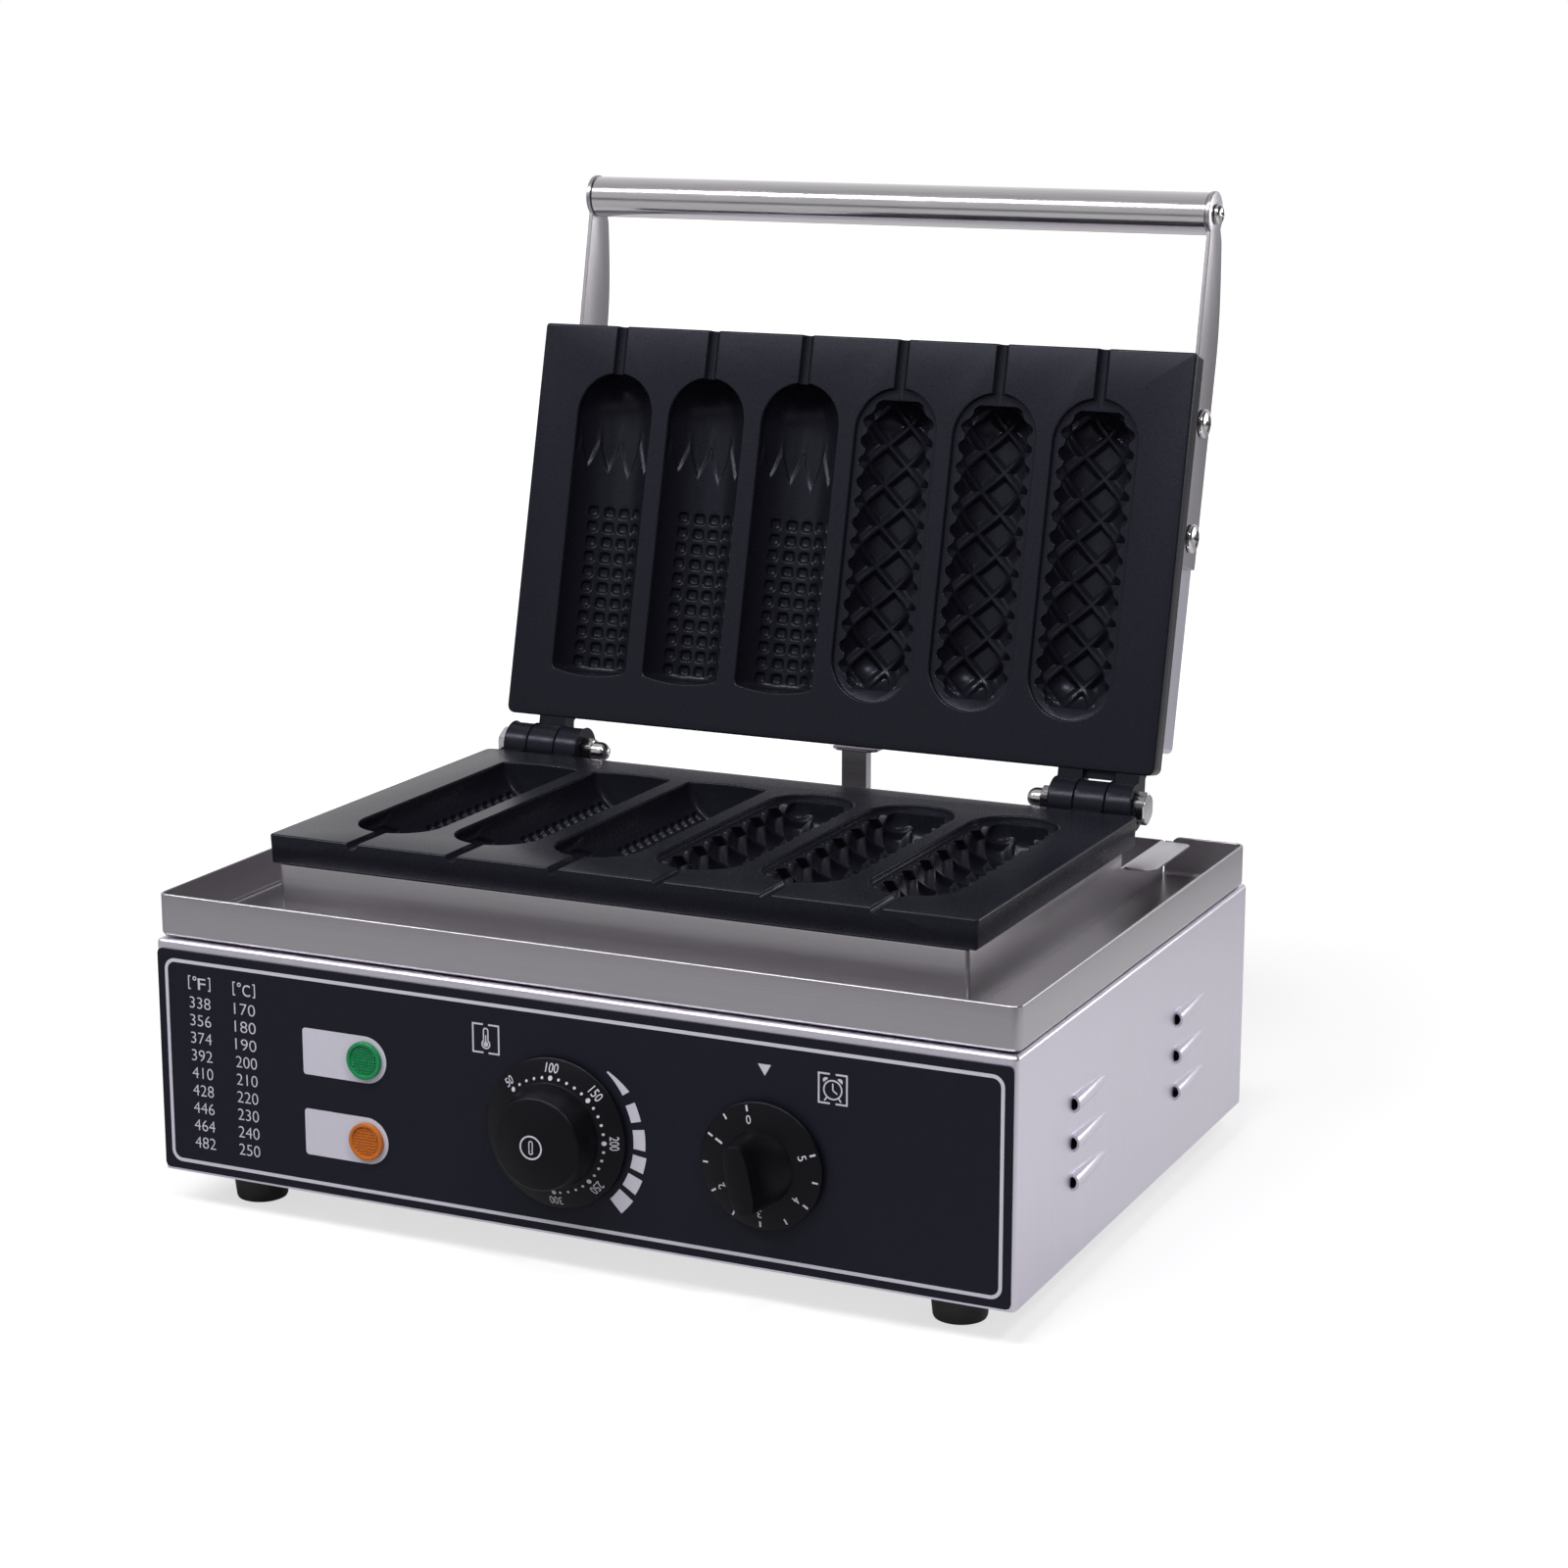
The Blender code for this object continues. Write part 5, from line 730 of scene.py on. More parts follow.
def knuckle_outline():
    start = 180 - math.degrees(math.asin(NECK_TOP / KNUCKLE_RADIUS))
    points = arc((0, 0), KNUCKLE_RADIUS, start - 360, KNUCKLE_END_ANGLE, SMALL_ROUND)[::-1]
    bite = -SETBACK - NECK_BITE
    return points + [(bite, NECK_TOP), (bite, NECK_ROOT), (-SETBACK + SHEET, NECK_WAIST)]


def knuckles(bm, fork_side):
    """The fork and the single knuckle of one plate, each on its neck."""
    inner = KNUCKLE_MIDDLE / 2 + KNUCKLE_GAP
    fork = fork_side * HINGE_X
    for low, high in ((fork - inner - KNUCKLE_WIDTH, fork - inner),
                      (fork + inner, fork + inner + KNUCKLE_WIDTH),
                      (-fork - KNUCKLE_MIDDLE / 2, -fork + KNUCKLE_MIDDLE / 2)):
        slab(bm, knuckle_outline(), low, high, sideways, KNUCKLE_EDGE)
    bite = -SETBACK - NECK_BITE
    web = [(-WEB_REACH, WEB_FOOT), (-WEB_REACH, NECK_WAIST - WEB_CHAMFER[1]),
           (-WEB_REACH - WEB_CHAMFER[0], NECK_WAIST), (bite, NECK_ROOT), (bite, WEB_FOOT)]
    slab(bm, web, fork - inner - WEB_BITE, fork + inner + WEB_BITE, sideways, SMALL_EDGE)


def plate_casting():
    """The rim, the belly and everything that is cut into the face, without its hinge."""
    middle = -SETBACK - PLATE_DEPTH / 2

    def rim(inset, height):
        points = []
        for corner, (sx, sy) in enumerate(CORNERS):
            radius = PLATE_CORNERS[sy]
            centre = (sx * (PLATE_WIDTH / 2 - radius), middle + sy * (PLATE_DEPTH / 2 - radius))
            points += arc(centre, max(radius - inset, LEAST_CORNER), 90 * corner, 90 * corner + 90, CORNER)
        return [(x, y, height) for x, y in points]

    def belly(inset, height):
        outline = rounded_rectangle(PLATE_WIDTH - 2 * (BELLY_INSET[0] + inset),
                                    PLATE_DEPTH - 2 * (BELLY_INSET[1] + inset), BELLY_CORNER)
        return [(x, middle + y, height) for x, y in outline]

    rings = [rim(PLATE_EDGE * (1 - s), PLATE_EDGE * (1 - c)) for s, c in quarter(4)]
    rings += [rim(inset, RIM - down) for inset, down in RIM_BACK]
    rings += [belly(inset, RIM + up) for inset, up in BELLY_FOOT]
    rings += [belly(inset, BELLY - down) for inset, down in BELLY_HEAD]
    casting = new_object("casting", shape(loft, rings), SCALE)
    corn, recess, trough, groove = (bmesh.new() for _ in range(4))
    for is_corn, centre in mould_centres():
        if is_corn:
            corn_cutter(corn, centre)
        else:
            recess_cutter(recess, centre)
            trough_cutter(trough, centre)
        stick_cutter(groove, centre)
    for tool in (corn, recess, trough, groove):
        boolean(casting, tool, SCALE, "DIFFERENCE")
    return casting


def mould_plates():
    casting = plate_casting()
    casting.data.transform(Matrix.Translation((0, 0, FACE_GAP * MM)))
    reach = HINGE_HALF_SPAN + OVERRUN
    for kind, place, fork_side, body in (("lower", LOWER, -1, "base"), ("upper", LID, 1, "lid")):
        plate = linked(kind + "_mould_plate", casting.data.copy())
        boolean(plate, shape(knuckles, fork_side), SCALE, "UNION")
        bores = bmesh.new()
        for side in (-1, 1):
            rod(bores, BOLT_BORE, (side * (HINGE_X - reach), 0, 0), (side * (HINGE_X + reach), 0, 0))
        boolean(plate, bores, SCALE, "DIFFERENCE")
        settle(plate.data, place @ SCALE.inverted())
        finish_piece(plate, [kind + "_plate"], "plate_coating", body, PLATE_SHARP)
    spare = casting.data
    bpy.data.objects.remove(casting)
    bpy.data.meshes.remove(spare)


mould_plates()


# Housing

BODY_WIDTH = 386.5
BODY_DEPTH = (SHELL_HIGH.y - SHELL_LOW.y) / MM
BODY_HEIGHT = (SHELL_HIGH.z - SHELL_LOW.z) / MM
FOLD_RADIUS = 1.8
BODY_CORNER = 2.5
LOUVRE_FRONTS = (60.5, 184.5)
LOUVRE_LEVELS = (32.5, 48.6, 64.7)
LOUVRE_LENGTH = 40.0
LOUVRE_HALF_HEIGHT = 3.6
LOUVRE_RISE = 2.9
LOUVRE_FALL = 0.98              # share of its rise that a hood loses towards its back
LOUVRE_POWERS = (2.6, 1.7)      # how late a hood narrows and sinks
LOUVRE_LEAST = 0.02
LOUVRE_STEPS = 12
LOUVRE_SIDES = 24
HOLLOW_WALL = 0.9 * SHEET
HOLLOW_ROOF = 0.8 * SHEET
HOLLOW_START = 0.4              # behind the hood's front
HOLLOW_LENGTH = 0.94            # share of the hood's length
# A hollow's mouth: how far ahead of the hood, share of its half height, rise and depth
HOLLOW_MOUTH = ((1.6, 0.4, 0.5, 0.1), (1.12, 0.75, 1.0, 0.5), (0.1, 0.96, 1.9, 1.1))
CONTROL_LEVEL = (joint("timer_knob")["pos_m"][2] - SHELL_LOW.z) / MM
CONTROL_X = tuple(joint(name)["pos_m"][0] / MM for name in ("temperature_knob", "timer_knob"))
CONTROL_HOLE = 5.2
LAMP_X = -91.3
LAMP_LEVELS = (61.9, 27.1)
LAMP_HOLE = 5.4
GLAND_X = -130.0
GLAND_LEVEL = 30.0
GLAND_HOLE = 6.9
AXIS_Y = (HINGE.y - SHELL_LOW.y) / MM
TOP_OPENING_HALF = (140.0, 75.0)


def louvre_ring(side, y, level, half, rise, depth):
    """An oval across a louvre that stands out of the wall by rise and goes in by depth."""
    ring = []
    for at in range(LOUVRE_SIDES):
        angle = 2 * math.pi * at / LOUVRE_SIDES
        out = math.sin(angle) * (rise if at < LOUVRE_SIDES / 2 else depth)
        ring.append((side * (BODY_WIDTH / 2 + out), y, level - half * math.cos(angle)))
    return ring


def louvre(bm, side, front, level, hollow):
    """A hood that swells out of a side wall, widest at its open front end, or its hollow."""
    wall, roof, start, length, depth = 0, 0, front, 1, SHEET / 2
    rings = []
    if hollow:
        wall, roof, start, length = HOLLOW_WALL, HOLLOW_ROOF, front + HOLLOW_START, HOLLOW_LENGTH
        depth = SHEET + OVERRUN
        rings = [louvre_ring(side, front - ahead, level, share * (LOUVRE_HALF_HEIGHT - wall), up, down)
                 for ahead, share, up, down in HOLLOW_MOUTH]
    for step in range(LOUVRE_STEPS + 1):
        share = step / LOUVRE_STEPS
        width = math.sqrt(max(LOUVRE_LEAST, 1 - share ** LOUVRE_POWERS[0]))
        rise = LOUVRE_RISE * (1 - share ** LOUVRE_POWERS[1] * LOUVRE_FALL) - roof * width
        rings.append(louvre_ring(side, start + share * LOUVRE_LENGTH * length, level,
                                 (LOUVRE_HALF_HEIGHT - wall) * width, max(rise, LOUVRE_LEAST), depth))
    loft(bm, rings)


def louvres(bm, hollow):
    for side in (-1, 1):
        for front in LOUVRE_FRONTS:
            for level in LOUVRE_LEVELS:
                louvre(bm, side, front, level, hollow)


def folded_box(bm, width, depth, top, foot, middle):
    """A sheet box open at its foot, with round folds along the top."""
    rings = []
    for inset in (0, SHEET):
        radius = FOLD_RADIUS - inset
        wall = [(inset, foot)]
        wall += [(inset + x, top - inset - radius + z) for x, z in arc((radius, 0), radius, 180, 90)]
        rings = wall[::-1] + rings if inset else wall
    loft(bm, [rectangle_ring(width, depth, BODY_CORNER, inset, height, (0, middle))
              for inset, height in rings])


def housing():
    shell = new_object("housing", shape(folded_box, BODY_WIDTH, BODY_DEPTH, BODY_HEIGHT, 0,
                                        BODY_DEPTH / 2), BASE)
    boolean(shell, shape(louvres, False), BASE, "UNION")
    boolean(shell, shape(louvres, True), BASE, "DIFFERENCE")
    holes = [(CONTROL_HOLE, x, CONTROL_LEVEL, 0) for x in CONTROL_X]
    holes += [(LAMP_HOLE, LAMP_X, level, 0) for level in LAMP_LEVELS]
    holes.append((GLAND_HOLE, GLAND_X, GLAND_LEVEL, BODY_DEPTH - SHEET))
    bm = bmesh.new()
    for radius, x, level, wall in holes:
        rod(bm, radius, (x, wall - OVERRUN, level), (x, wall + SHEET + OVERRUN, level))
    opening = AXIS_Y - SETBACK - PLATE_DEPTH / 2
    half, deep = TOP_OPENING_HALF
    block(bm, (-half, opening - deep, BODY_HEIGHT - SHEET - OVERRUN),
          (half, opening + deep, BODY_HEIGHT + OVERRUN))
    boolean(shell, bm, BASE, "DIFFERENCE")
    finish_piece(shell, ["base_shell"], "housing_steel")


housing()


# Drip tray

TRAY_LOW, TRAY_HIGH = extent("drip_tray", BASE)
TRAY_FLOOR = TRAY_LOW.z + SHEET
TRAY_CORNER = 4.0
TRAY_FOLD = 2.5
TRAY_DEPTH = 18.6
LIP_TOP = TRAY_LOW.z + TRAY_DEPTH
CHAMBER_HALF = 157.0
CHAMBER_INNER = CHAMBER_HALF - SHEET
CHAMBER_FRONT = 39.8
CHAMBER_BACK = 272.0
CHAMBER_TOP = TRAY_HIGH.z
CHAMBER_CORNER = 2.2
CHAMBER_EDGE = ((0, 0.5), (0.15, 0.15), (0.5, 0.0))     # inset, and level below the top
BAFFLE_BACK = 214.2
STEP_LEVEL = 119.0
TAB_REACH = 170.3
TAB_FRONT = 218.0
TAB_BACK = 269.5
TAB_CORNER = 4.0
NOTCH_HALF = 159.0
NOTCH_CORNER = 4.5
CUT_PAST = 1.0                  # how far a cut runs into or past a wall of the chamber


def tray_pan():
    """Rings of the folded pan, over its rolled lip from the floor to the underside."""
    edge = SHEET / 2
    path = [(SHEET + TRAY_FOLD + x, TRAY_FLOOR + TRAY_FOLD + z) for x, z in arc((0, 0), TRAY_FOLD, 270, 180)]
    path += [(edge + x, LIP_TOP - edge + z) for x, z in arc((0, 0), edge, 0, 180, CORNER)]
    path += [(TRAY_FOLD + x, TRAY_LOW.z + TRAY_FOLD + z) for x, z in arc((0, 0), TRAY_FOLD, 180, 270)]
    middle = centre_of(TRAY_LOW, TRAY_HIGH)[1]
    return [rectangle_ring(TRAY_HIGH.x - TRAY_LOW.x, TRAY_HIGH.y - TRAY_LOW.y, TRAY_CORNER, inset, height,
                           (0, middle)) for inset, height in path]


def chamber_box():
    """Rings of the raised chamber before it is hollowed."""
    levels = [(0, TRAY_FLOOR - SHEET / 2)] + [(inset, CHAMBER_TOP - down) for inset, down in CHAMBER_EDGE]
    return [rectangle_ring(2 * CHAMBER_HALF, CHAMBER_BACK - CHAMBER_FRONT, CHAMBER_CORNER, inset, height,
                           (0, (CHAMBER_FRONT + CHAMBER_BACK) / 2)) for inset, height in levels]


def side_tabs(bm):
    for side in (-1, 1):
        outline = rounded_rectangle(TAB_REACH - CHAMBER_INNER, TAB_BACK - TAB_FRONT, TAB_CORNER)
        at = (side * (CHAMBER_INNER + TAB_REACH) / 2, (TAB_FRONT + TAB_BACK) / 2)
        tab = [(at[0] + x, at[1] + y) for x, y in outline]
        slab(bm, tab, STEP_LEVEL - SHEET, STEP_LEVEL, edge=SMALL_EDGE)


def tray_cuts(bm):
    """The chamber's two bays and the notch in the rear lip."""
    block(bm, (-CHAMBER_INNER, CHAMBER_FRONT + SHEET, TRAY_LOW.z - OVERRUN),
          (CHAMBER_INNER, BAFFLE_BACK - SHEET, CHAMBER_TOP + OVERRUN))
    block(bm, (-CHAMBER_INNER, BAFFLE_BACK, TRAY_FLOOR),
          (CHAMBER_INNER, CHAMBER_BACK - SHEET, CHAMBER_TOP + OVERRUN))
    under = STEP_LEVEL - SHEET
    foot = CUT_PAST - CHAMBER_HALF
    left = [(foot, TRAY_FLOOR), (foot, under), (-NOTCH_HALF, under)]
    left += arc((-NOTCH_HALF - NOTCH_CORNER, LIP_TOP - NOTCH_CORNER), NOTCH_CORNER, 0, 90)
    left.append((left[-1][0], LIP_TOP + OVERRUN))
    outline = left + [(-x, z) for x, z in reversed(left)]
    loft(bm, [[(x, y, z) for x, z in outline] for y in (TRAY_HIGH.y - 2 * SHEET, TRAY_HIGH.y + OVERRUN)])


def drip_tray():
    tray = new_object("tray", shape(loft, tray_pan()), BASE)
    boolean(tray, shape(loft, chamber_box()), BASE, "UNION")
    boolean(tray, shape(side_tabs), BASE, "UNION")
    boolean(tray, shape(tray_cuts), BASE, "DIFFERENCE")
    reach = CHAMBER_HALF + CUT_PAST
    boolean(tray, shape(block, (-reach, BAFFLE_BACK, STEP_LEVEL),
                        (reach, CHAMBER_BACK + CUT_PAST, CHAMBER_TOP + OVERRUN)), BASE, "DIFFERENCE")
    finish_piece(tray, ["drip_tray"], "tray_steel")


drip_tray()


# Lid stop

STOP_LOW, STOP_HIGH = extent("lid_stop", BASE)
STOP_HALF = 6.1
STOP_DEPTH = 5.5
STOP_SETBACK = 2.4              # of the channel behind the front edge of its flanges
FLANGE_DEPTH = 10.0
FLANGE_CHAMFER = 3.5
FLANGE_EDGE = 0.25


def lid_stop():
    """Folded channel with a flange at its head and foot."""
    centre = (STOP_LOW.x + STOP_HIGH.x) / 2

    def mirrored(half_outline, y):
        """The points right of the middle, anticlockwise, then their mirror images."""
        points = half_outline + [(-x, z) for x, z in reversed(half_outline)]
        return [(centre + x, y + z) for x, z in points]

    wall = STOP_HALF - SHEET
    channel = mirrored([(STOP_HALF, 0), (STOP_HALF, STOP_DEPTH), (wall, STOP_DEPTH), (wall, SHEET)],
                       STOP_LOW.y + STOP_SETBACK)
    rings = [[(x, y, z) for x, y in channel] for z in (STOP_LOW.z, STOP_HIGH.z - SHEET / 2)]
    post = new_object("stop", shape(loft, rings), BASE)
    half = (STOP_HIGH.x - STOP_LOW.x) / 2
    flange = mirrored([(half - FLANGE_CHAMFER, 0), (half, FLANGE_CHAMFER), (half, FLANGE_DEPTH)], STOP_LOW.y)
    bm = bmesh.new()
    for top in (STOP_HIGH.z, STOP_LOW.z + SHEET):
        slab(bm, flange, top - SHEET, top, edge=FLANGE_EDGE)
    boolean(post, bm, BASE, "UNION")
    finish_piece(post, ["lid_stop"], "bracket_steel")


lid_stop()


# Lid cover, handle arms and tube

COVER_LOW, COVER_HIGH = extent("lid_cover", LID)
TUBE_LOW, TUBE_HIGH = extent("handle_tube", LID)
TUBE_RADIUS = (TUBE_HIGH.y - TUBE_LOW.y) / 2
TUBE_REACH = -(TUBE_HIGH.y + TUBE_LOW.y) / 2
TUBE_RISE = (TUBE_HIGH.z + TUBE_LOW.z) / 2
TUBE_WALL = 1.5
TUBE_EDGE = 0.4
TUBE_ROUND = 160
ARM_HEAD = 10.0
ARM_HEAD_ANGLES = (-150, 120)
ARM_FOOT = 108.0
ARM_FRONT_RISE = 24.0
ARM_BACK_RISE = 46.7
ARM_CORNER = 1.2
ARM_NECK = (254.0, 36.8)        # reach and rise where the back edge starts to flare
ARM_FLARE_REACH = 200.0
ARM_FLARE_STEPS = 14
ARM_EDGE = 0.4


def lid_cover():
    size = COVER_HIGH - COVER_LOW
    bm = shape(folded_box, size.x, size.y, COVER_HIGH.z, COVER_LOW.z, (COVER_LOW.y + COVER_HIGH.y) / 2)
    add("lid_shell", bm, LID, ["lid_cover"], "cover_steel", "lid")


def arm_outline():
    """Side view of an arm, anticlockwise over reach and rise."""
    foot = ARM_FOOT + ARM_CORNER
    points = arc((foot, ARM_FRONT_RISE + ARM_CORNER), ARM_CORNER, 180, 270)
    points += arc((TUBE_REACH, TUBE_RISE), ARM_HEAD, *ARM_HEAD_ANGLES, SMALL_ROUND)
    for step in range(ARM_FLARE_STEPS + 1):
        share = step / ARM_FLARE_STEPS
        points.append((mix(ARM_NECK[0], ARM_FLARE_REACH, share),
                       mix(ARM_NECK[1], ARM_BACK_RISE, math.sin(share * math.pi / 2))))
    return points + arc((foot, ARM_BACK_RISE - ARM_CORNER), ARM_CORNER, 90, 180)


def handle():
    half = TUBE_HIGH.x
    inner, outer = TUBE_RADIUS - TUBE_WALL, TUBE_RADIUS - TUBE_EDGE
    profile = [(outer, -half), (TUBE_RADIUS, TUBE_EDGE - half), (TUBE_RADIUS, half - TUBE_EDGE),
               (outer, half), (inner, half), (inner, -half)]
    bm = shape(turn, profile, TUBE_ROUND, along_x((0, -TUBE_REACH, TUBE_RISE), 1), bored=True)
    add("grip_tube", bm, LID, ["handle_tube"], "bright_steel", "lid")
    for side, _ in SIDES:
        low, high = extent("handle_arm_" + side, LID)
        bm = shape(slab, arm_outline(), low.x, high.x, lambda reach, z, x: (x, -reach, z), ARM_EDGE)
        add("arm_" + side, bm, LID, ["handle_arm_" + side], "bracket_steel", "lid")


def along_x(centre, sign):
    return Matrix.Translation(centre) @ Matrix.Rotation(sign * math.pi / 2, 4, "Y")


lid_cover()
handle()


# Screws, bolts and nuts

SHANK = 0.4                     # shares of a head's radius
SEAT = 0.96
TIP_FLAT = 0.12
DOME_REACH = 0.97
SLOT_LONG = 0.62
SLOT_WIDE = 0.13
SLOT_FOOT = 0.45                # share of a slot's length that its floor takes
RIM_HEIGHT = 0.35               # shares of a head's height
SLOT_DEEP = 0.7
SLOT_CUTTER_RISE = 0.2
BOLT_FLATS = 12.9
BOLT_HEAD = 5.2
BOLT_PAST = 8.0                 # length of a bolt's shank over the knuckles' span, inside its nut
BOLT_CHAMFER = 0.35
# Loss over the flats, level below the top and roundness of the corners
BOLT_CROWN = ((0.0, 0.8, 0.0), (0.0, 0.45, 0.05), (0.5, 0.1, 0.10), (1.6, 0.0, 0.13))
NUT_FLATS = 10.4
NUT_HEX = 5.0
NUT_LENGTH = 12.5
NUT_DOME = 4.6
NUT_CENTRE = 0.1                # radius of the dome's flat
NUT_EDGE = (0.6, 0.1)           # levels below the hexagon's top between which its corners round off
NUT_ROUNDNESS = 0.06
NUT_CHAMFER = 0.95              # radius over half the flats at the hexagon's top
NUT_BORE = (BOLT_RADIUS + 0.3, 9.3)     # radius and depth
HEX_SIDES = 60
HEX_CORNER = 1.155              # corner over flat of a hexagon


def pan_screw(name, node, matrix, radius, height):
    """Domed head with a cross recess, over a plain shank."""
    profile = [(radius * SHANK, -OVERRUN), (radius * SHANK, 0), (radius * SEAT, 0), (radius, SMALL_EDGE),
               (radius, height * RIM_HEIGHT)]
    profile += [(radius * (1 - DOME_REACH * (1 - c)), height * (RIM_HEIGHT + (1 - RIM_HEIGHT) * s))
                for s, c in quarter(DOME, 1)[:-1]] + [(TIP_FLAT, height)]
    head = new_object(name, shape(turn, profile, SMALL_ROUND, matrix), LID)
    long, wide = radius * SLOT_LONG, radius * SLOT_WIDE
    for order in (1, -1):
        rings = []
        for share, level in ((SLOT_FOOT, height - height * SLOT_DEEP), (1.0, height + SLOT_CUTTER_RISE)):
            ring = [(sx * long * share, sy * wide) for sx, sy in CORNERS]
            rings.append([matrix @ Vector((*point[::order], level)) for point in ring])
        boolean(head, shape(loft, rings), LID, "DIFFERENCE")
    finish_piece(head, [node], "bright_steel", "lid")


def arm_screw(name, node, side, sign):
    """A screw whose head sits on the outer face of an arm."""
    box = extent(node, LID)
    outer = 1 if sign > 0 else 0
    seat = extent("handle_arm_" + side, LID)[outer].x + sign * GAP
    matrix = along_x((seat, *centre_of(*box)[1:]), sign)
    pan_screw(name, node, matrix, (box[1].y - box[0].y) / 2, abs(box[outer].x - seat))


def lid_screws():
    for side, sign in SIDES:
        for number in (1, 2):
            arm_screw(f"side_screw_{side}_{number}", f"arm_screw_{side}_{number}", side, sign)
        arm_screw("grip_screw_" + side, "handle_screw_" + side, side, sign)
        node = "cover_screw_" + side
        low, high = extent(node, LID)
        seat = Matrix.Translation((*centre_of(low, high)[:2], COVER_HIGH.z + GAP))
        pan_screw("shell_screw_" + side, node, seat, (high.x - low.x) / 2, high.z - COVER_HIGH.z - GAP)


def hexagon(flats, height, round_radius=None, roundness=0.0):
    """Ring of points on a hexagon, or on a circle of the radius that is given."""
    ring = []
    for i in range(HEX_SIDES):
        angle = 2 * math.pi * i / HEX_SIDES
        within = (angle % (math.pi / 3)) - math.pi / 6
        radius = round_radius or min(flats / 2 / math.cos(within), flats / 2 * (HEX_CORNER - roundness))
        ring.append((radius * math.cos(angle), radius * math.sin(angle), height))
    return ring


def bolt_rings():
    """Shank, then a hexagon head with a rounded crown."""
    flats = BOLT_FLATS
    rings = [hexagon(flats, -2 * HINGE_HALF_SPAN - BOLT_PAST, BOLT_RADIUS), hexagon(flats, 0, BOLT_RADIUS),
             hexagon(flats, 0, flats / 2), hexagon(flats, BOLT_CHAMFER)]
    return rings + [hexagon(flats - less, BOLT_HEAD - down, roundness=roundness)
                    for less, down, roundness in BOLT_CROWN]


def nut_rings():
    """Blind bore, hexagon, then a dome on a short neck."""
    flats, dome = NUT_FLATS, NUT_DOME
    bore, deep = NUT_BORE
    start, end = NUT_EDGE
    rings = [hexagon(flats, deep, bore), hexagon(flats, 0, bore), hexagon(flats, 0, flats / 2),
             hexagon(flats, SMALL_EDGE), hexagon(flats, NUT_HEX - start),
             hexagon(flats, NUT_HEX - end, roundness=NUT_ROUNDNESS),
             hexagon(flats, NUT_HEX, flats / 2 * NUT_CHAMFER), hexagon(flats, NUT_HEX + end, dome),
             hexagon(flats, NUT_LENGTH - dome, dome)]
    return rings + [hexagon(flats, NUT_LENGTH - dome + dome * s, max(NUT_CENTRE, dome * c))
                    for s, c in quarter(DOME, 1)]


def hinge_fasteners():
    groups = frame["record"]["behaviour"]["bodies"]
    reach = HINGE_HALF_SPAN + GAP
    for side, sign in SIDES:
        for name, node, rings, way in (("pivot_bolt_", "hinge_bolt_", bolt_rings(), sign),
                                       ("acorn_nut_", "hinge_nut_", nut_rings(), -sign)):
            matrix = along_x((sign * HINGE_X + way * reach, 0, 0), way)
            bm = shape(loft, [[matrix @ Vector(point) for point in ring] for ring in rings])
            body = next(body for body, nodes in groups.items() if node + side in nodes)
            add(name + side, bm, turned_scale(HINGE), [node + side], "bright_steel", body)


lid_screws()
hinge_fasteners()


# Feet

FOOT_BORE = 2.4
FOOT_TAPER = 1.5
FOOT_RECESS = 6.2
FOOT_RECESS_DEPTH = 8.5
FOOT_RECESS_EDGE = 0.4
FOOT_TOP = ((0.8, 0.0), (0.2, 0.3), (0.0, 1.0))         # inset, and level below the top
FOOT_TREAD = ((-0.1, 1.2), (0.3, 0.35), (1.1, 0.0))     # inset, and level above the ground
FOOT_ROUND = 64


def feet():
    for name in ("front_left", "front_right", "rear_left", "rear_right"):
        low, high = extent("foot_" + name, BASE)
        x, y, _ = centre_of(low, high)
        top = (high.x - low.x) / 2
        foot = top - FOOT_TAPER
        deep = low.z + FOOT_RECESS_DEPTH
        profile = [(FOOT_BORE, high.z)]
        profile += [(top - inset, high.z - down) for inset, down in FOOT_TOP]
        profile += [(foot - inset, low.z + up) for inset, up in FOOT_TREAD]
        profile += [(FOOT_RECESS + FOOT_RECESS_EDGE, low.z), (FOOT_RECESS, low.z + FOOT_RECESS_EDGE),
                    (FOOT_RECESS, deep), (FOOT_BORE, deep)]
        bm = shape(turn, profile, FOOT_ROUND, Matrix.Translation((x, y, 0)), bored=True)
        add("rubber_foot_" + name, bm, BASE, ["foot_" + name], "foot_rubber")


feet()


# Knobs

STANDOFF = 1.3
SHAFT_BORE = 3.2
BORE_END = 13.3
KNOB_ROUND = 128
KNOB_SHARP = 40                 # degrees between faces from which a knob's edge is sharp
SKIRT_FOOT = ((1.2, 0.0), (0.3, 0.3), (0.0, 1.0))       # inset, and level above the foot
SKIRT_RADIUS = 31.3
SKIRT_RIM = 3.4
SKIRT_EDGE = ((0.0, -0.4), (0.15, -0.1), (0.6, 0.15))    # inset, and level above the rim
DIAL_RADIUS = 22.8
DIAL_HEIGHT = 6.8
GRIP_RADIUS = 21.4
GRIP_FOOT = ((0.7, 0.2), (0.15, 0.6), (0.0, 1.3))       # outside the grip, and above the dial
GRIP_TOP = 23.0
FACE_RADIUS = 19.4
FACE_EDGE = 19.5
SHOULDER = 1.6
SHOULDER_ANGLES = (5, 75)
SHOULDER_DRAFT = 0.1
DOME_STEPS = 10
LEAST_RADIUS = 0.15
TIMER_RADIUS = 26.0
TIMER_RIM = 4.0
TIMER_EDGE = ((0.0, -0.5), (0.15, -0.15), (0.6, 0.1))    # inset, and level above the rim
TIMER_HUB = 14.8
TIMER_SOCKET = 5.0
TIMER_DIAL = 5.8
TIMER_HEIGHT = 24.5
BAR_LEAN = math.radians(12)
BAR_SQUARE = 0.62               # power of the bar's section where it is squarest
BAR_SQUARE_RUN = 1.6
BAR_SINK = 0.8
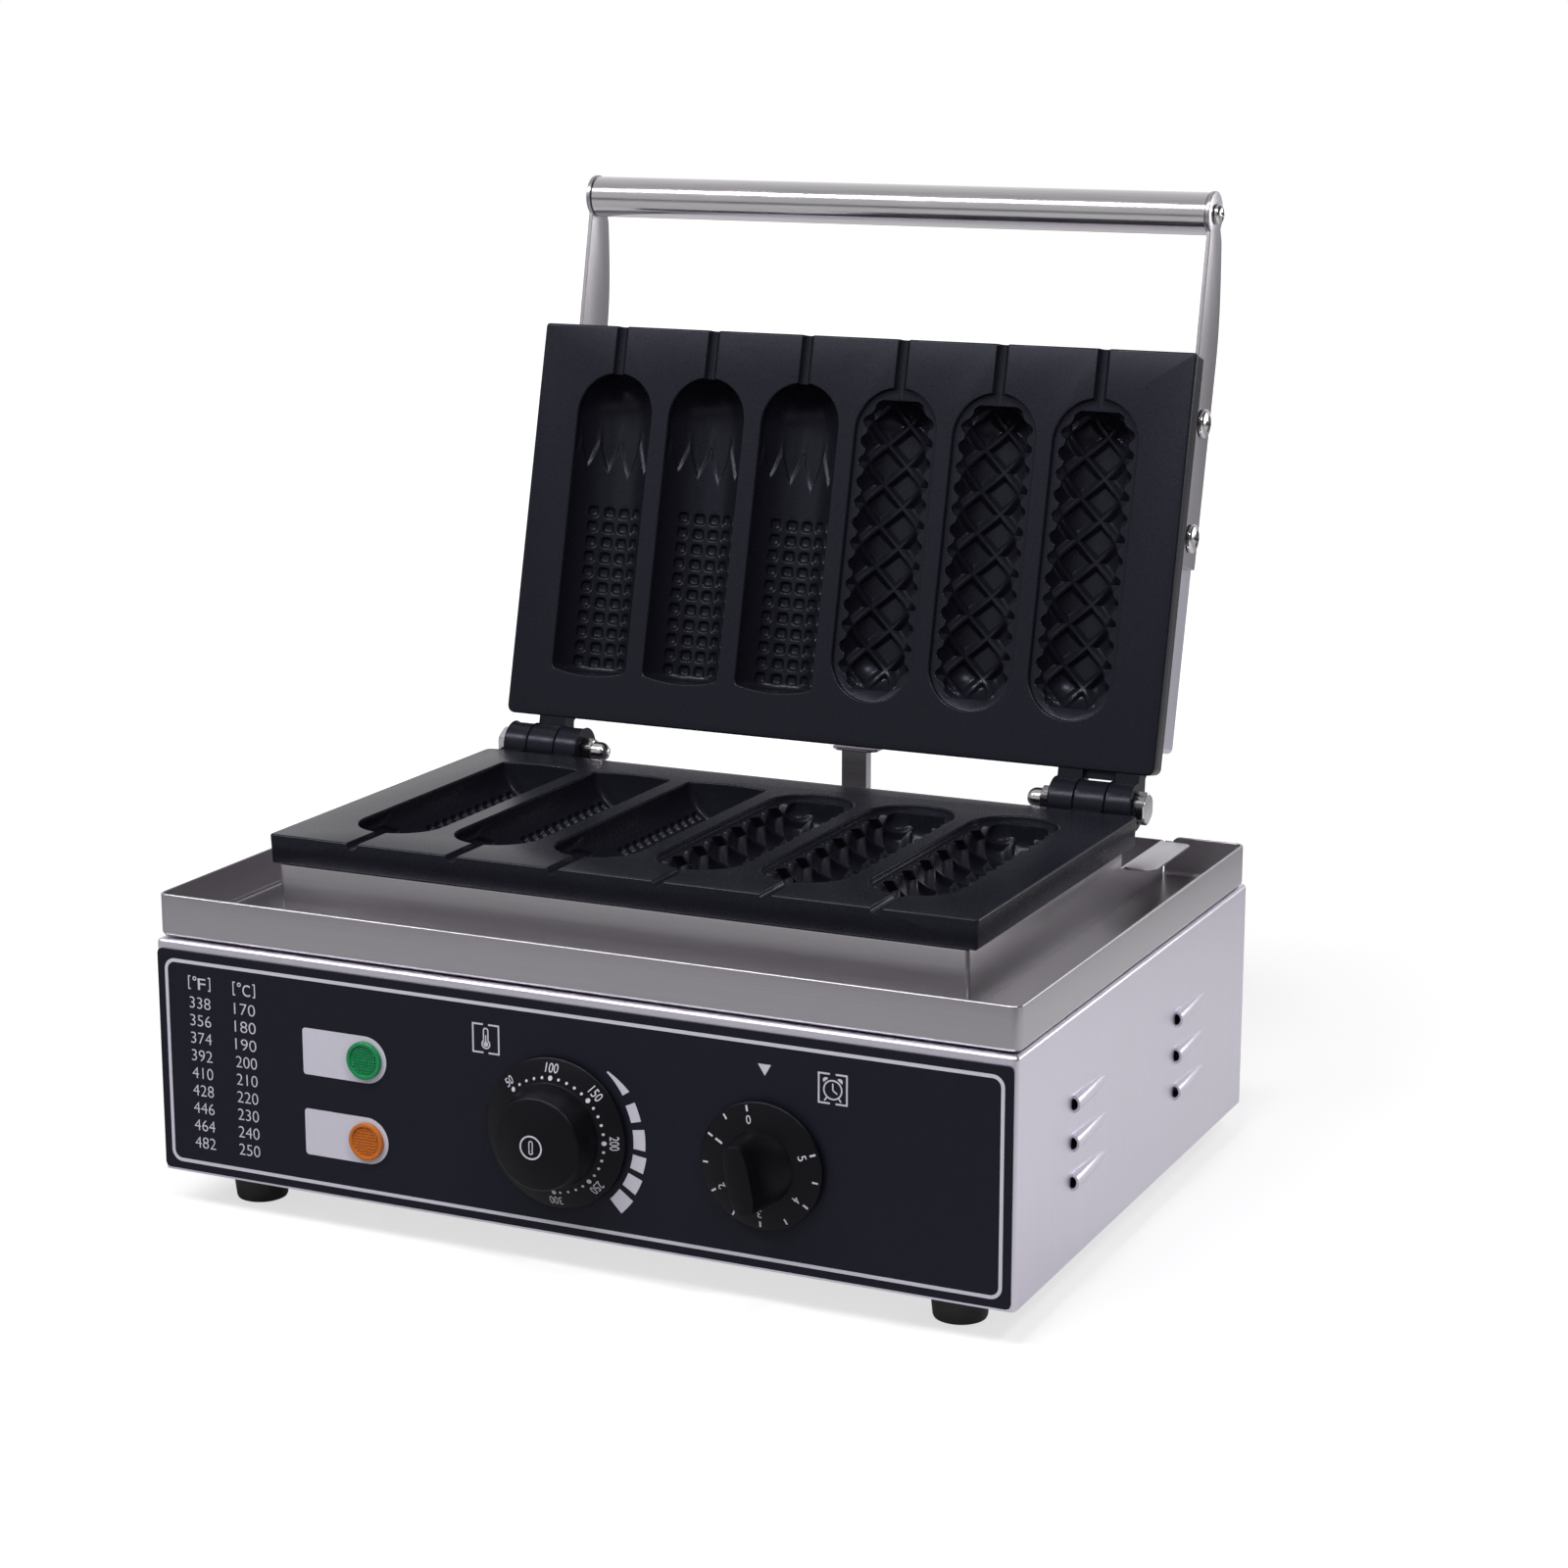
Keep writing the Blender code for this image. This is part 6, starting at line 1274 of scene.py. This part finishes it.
# The bar's height, width and length as shares of its rise and of the hub
BAR_SHARES = ((0.0, 1.0, 1.03), (0.04, 0.94, 1.0), (0.12, 0.84, 0.99), (0.25, 0.68, 0.985),
              (0.4, 0.54, 0.98), (0.55, 0.44, 0.975), (0.7, 0.385, 0.97), (0.85, 0.36, 0.965),
              (0.94, 0.35, 0.955), (0.98, 0.335, 0.94), (1.0, 0.29, 0.90))


def skirt(radius):
    """Bore and foot of a knob's skirt."""
    foot = [(radius - inset, STANDOFF + up) for inset, up in SKIRT_FOOT]
    return [(SHAFT_BORE, BORE_END), (SHAFT_BORE, STANDOFF)] + foot


def temperature_knob():
    profile = skirt(SKIRT_RADIUS)
    profile += [(SKIRT_RADIUS - inset, SKIRT_RIM + up) for inset, up in SKIRT_EDGE]
    profile.append((DIAL_RADIUS, DIAL_HEIGHT))
    profile += [(GRIP_RADIUS + out, DIAL_HEIGHT + up) for out, up in GRIP_FOOT]
    profile.append((FACE_RADIUS + SHOULDER_DRAFT, FACE_EDGE - SHOULDER))
    profile += arc((FACE_RADIUS - SHOULDER, FACE_EDGE - SHOULDER), SHOULDER, *SHOULDER_ANGLES)
    radius, height = profile[-1]
    for step in range(1, DOME_STEPS + 1):
        share = step / DOME_STEPS
        profile.append((max(LEAST_RADIUS, radius * (1 - share)),
                        height + (GRIP_TOP - height) * math.sin(share * math.pi / 2)))
    add("temperature_grip", shape(turn, profile, KNOB_ROUND), TEMPERATURE_AXIS, ["temperature_knob"],
        "knob_black", "temperature_control", KNOB_SHARP)


def timer_knob():
    """Dial skirt with a tapered bar that leans a little to the left."""
    profile = skirt(TIMER_RADIUS)
    profile += [(TIMER_RADIUS - inset, TIMER_RIM + up) for inset, up in TIMER_EDGE]
    profile += [(TIMER_HUB, TIMER_DIAL), (TIMER_SOCKET, TIMER_DIAL), (TIMER_SOCKET, BORE_END)]
    knob = new_object("timer_grip", shape(turn, profile, KNOB_ROUND), TIMER_AXIS)
    rise = TIMER_HEIGHT - TIMER_DIAL
    rings = []
    for up, across, along in BAR_SHARES:
        ring = []
        power = mix(1.0, BAR_SQUARE, min(1, up * BAR_SQUARE_RUN))
        level = TIMER_DIAL - BAR_SINK * (up == 0) + rise * up
        for i in range(ROUND):
            angle = 2 * math.pi * i / ROUND
            c, s = math.cos(angle), math.sin(angle)
            x = TIMER_HUB * across * math.copysign(abs(c) ** power, c)
            y = TIMER_HUB * along * math.copysign(abs(s) ** power, s)
            ring.append((x * math.cos(BAR_LEAN) - y * math.sin(BAR_LEAN),
                         x * math.sin(BAR_LEAN) + y * math.cos(BAR_LEAN), level))
        rings.append(ring)
    boolean(knob, shape(loft, rings), TIMER_AXIS, "UNION")
    finish_piece(knob, ["timer_knob"], "knob_black", "timer_control", KNOB_SHARP)


temperature_knob()
timer_knob()


# Pilot lamps

LENS_RADIUS = 8.0
LENS_STEM = (5.0, 8.0)          # radius, and length behind the panel
LENS_SEAT = 1.1
LENS_RISE = 1.4
LENS_EDGE = 0.5
LENS_RIM = 6.5
LENS_RIM_FALL = ((0.25, 1.9), (0.0, 1.75))      # outside the rim's radius, and above the seat
LENS_FIELD = 6.1
LENS_FIELD_RISE = 1.0
LENS_CENTRE = 0.1
LENS_ROUND = 72
PYRAMID_PITCH = 1.25
PYRAMID_HEIGHT = 0.75
PYRAMID_WIDTH = 0.49            # half width as a share of the pitch
PYRAMID_MARGIN = 0.35           # from the field's edge to the last tips, as a share of the pitch
PYRAMID_SINK = 0.05


def lamp_lens(name, look, level):
    """Round lens with a raised rim and a field of small pyramids."""
    field_level = LENS_SEAT + LENS_FIELD_RISE
    stem, behind = LENS_STEM
    profile = [(stem, -behind), (stem, LENS_SEAT), (LENS_RADIUS, LENS_SEAT)]
    profile += arc((LENS_RADIUS - LENS_EDGE, LENS_SEAT + LENS_RISE), LENS_EDGE, 0, 90, 4)
    profile += [(LENS_RIM + out, LENS_SEAT + up) for out, up in LENS_RIM_FALL]
    profile += [(LENS_FIELD, field_level), (LENS_CENTRE, field_level)]
    turned = Matrix.Translation((LAMP_X, 0, level)) @ Matrix.Rotation(math.pi / 2, 4, "X")
    bm = shape(turn, profile, LENS_ROUND, turned)
    count = int(LENS_FIELD / PYRAMID_PITCH) + 1
    half = PYRAMID_PITCH * PYRAMID_WIDTH
    for i in range(-count, count + 1):
        for j in range(-count, count + 1):
            x, y = i * PYRAMID_PITCH, j * PYRAMID_PITCH
            if math.hypot(x, y) > LENS_FIELD - PYRAMID_PITCH * PYRAMID_MARGIN:
                continue
            base = [bm.verts.new(turned @ Vector((x - sx * half, y - sy * half, field_level - PYRAMID_SINK)))
                    for sx, sy in CORNERS[::-1]]
            tip = bm.verts.new(turned @ Vector((x, y, field_level + PYRAMID_HEIGHT)))
            bm.faces.new(base)
            for a, b in zip(base, base[1:] + base[:1]):
                bm.faces.new((b, a, tip))
    add(name, bm, BASE, [name.replace("cap", "lens")], look)


lamp_lens("power_lamp_cap", "lamp_green", LAMP_LEVELS[0])
lamp_lens("heat_lamp_cap", "lamp_amber", LAMP_LEVELS[1])


# Printing: flat shapes drawn in X and Y, then raised and laid on their surface

INK = 0.06
INK_LIFT = 0.01
LETTER_STEPS = 6


def polygon(bm, points):
    bm.faces.new([bm.verts.new((x, y, 0)) for x, y in points])


def sector(bm, centre, inner, outer, start=0, end=360, steps=16):
    """Part of a ring between two clockwise angles from the top. A pair of radii tapers."""
    inner, outer = (radius if isinstance(radius, tuple) else (radius, radius)
                    for radius in (inner, outer))
    for step in range(steps):
        points = []
        for share in (step / steps, (step + 1) / steps):
            angle = math.radians(90 - mix(start, end, share))
            points.append([(centre[0] + radius * math.cos(angle), centre[1] + radius * math.sin(angle))
                           for radius in (mix(*inner, share), mix(*outer, share))])
        (a, b), (d, c) = points
        polygon(bm, (a, b, c, d) if any(inner) else (a, b, c))


def stroke(bm, start, end, width):
    start, end = Vector(start), Vector(end)
    side = (end - start).normalized().orthogonal() * width / 2
    polygon(bm, (start - side, end - side, end + side, start + side))


def lettering(bm, words, centre, height, width=None, turned=0.0, thin=0.0):
    """Plain figures or signs whose ink fits the height, and the width if one is given."""
    curve = bpy.data.curves.new("words", "FONT")
    curve.body = words
    curve.resolution_u = LETTER_STEPS
    curve.offset = -thin
    made = linked("words", curve)
    graph = bpy.context.evaluated_depsgraph_get()
    mesh = bpy.data.meshes.new_from_object(made.evaluated_get(graph))
    low, high = ([pick(vertex.co[i] for vertex in mesh.vertices) for i in (0, 1)] for pick in (min, max))
    up = height / (high[1] - low[1])
    across = width / (high[0] - low[0]) if width else up
    c, s = math.cos(math.radians(turned)), math.sin(math.radians(turned))
    verts = []
    for vertex in mesh.vertices:
        x = (vertex.co.x - (low[0] + high[0]) / 2) * across
        y = (vertex.co.y - (low[1] + high[1]) / 2) * up
        verts.append(bm.verts.new((centre[0] + x * c + y * s, centre[1] - x * s + y * c, 0)))
    for face in mesh.polygons:
        bm.faces.new([verts[i] for i in face.vertices])
    bpy.data.objects.remove(made)
    bpy.data.curves.remove(curve)
    bpy.data.meshes.remove(mesh)


def printed(name, bm, lay, place, look, body):
    """Give the flat shapes a little thickness, then lay each point on its surface."""
    bmesh.ops.remove_doubles(bm, verts=bm.verts, dist=MERGE / 2)
    bmesh.ops.recalc_face_normals(bm, faces=bm.faces)
    lifted = bmesh.ops.extrude_face_region(bm, geom=list(bm.faces), use_keep_orig=True)
    for part in lifted["geom"]:
        if isinstance(part, bmesh.types.BMVert):
            part.co.z = INK
    for vertex in bm.verts:
        vertex.co = lay(*vertex.co)
    add(name, bm, place, (), look, body, material=PRINT)


# Signs, drawn round their own middle. A ring has its middle, inner and outer radius, clockwise
# start and end, and steps. A line has its two ends and its width
THERMOMETER_SIGN = (
    (((0, -2.3), 1.45, 2.05, 28, 332, 24), ((0, -2.3), 0, 1.05, 0, 360, 20),
     ((0, 3.3), 0.75, 1.3, -90, 90, 12)),
    (((-1.02, -0.55), (-1.02, 3.3), 0.55), ((1.02, -0.55), (1.02, 3.3), 0.55),
     ((0, -1.4), (0, 1.5), 0.5)))
CLOCK_SIGN = (
    (((0, -0.4), 3.45, 4.05, 0, 360, SMALL_ROUND), ((-2.9, 3.2), 0, 1.25, -130, 50, 10),
     ((2.9, 3.2), 0, 1.25, -50, 130, 10)),
    (((0, -0.6), (0, 2.2), 0.55), ((0, -0.5), (1.9, -1.9), 0.55),
     ((-2.5, -3.6), (-3.5, -4.9), 0.6), ((2.5, -3.6), (3.5, -4.9), 0.6)))
BADGE_SIGN = (
    (((0, 0), 4.3, 5.0, 0, 360, 48), ((0, -1.9), 0.55, 1.05, 30, 330, 16),
     ((0, 1.9), 0.5, 0.98, -90, 90, 10)),
    (((-0.75, -1.1), (-0.75, 1.9), 0.45), ((0.75, -1.1), (0.75, 1.9), 0.45)))

PANEL_FRONT = extent("front_overlay", BASE)[0].y
BORDER_HALF = 188.5
BORDER_LEVELS = (4.5, 93.7)
BORDER_CORNER = 5.0
BORDER_LINE = 1.5
SCALE_COUNT = 9
SCALE_TOP = 75.7
SCALE_BOTTOM = 14.3
SCALE_FIGURES = (4.9, 10.3)     # height and width
FIGURE_THIN = 0.012             # how far a figure's outline is drawn in, over its font's height
SCALE_HEAD = 84.3
UNIT_BRACKETS = (4.9, 6.0, 1.2)         # distance from the middle, height and width
UNIT_DEGREE = ((-2.3, 1.9), 0.5, 0.95)  # place, inner and outer radius
UNIT_LETTER = ((1.2, -0.3), 5.0, 3.8)   # place, height and width
# Middle, first number, step and letter of each column
SCALE_COLUMNS = ((-171.5, 338, 18, "F"), (-149.4, 170, 10, "C"))
ICON_SIZE = 12.5
ICON_LINE = 0.7
ICON_GAP = 1.2
THERMOMETER = (CONTROL_X[0] - 32.3, 78.5)
CLOCK = (CONTROL_X[1] + 29.1, 78.7)
POINTER = ((-2.6, 84.7), (3.0, 84.7), (0.4, 80.1))      # beside the timer's axis
# Start and end of each wedge beside the temperature knob, in clockwise degrees from the top
WEDGES = ((39, 57), (64, 76), (81, 94), (98, 108), (112, 122), (126, 137))
WEDGE_INNER = 34.0
WEDGE_WIDTHS = (3.8, 7.4)
WEDGE_STEPS = 6
THIN_WEDGE = ((35.6, 35.0), (36.3, 38.5))               # inner and outer radius at both ends
THIN_WEDGE_STEPS = 8
LABEL_LEFT = -121.3
LABEL_CORNER = 1.5
LABEL_HALF = 8.5
LABEL_RADIUS = 10.0
LABEL_STEPS = 32


def frame_icon(bm, centre):
    """Square of thin lines, open in the middle of its top and bottom."""
    half = ICON_SIZE / 2
    for sx in (-1, 1):
        x = centre[0] + sx * (half - ICON_LINE / 2)
        stroke(bm, (x, centre[1] - half), (x, centre[1] + half), ICON_LINE)
        for sy in (-1, 1):
            y = centre[1] + sy * (half - ICON_LINE / 2)
            stroke(bm, (centre[0] + sx * ICON_GAP, y), (centre[0] + sx * (half - ICON_LINE), y), ICON_LINE)


def sign(bm, centre, rings, lines):
    """A small drawing made of ring parts and lines."""

    def at(point):
        return centre[0] + point[0], centre[1] + point[1]

    for middle, *ring in rings:
        sector(bm, at(middle), *ring)
    for start, end, width in lines:
        stroke(bm, at(start), at(end), width)


def border(bm):
    low, high = BORDER_LEVELS
    outlines = []
    for inset in (0, BORDER_LINE):
        outline = rounded_rectangle(2 * (BORDER_HALF - inset), high - low - 2 * inset, BORDER_CORNER - inset)
        outlines.append([(x, (low + high) / 2 + z) for x, z in outline])
    outer, inner = outlines
    for i in range(len(outer)):
        polygon(bm, (outer[i - 1], outer[i], inner[i], inner[i - 1]))


def scale_column(bm, x, first, step, letter):
    """A unit in square brackets over a column of numbers."""
    apart, *size = UNIT_BRACKETS
    for side, bracket in ((-1, "["), (1, "]")):
        lettering(bm, bracket, (x + side * apart, SCALE_HEAD), *size)
    spot, *radii = UNIT_DEGREE
    sector(bm, (x + spot[0], SCALE_HEAD + spot[1]), *radii)
    spot, *size = UNIT_LETTER
    lettering(bm, letter, (x + spot[0], SCALE_HEAD + spot[1]), *size)
    for row in range(SCALE_COUNT):
        level = mix(SCALE_TOP, SCALE_BOTTOM, row / (SCALE_COUNT - 1))
        lettering(bm, str(first + step * row), (x, level), *SCALE_FIGURES, thin=FIGURE_THIN)


def panel_print():
    bm = shape(border)
    for column in SCALE_COLUMNS:
        scale_column(bm, *column)
    frame_icon(bm, THERMOMETER)
    sign(bm, THERMOMETER, *THERMOMETER_SIGN)
    frame_icon(bm, CLOCK)
    sign(bm, CLOCK, *CLOCK_SIGN)
    polygon(bm, [(CONTROL_X[1] + x, y) for x, y in POINTER])
    knob = (CONTROL_X[0], CONTROL_LEVEL)
    sector(bm, knob, *THIN_WEDGE, *WEDGES[0], THIN_WEDGE_STEPS)
    for number, (start, end) in enumerate(WEDGES[1:], 1):
        outer = WEDGE_INNER + mix(*WEDGE_WIDTHS, number / (len(WEDGES) - 1))
        sector(bm, knob, WEDGE_INNER, outer, start, end, WEDGE_STEPS)
    printed("panel_print", bm, on_panel, BASE, "overlay_black", "base")

    bm = bmesh.new()
    left = LABEL_LEFT + LABEL_CORNER
    for level in LAMP_LEVELS:
        outline = arc((LAMP_X, level), LABEL_RADIUS, -90, 90, LABEL_STEPS)
        outline += arc((left, level + LABEL_HALF), LABEL_CORNER, 90, 180)
        outline += arc((left, level - LABEL_HALF), LABEL_CORNER, 180, 270)
        polygon(bm, outline)
    printed("lamp_plates", bm, on_panel, BASE, "overlay_black", "base")


def on_panel(x, y, z):
    return Vector((x, PANEL_FRONT - INK_LIFT - z, y))


def on_dial(radius_in, height_in, radius_out, height_out):
    """Lays a point of a dial's plan on the cone between two radii."""

    def lay(x, y, z):
        share = (math.hypot(x, y) - radius_in) / (radius_out - radius_in)
        return Vector((x, y, mix(height_in, height_out, share) + INK_LIFT + z))

    return lay


def on_crown(x, y, z):
    return Vector((x, y, GRIP_TOP + 2 * INK_LIFT + z - CROWN_FALL * (x * x + y * y)))


def dial_spot(radius, degrees):
    angle = math.radians(degrees)
    return radius * math.sin(angle), radius * math.cos(angle)


CROWN_FALL = 0.0006             # fall of the knob's crown over the square of the radius
HEATS = {-45: "50", 0: "100", 45: "150", 90: "200", 135: "250", 178: "300"}
HEAT_STEP = 9                   # degrees between dots
HEAT_STEPS = (-5, 20)           # the last dot stands at the last number instead
HEAT_RADIUS = 27.6
HEAT_HEIGHT = 3.6
HEAT_WIDTH = 1.9                # of one figure
DOT_RADIUS = 23.8
DIAL_SINK = 0.02                # how far the print's cone lies below the rim
DOTS = (0.95, 0.58)             # radii of the dots at a number and between
DOTS_PER_NUMBER = 5
ZERO_MARK = 198
ZERO_REACH = 0.8
ZERO_WIDTH = 0.9
MINUTES = (-14, -65, -122, -180, -235, -289)
MINUTE_RADIUS = 19.2
TICK = (22.4, 24.8)             # radii of a tick's two ends
TICK_WIDTH = 0.8
HALF_TICK_WIDTH = 0.7
MINUTE_HEIGHT = 3.4
MINUTE_WIDTHS = {1: 0.9}        # a one is narrower than the other figures
MINUTE_WIDTH = 2.0


def temperature_print():
    bm = bmesh.new()
    for angle, words in HEATS.items():
        width = HEAT_WIDTH * len(words)
        lettering(bm, words, dial_spot(HEAT_RADIUS, angle), HEAT_HEIGHT, width, turned=angle)
    first, last = HEAT_STEPS
    for step in range(first, last + 1):
        angle = step * HEAT_STEP if step < last else max(HEATS)
        sector(bm, dial_spot(DOT_RADIUS, angle), 0, DOTS[step % DOTS_PER_NUMBER != 0])
    stroke(bm, dial_spot(DOT_RADIUS - ZERO_REACH, ZERO_MARK),
           dial_spot(DOT_RADIUS + ZERO_REACH, ZERO_MARK), ZERO_WIDTH)
    lay = on_dial(DIAL_RADIUS, DIAL_HEIGHT, SKIRT_RADIUS, SKIRT_RIM - DIAL_SINK)
    printed("temperature_dial_print", bm, lay, TEMPERATURE_AXIS, "knob_black", "temperature_control")
    bm = bmesh.new()
    sign(bm, (0, 0), *BADGE_SIGN)
    printed("temperature_badge_print", bm, on_crown, TEMPERATURE_AXIS, "knob_black", "temperature_control")


def timer_print():
    bm = bmesh.new()
    for number, angle in enumerate(MINUTES):
        width = MINUTE_WIDTHS.get(number, MINUTE_WIDTH)
        lettering(bm, str(number), dial_spot(MINUTE_RADIUS, angle), MINUTE_HEIGHT, width, turned=angle)
    halves = [(start + end) / 2 for start, end in zip(MINUTES, MINUTES[1:])]
    for angles, width in ((MINUTES, TICK_WIDTH), (halves, HALF_TICK_WIDTH)):
        for angle in angles:
            stroke(bm, *(dial_spot(radius, angle) for radius in TICK), width)
    printed("timer_dial_print", bm, on_dial(TIMER_HUB, TIMER_DIAL, TIMER_RADIUS, TIMER_RIM), TIMER_AXIS,
            "knob_black", "timer_control")


panel_print()
temperature_print()
timer_print()


# CAD pieces that stay as they are take their slot's surface

SLOT_OF = {entry["node"]: entry["material_slot"] for entry in frame["record"]["subparts"]}
for node, made in frame["nodes"].items():
    made.data.materials.clear()
    made.data.materials.append(LOOKS[SLOT_OF[node]])


# Stage: floor and soft lights, whose lengths are in metres

FLOOR_SIZE = 6
FLOOR_DROP = 0.0005
FLOOR_COLOUR = (0.37, 0.37, 0.38, 1)
FLOOR_ROUGHNESS = 0.9
FADE_REACH = (0.35, 1.1)        # distances over which the floor fades into the backdrop
FADE_LEVELS = (0.66, 1.0)
CARD_WAY = (0.42, 0.90, 0)      # direction, distance, reach and strength of the floor's glow
CARD_DISTANCE = 0.3
CARD_REACH = (0.2, 0.6)
CARD_LEVELS = (0.33, 0.0)
AIM = (0, 0, 0.3)
# Place, aim, size and power of each light
LIGHTS = {
    "overhead": ((-0.40, -1.05, 1.42), AIM, (1.0, 0.25), 13),
    "key": ((0.26, -0.75, 1.75), AIM, (0.34, 0.26), 9),
    "left_front": ((-1.16, -0.85, 1.33), AIM, (0.28, 0.3), 7),
    "right_front": ((1.04, -0.87, 1.39), AIM, (0.24, 0.28), 8),
    "right_side": ((1.5, 1.5, 0.5), (0, 0, 0.15), (1.1, 0.6), 9),
}
MATT_LIGHT = 0.35
# Brightness by angle, from below the front over the top to the back
BANDS = ((-180, 0.9), (-100, 0.3), (-40, 0.35), (-8, 0.44), (10, 0.48), (30, 0.42), (50, 0.3),
         (110, 0.6), (150, 0.8), (180, 0.9))
BAND_BLUE = 1.02
SHADE_RUN = (0.0, 0.6)          # share of a direction along X over which the bands darken
SHADE_LEVELS = (1.0, 0.12)


def floor_material():
    """Matt floor that to the camera fades into the white backdrop away from the object.

    Glossy surfaces see it glow towards the back right, as if a white card lay there.
    """
    made = bpy.data.materials.new("pale_floor")
    made.use_nodes = True
    tree = made.node_tree
    path = add_node(tree, "LightPath").outputs
    place = add_node(tree, "TexCoord").outputs["Object"]
    away = add_node(tree, "VectorMath", {0: place}, operation="LENGTH").outputs["Value"]
    fade = calculate(tree, "MULTIPLY", path["Is Camera Ray"], ranged(tree, away, FADE_REACH, FADE_LEVELS))
    behind = add_node(tree, "VectorMath", {0: place, 1: CARD_WAY}, operation="DOT_PRODUCT")
    apart = calculate(tree, "SUBTRACT", behind.outputs["Value"], CARD_DISTANCE)
    card = ranged(tree, calculate(tree, "ABSOLUTE", apart), CARD_REACH, CARD_LEVELS)
    glow = calculate(tree, "MULTIPLY_ADD", path["Is Glossy Ray"], card, fade)
    wire(principled(made), {"Base Color": FLOOR_COLOUR, "Roughness": FLOOR_ROUGHNESS,
                            "Emission Color": (1, 1, 1, 1), "Emission Strength": glow})
    return made


def area_light(name, place, aim, size, power):
    data = bpy.data.lights.new(name, "AREA")
    data.shape = "RECTANGLE"
    data.size, data.size_y = size
    data.energy = power
    made = linked(name, data)
    made.location = place
    made.rotation_euler = (Vector(aim) - Vector(place)).to_track_quat("-Z", "Y").to_euler()
    return made


def choose(tree, factor, a, b):
    """Colour a where the factor is 0 and b where it is 1, by a Mix node's two colour inputs."""
    return add_node(tree, "Mix", {"Factor": factor, 6: a, 7: b}, data_type="RGBA").outputs[2]


def world_light():
    """White for the camera, dim for matt surfaces, and a banded studio for glossy ones.

    The bands run from below the front over the top to the back, and darken to the right.
    """
    world = bpy.data.worlds.new("studio")
    bpy.context.scene.world = world
    world.use_nodes = True
    tree = world.node_tree
    tree.nodes.clear()
    path = add_node(tree, "LightPath").outputs
    where = add_node(tree, "TexCoord").outputs["Generated"]
    split = add_node(tree, "SeparateXYZ", {"Vector": where}).outputs
    angle = calculate(tree, "ARCTAN2", split["Z"], calculate(tree, "MULTIPLY", split["Y"], -1.0))
    share = calculate(tree, "DIVIDE", calculate(tree, "ADD", angle, math.pi), 2 * math.pi)
    ramp = add_node(tree, "ValToRGB", {"Fac": share})
    elements = ramp.color_ramp.elements
    elements.remove(elements[-1])
    for number, (degrees, level) in enumerate(BANDS):
        at = (degrees + 180) / 360
        element = elements.new(at) if number else elements[0]
        element.position = at
        element.color = (level, level, level * BAND_BLUE, 1)
    fall = ranged(tree, split["X"], SHADE_RUN, SHADE_LEVELS)
    shaded = add_node(tree, "VectorMath", {0: ramp.outputs["Color"], "Scale": fall}, operation="SCALE")
    matt = choose(tree, path["Is Glossy Ray"], (*(MATT_LIGHT,) * 3, 1), shaded.outputs["Vector"])
    seen = choose(tree, path["Is Camera Ray"], matt, (1, 1, 1, 1))
    shader = add_node(tree, "Background", {"Color": seen})
    add_node(tree, "OutputWorld", {"Surface": shader.outputs["Background"]})


def studio():
    bm = bmesh.new()
    bmesh.ops.create_grid(bm, x_segments=1, y_segments=1, size=FLOOR_SIZE)
    mesh = bpy.data.meshes.new("floor")
    bm.to_mesh(mesh)
    bm.free()
    mesh.materials.append(floor_material())
    floor = linked("floor", mesh)
    floor.location.z = CAD_BOX[0].z - FLOOR_DROP
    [area_light(name, *values) for name, values in LIGHTS.items()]
    world_light()


# Camera, aimed at a point in the millimetres of the base

CAMERA_AZIMUTH = math.radians(25.11)
CAMERA_ELEVATION = math.radians(13.15)
CAMERA_TARGET = (12.79, 180.0, 149.64)
CAMERA_DISTANCE = 1486.16
CAMERA_LENS = 78.14
FILM_WIDTH = 36.0


def camera():
    data = bpy.data.cameras.new("camera")
    data.lens = CAMERA_LENS
    data.sensor_width = FILM_WIDTH
    made = linked("camera", data)
    level = math.cos(CAMERA_ELEVATION)
    back = Vector((math.sin(CAMERA_AZIMUTH) * level, -math.cos(CAMERA_AZIMUTH) * level,
                   math.sin(CAMERA_ELEVATION)))
    made.location = BASE @ Vector(CAMERA_TARGET) + back * CAMERA_DISTANCE * MM
    made.rotation_euler = (-back).to_track_quat("-Z", "Y").to_euler()
    bpy.context.scene.camera = made


studio()
camera()
bpy.context.scene.view_settings.view_transform = "Standard"
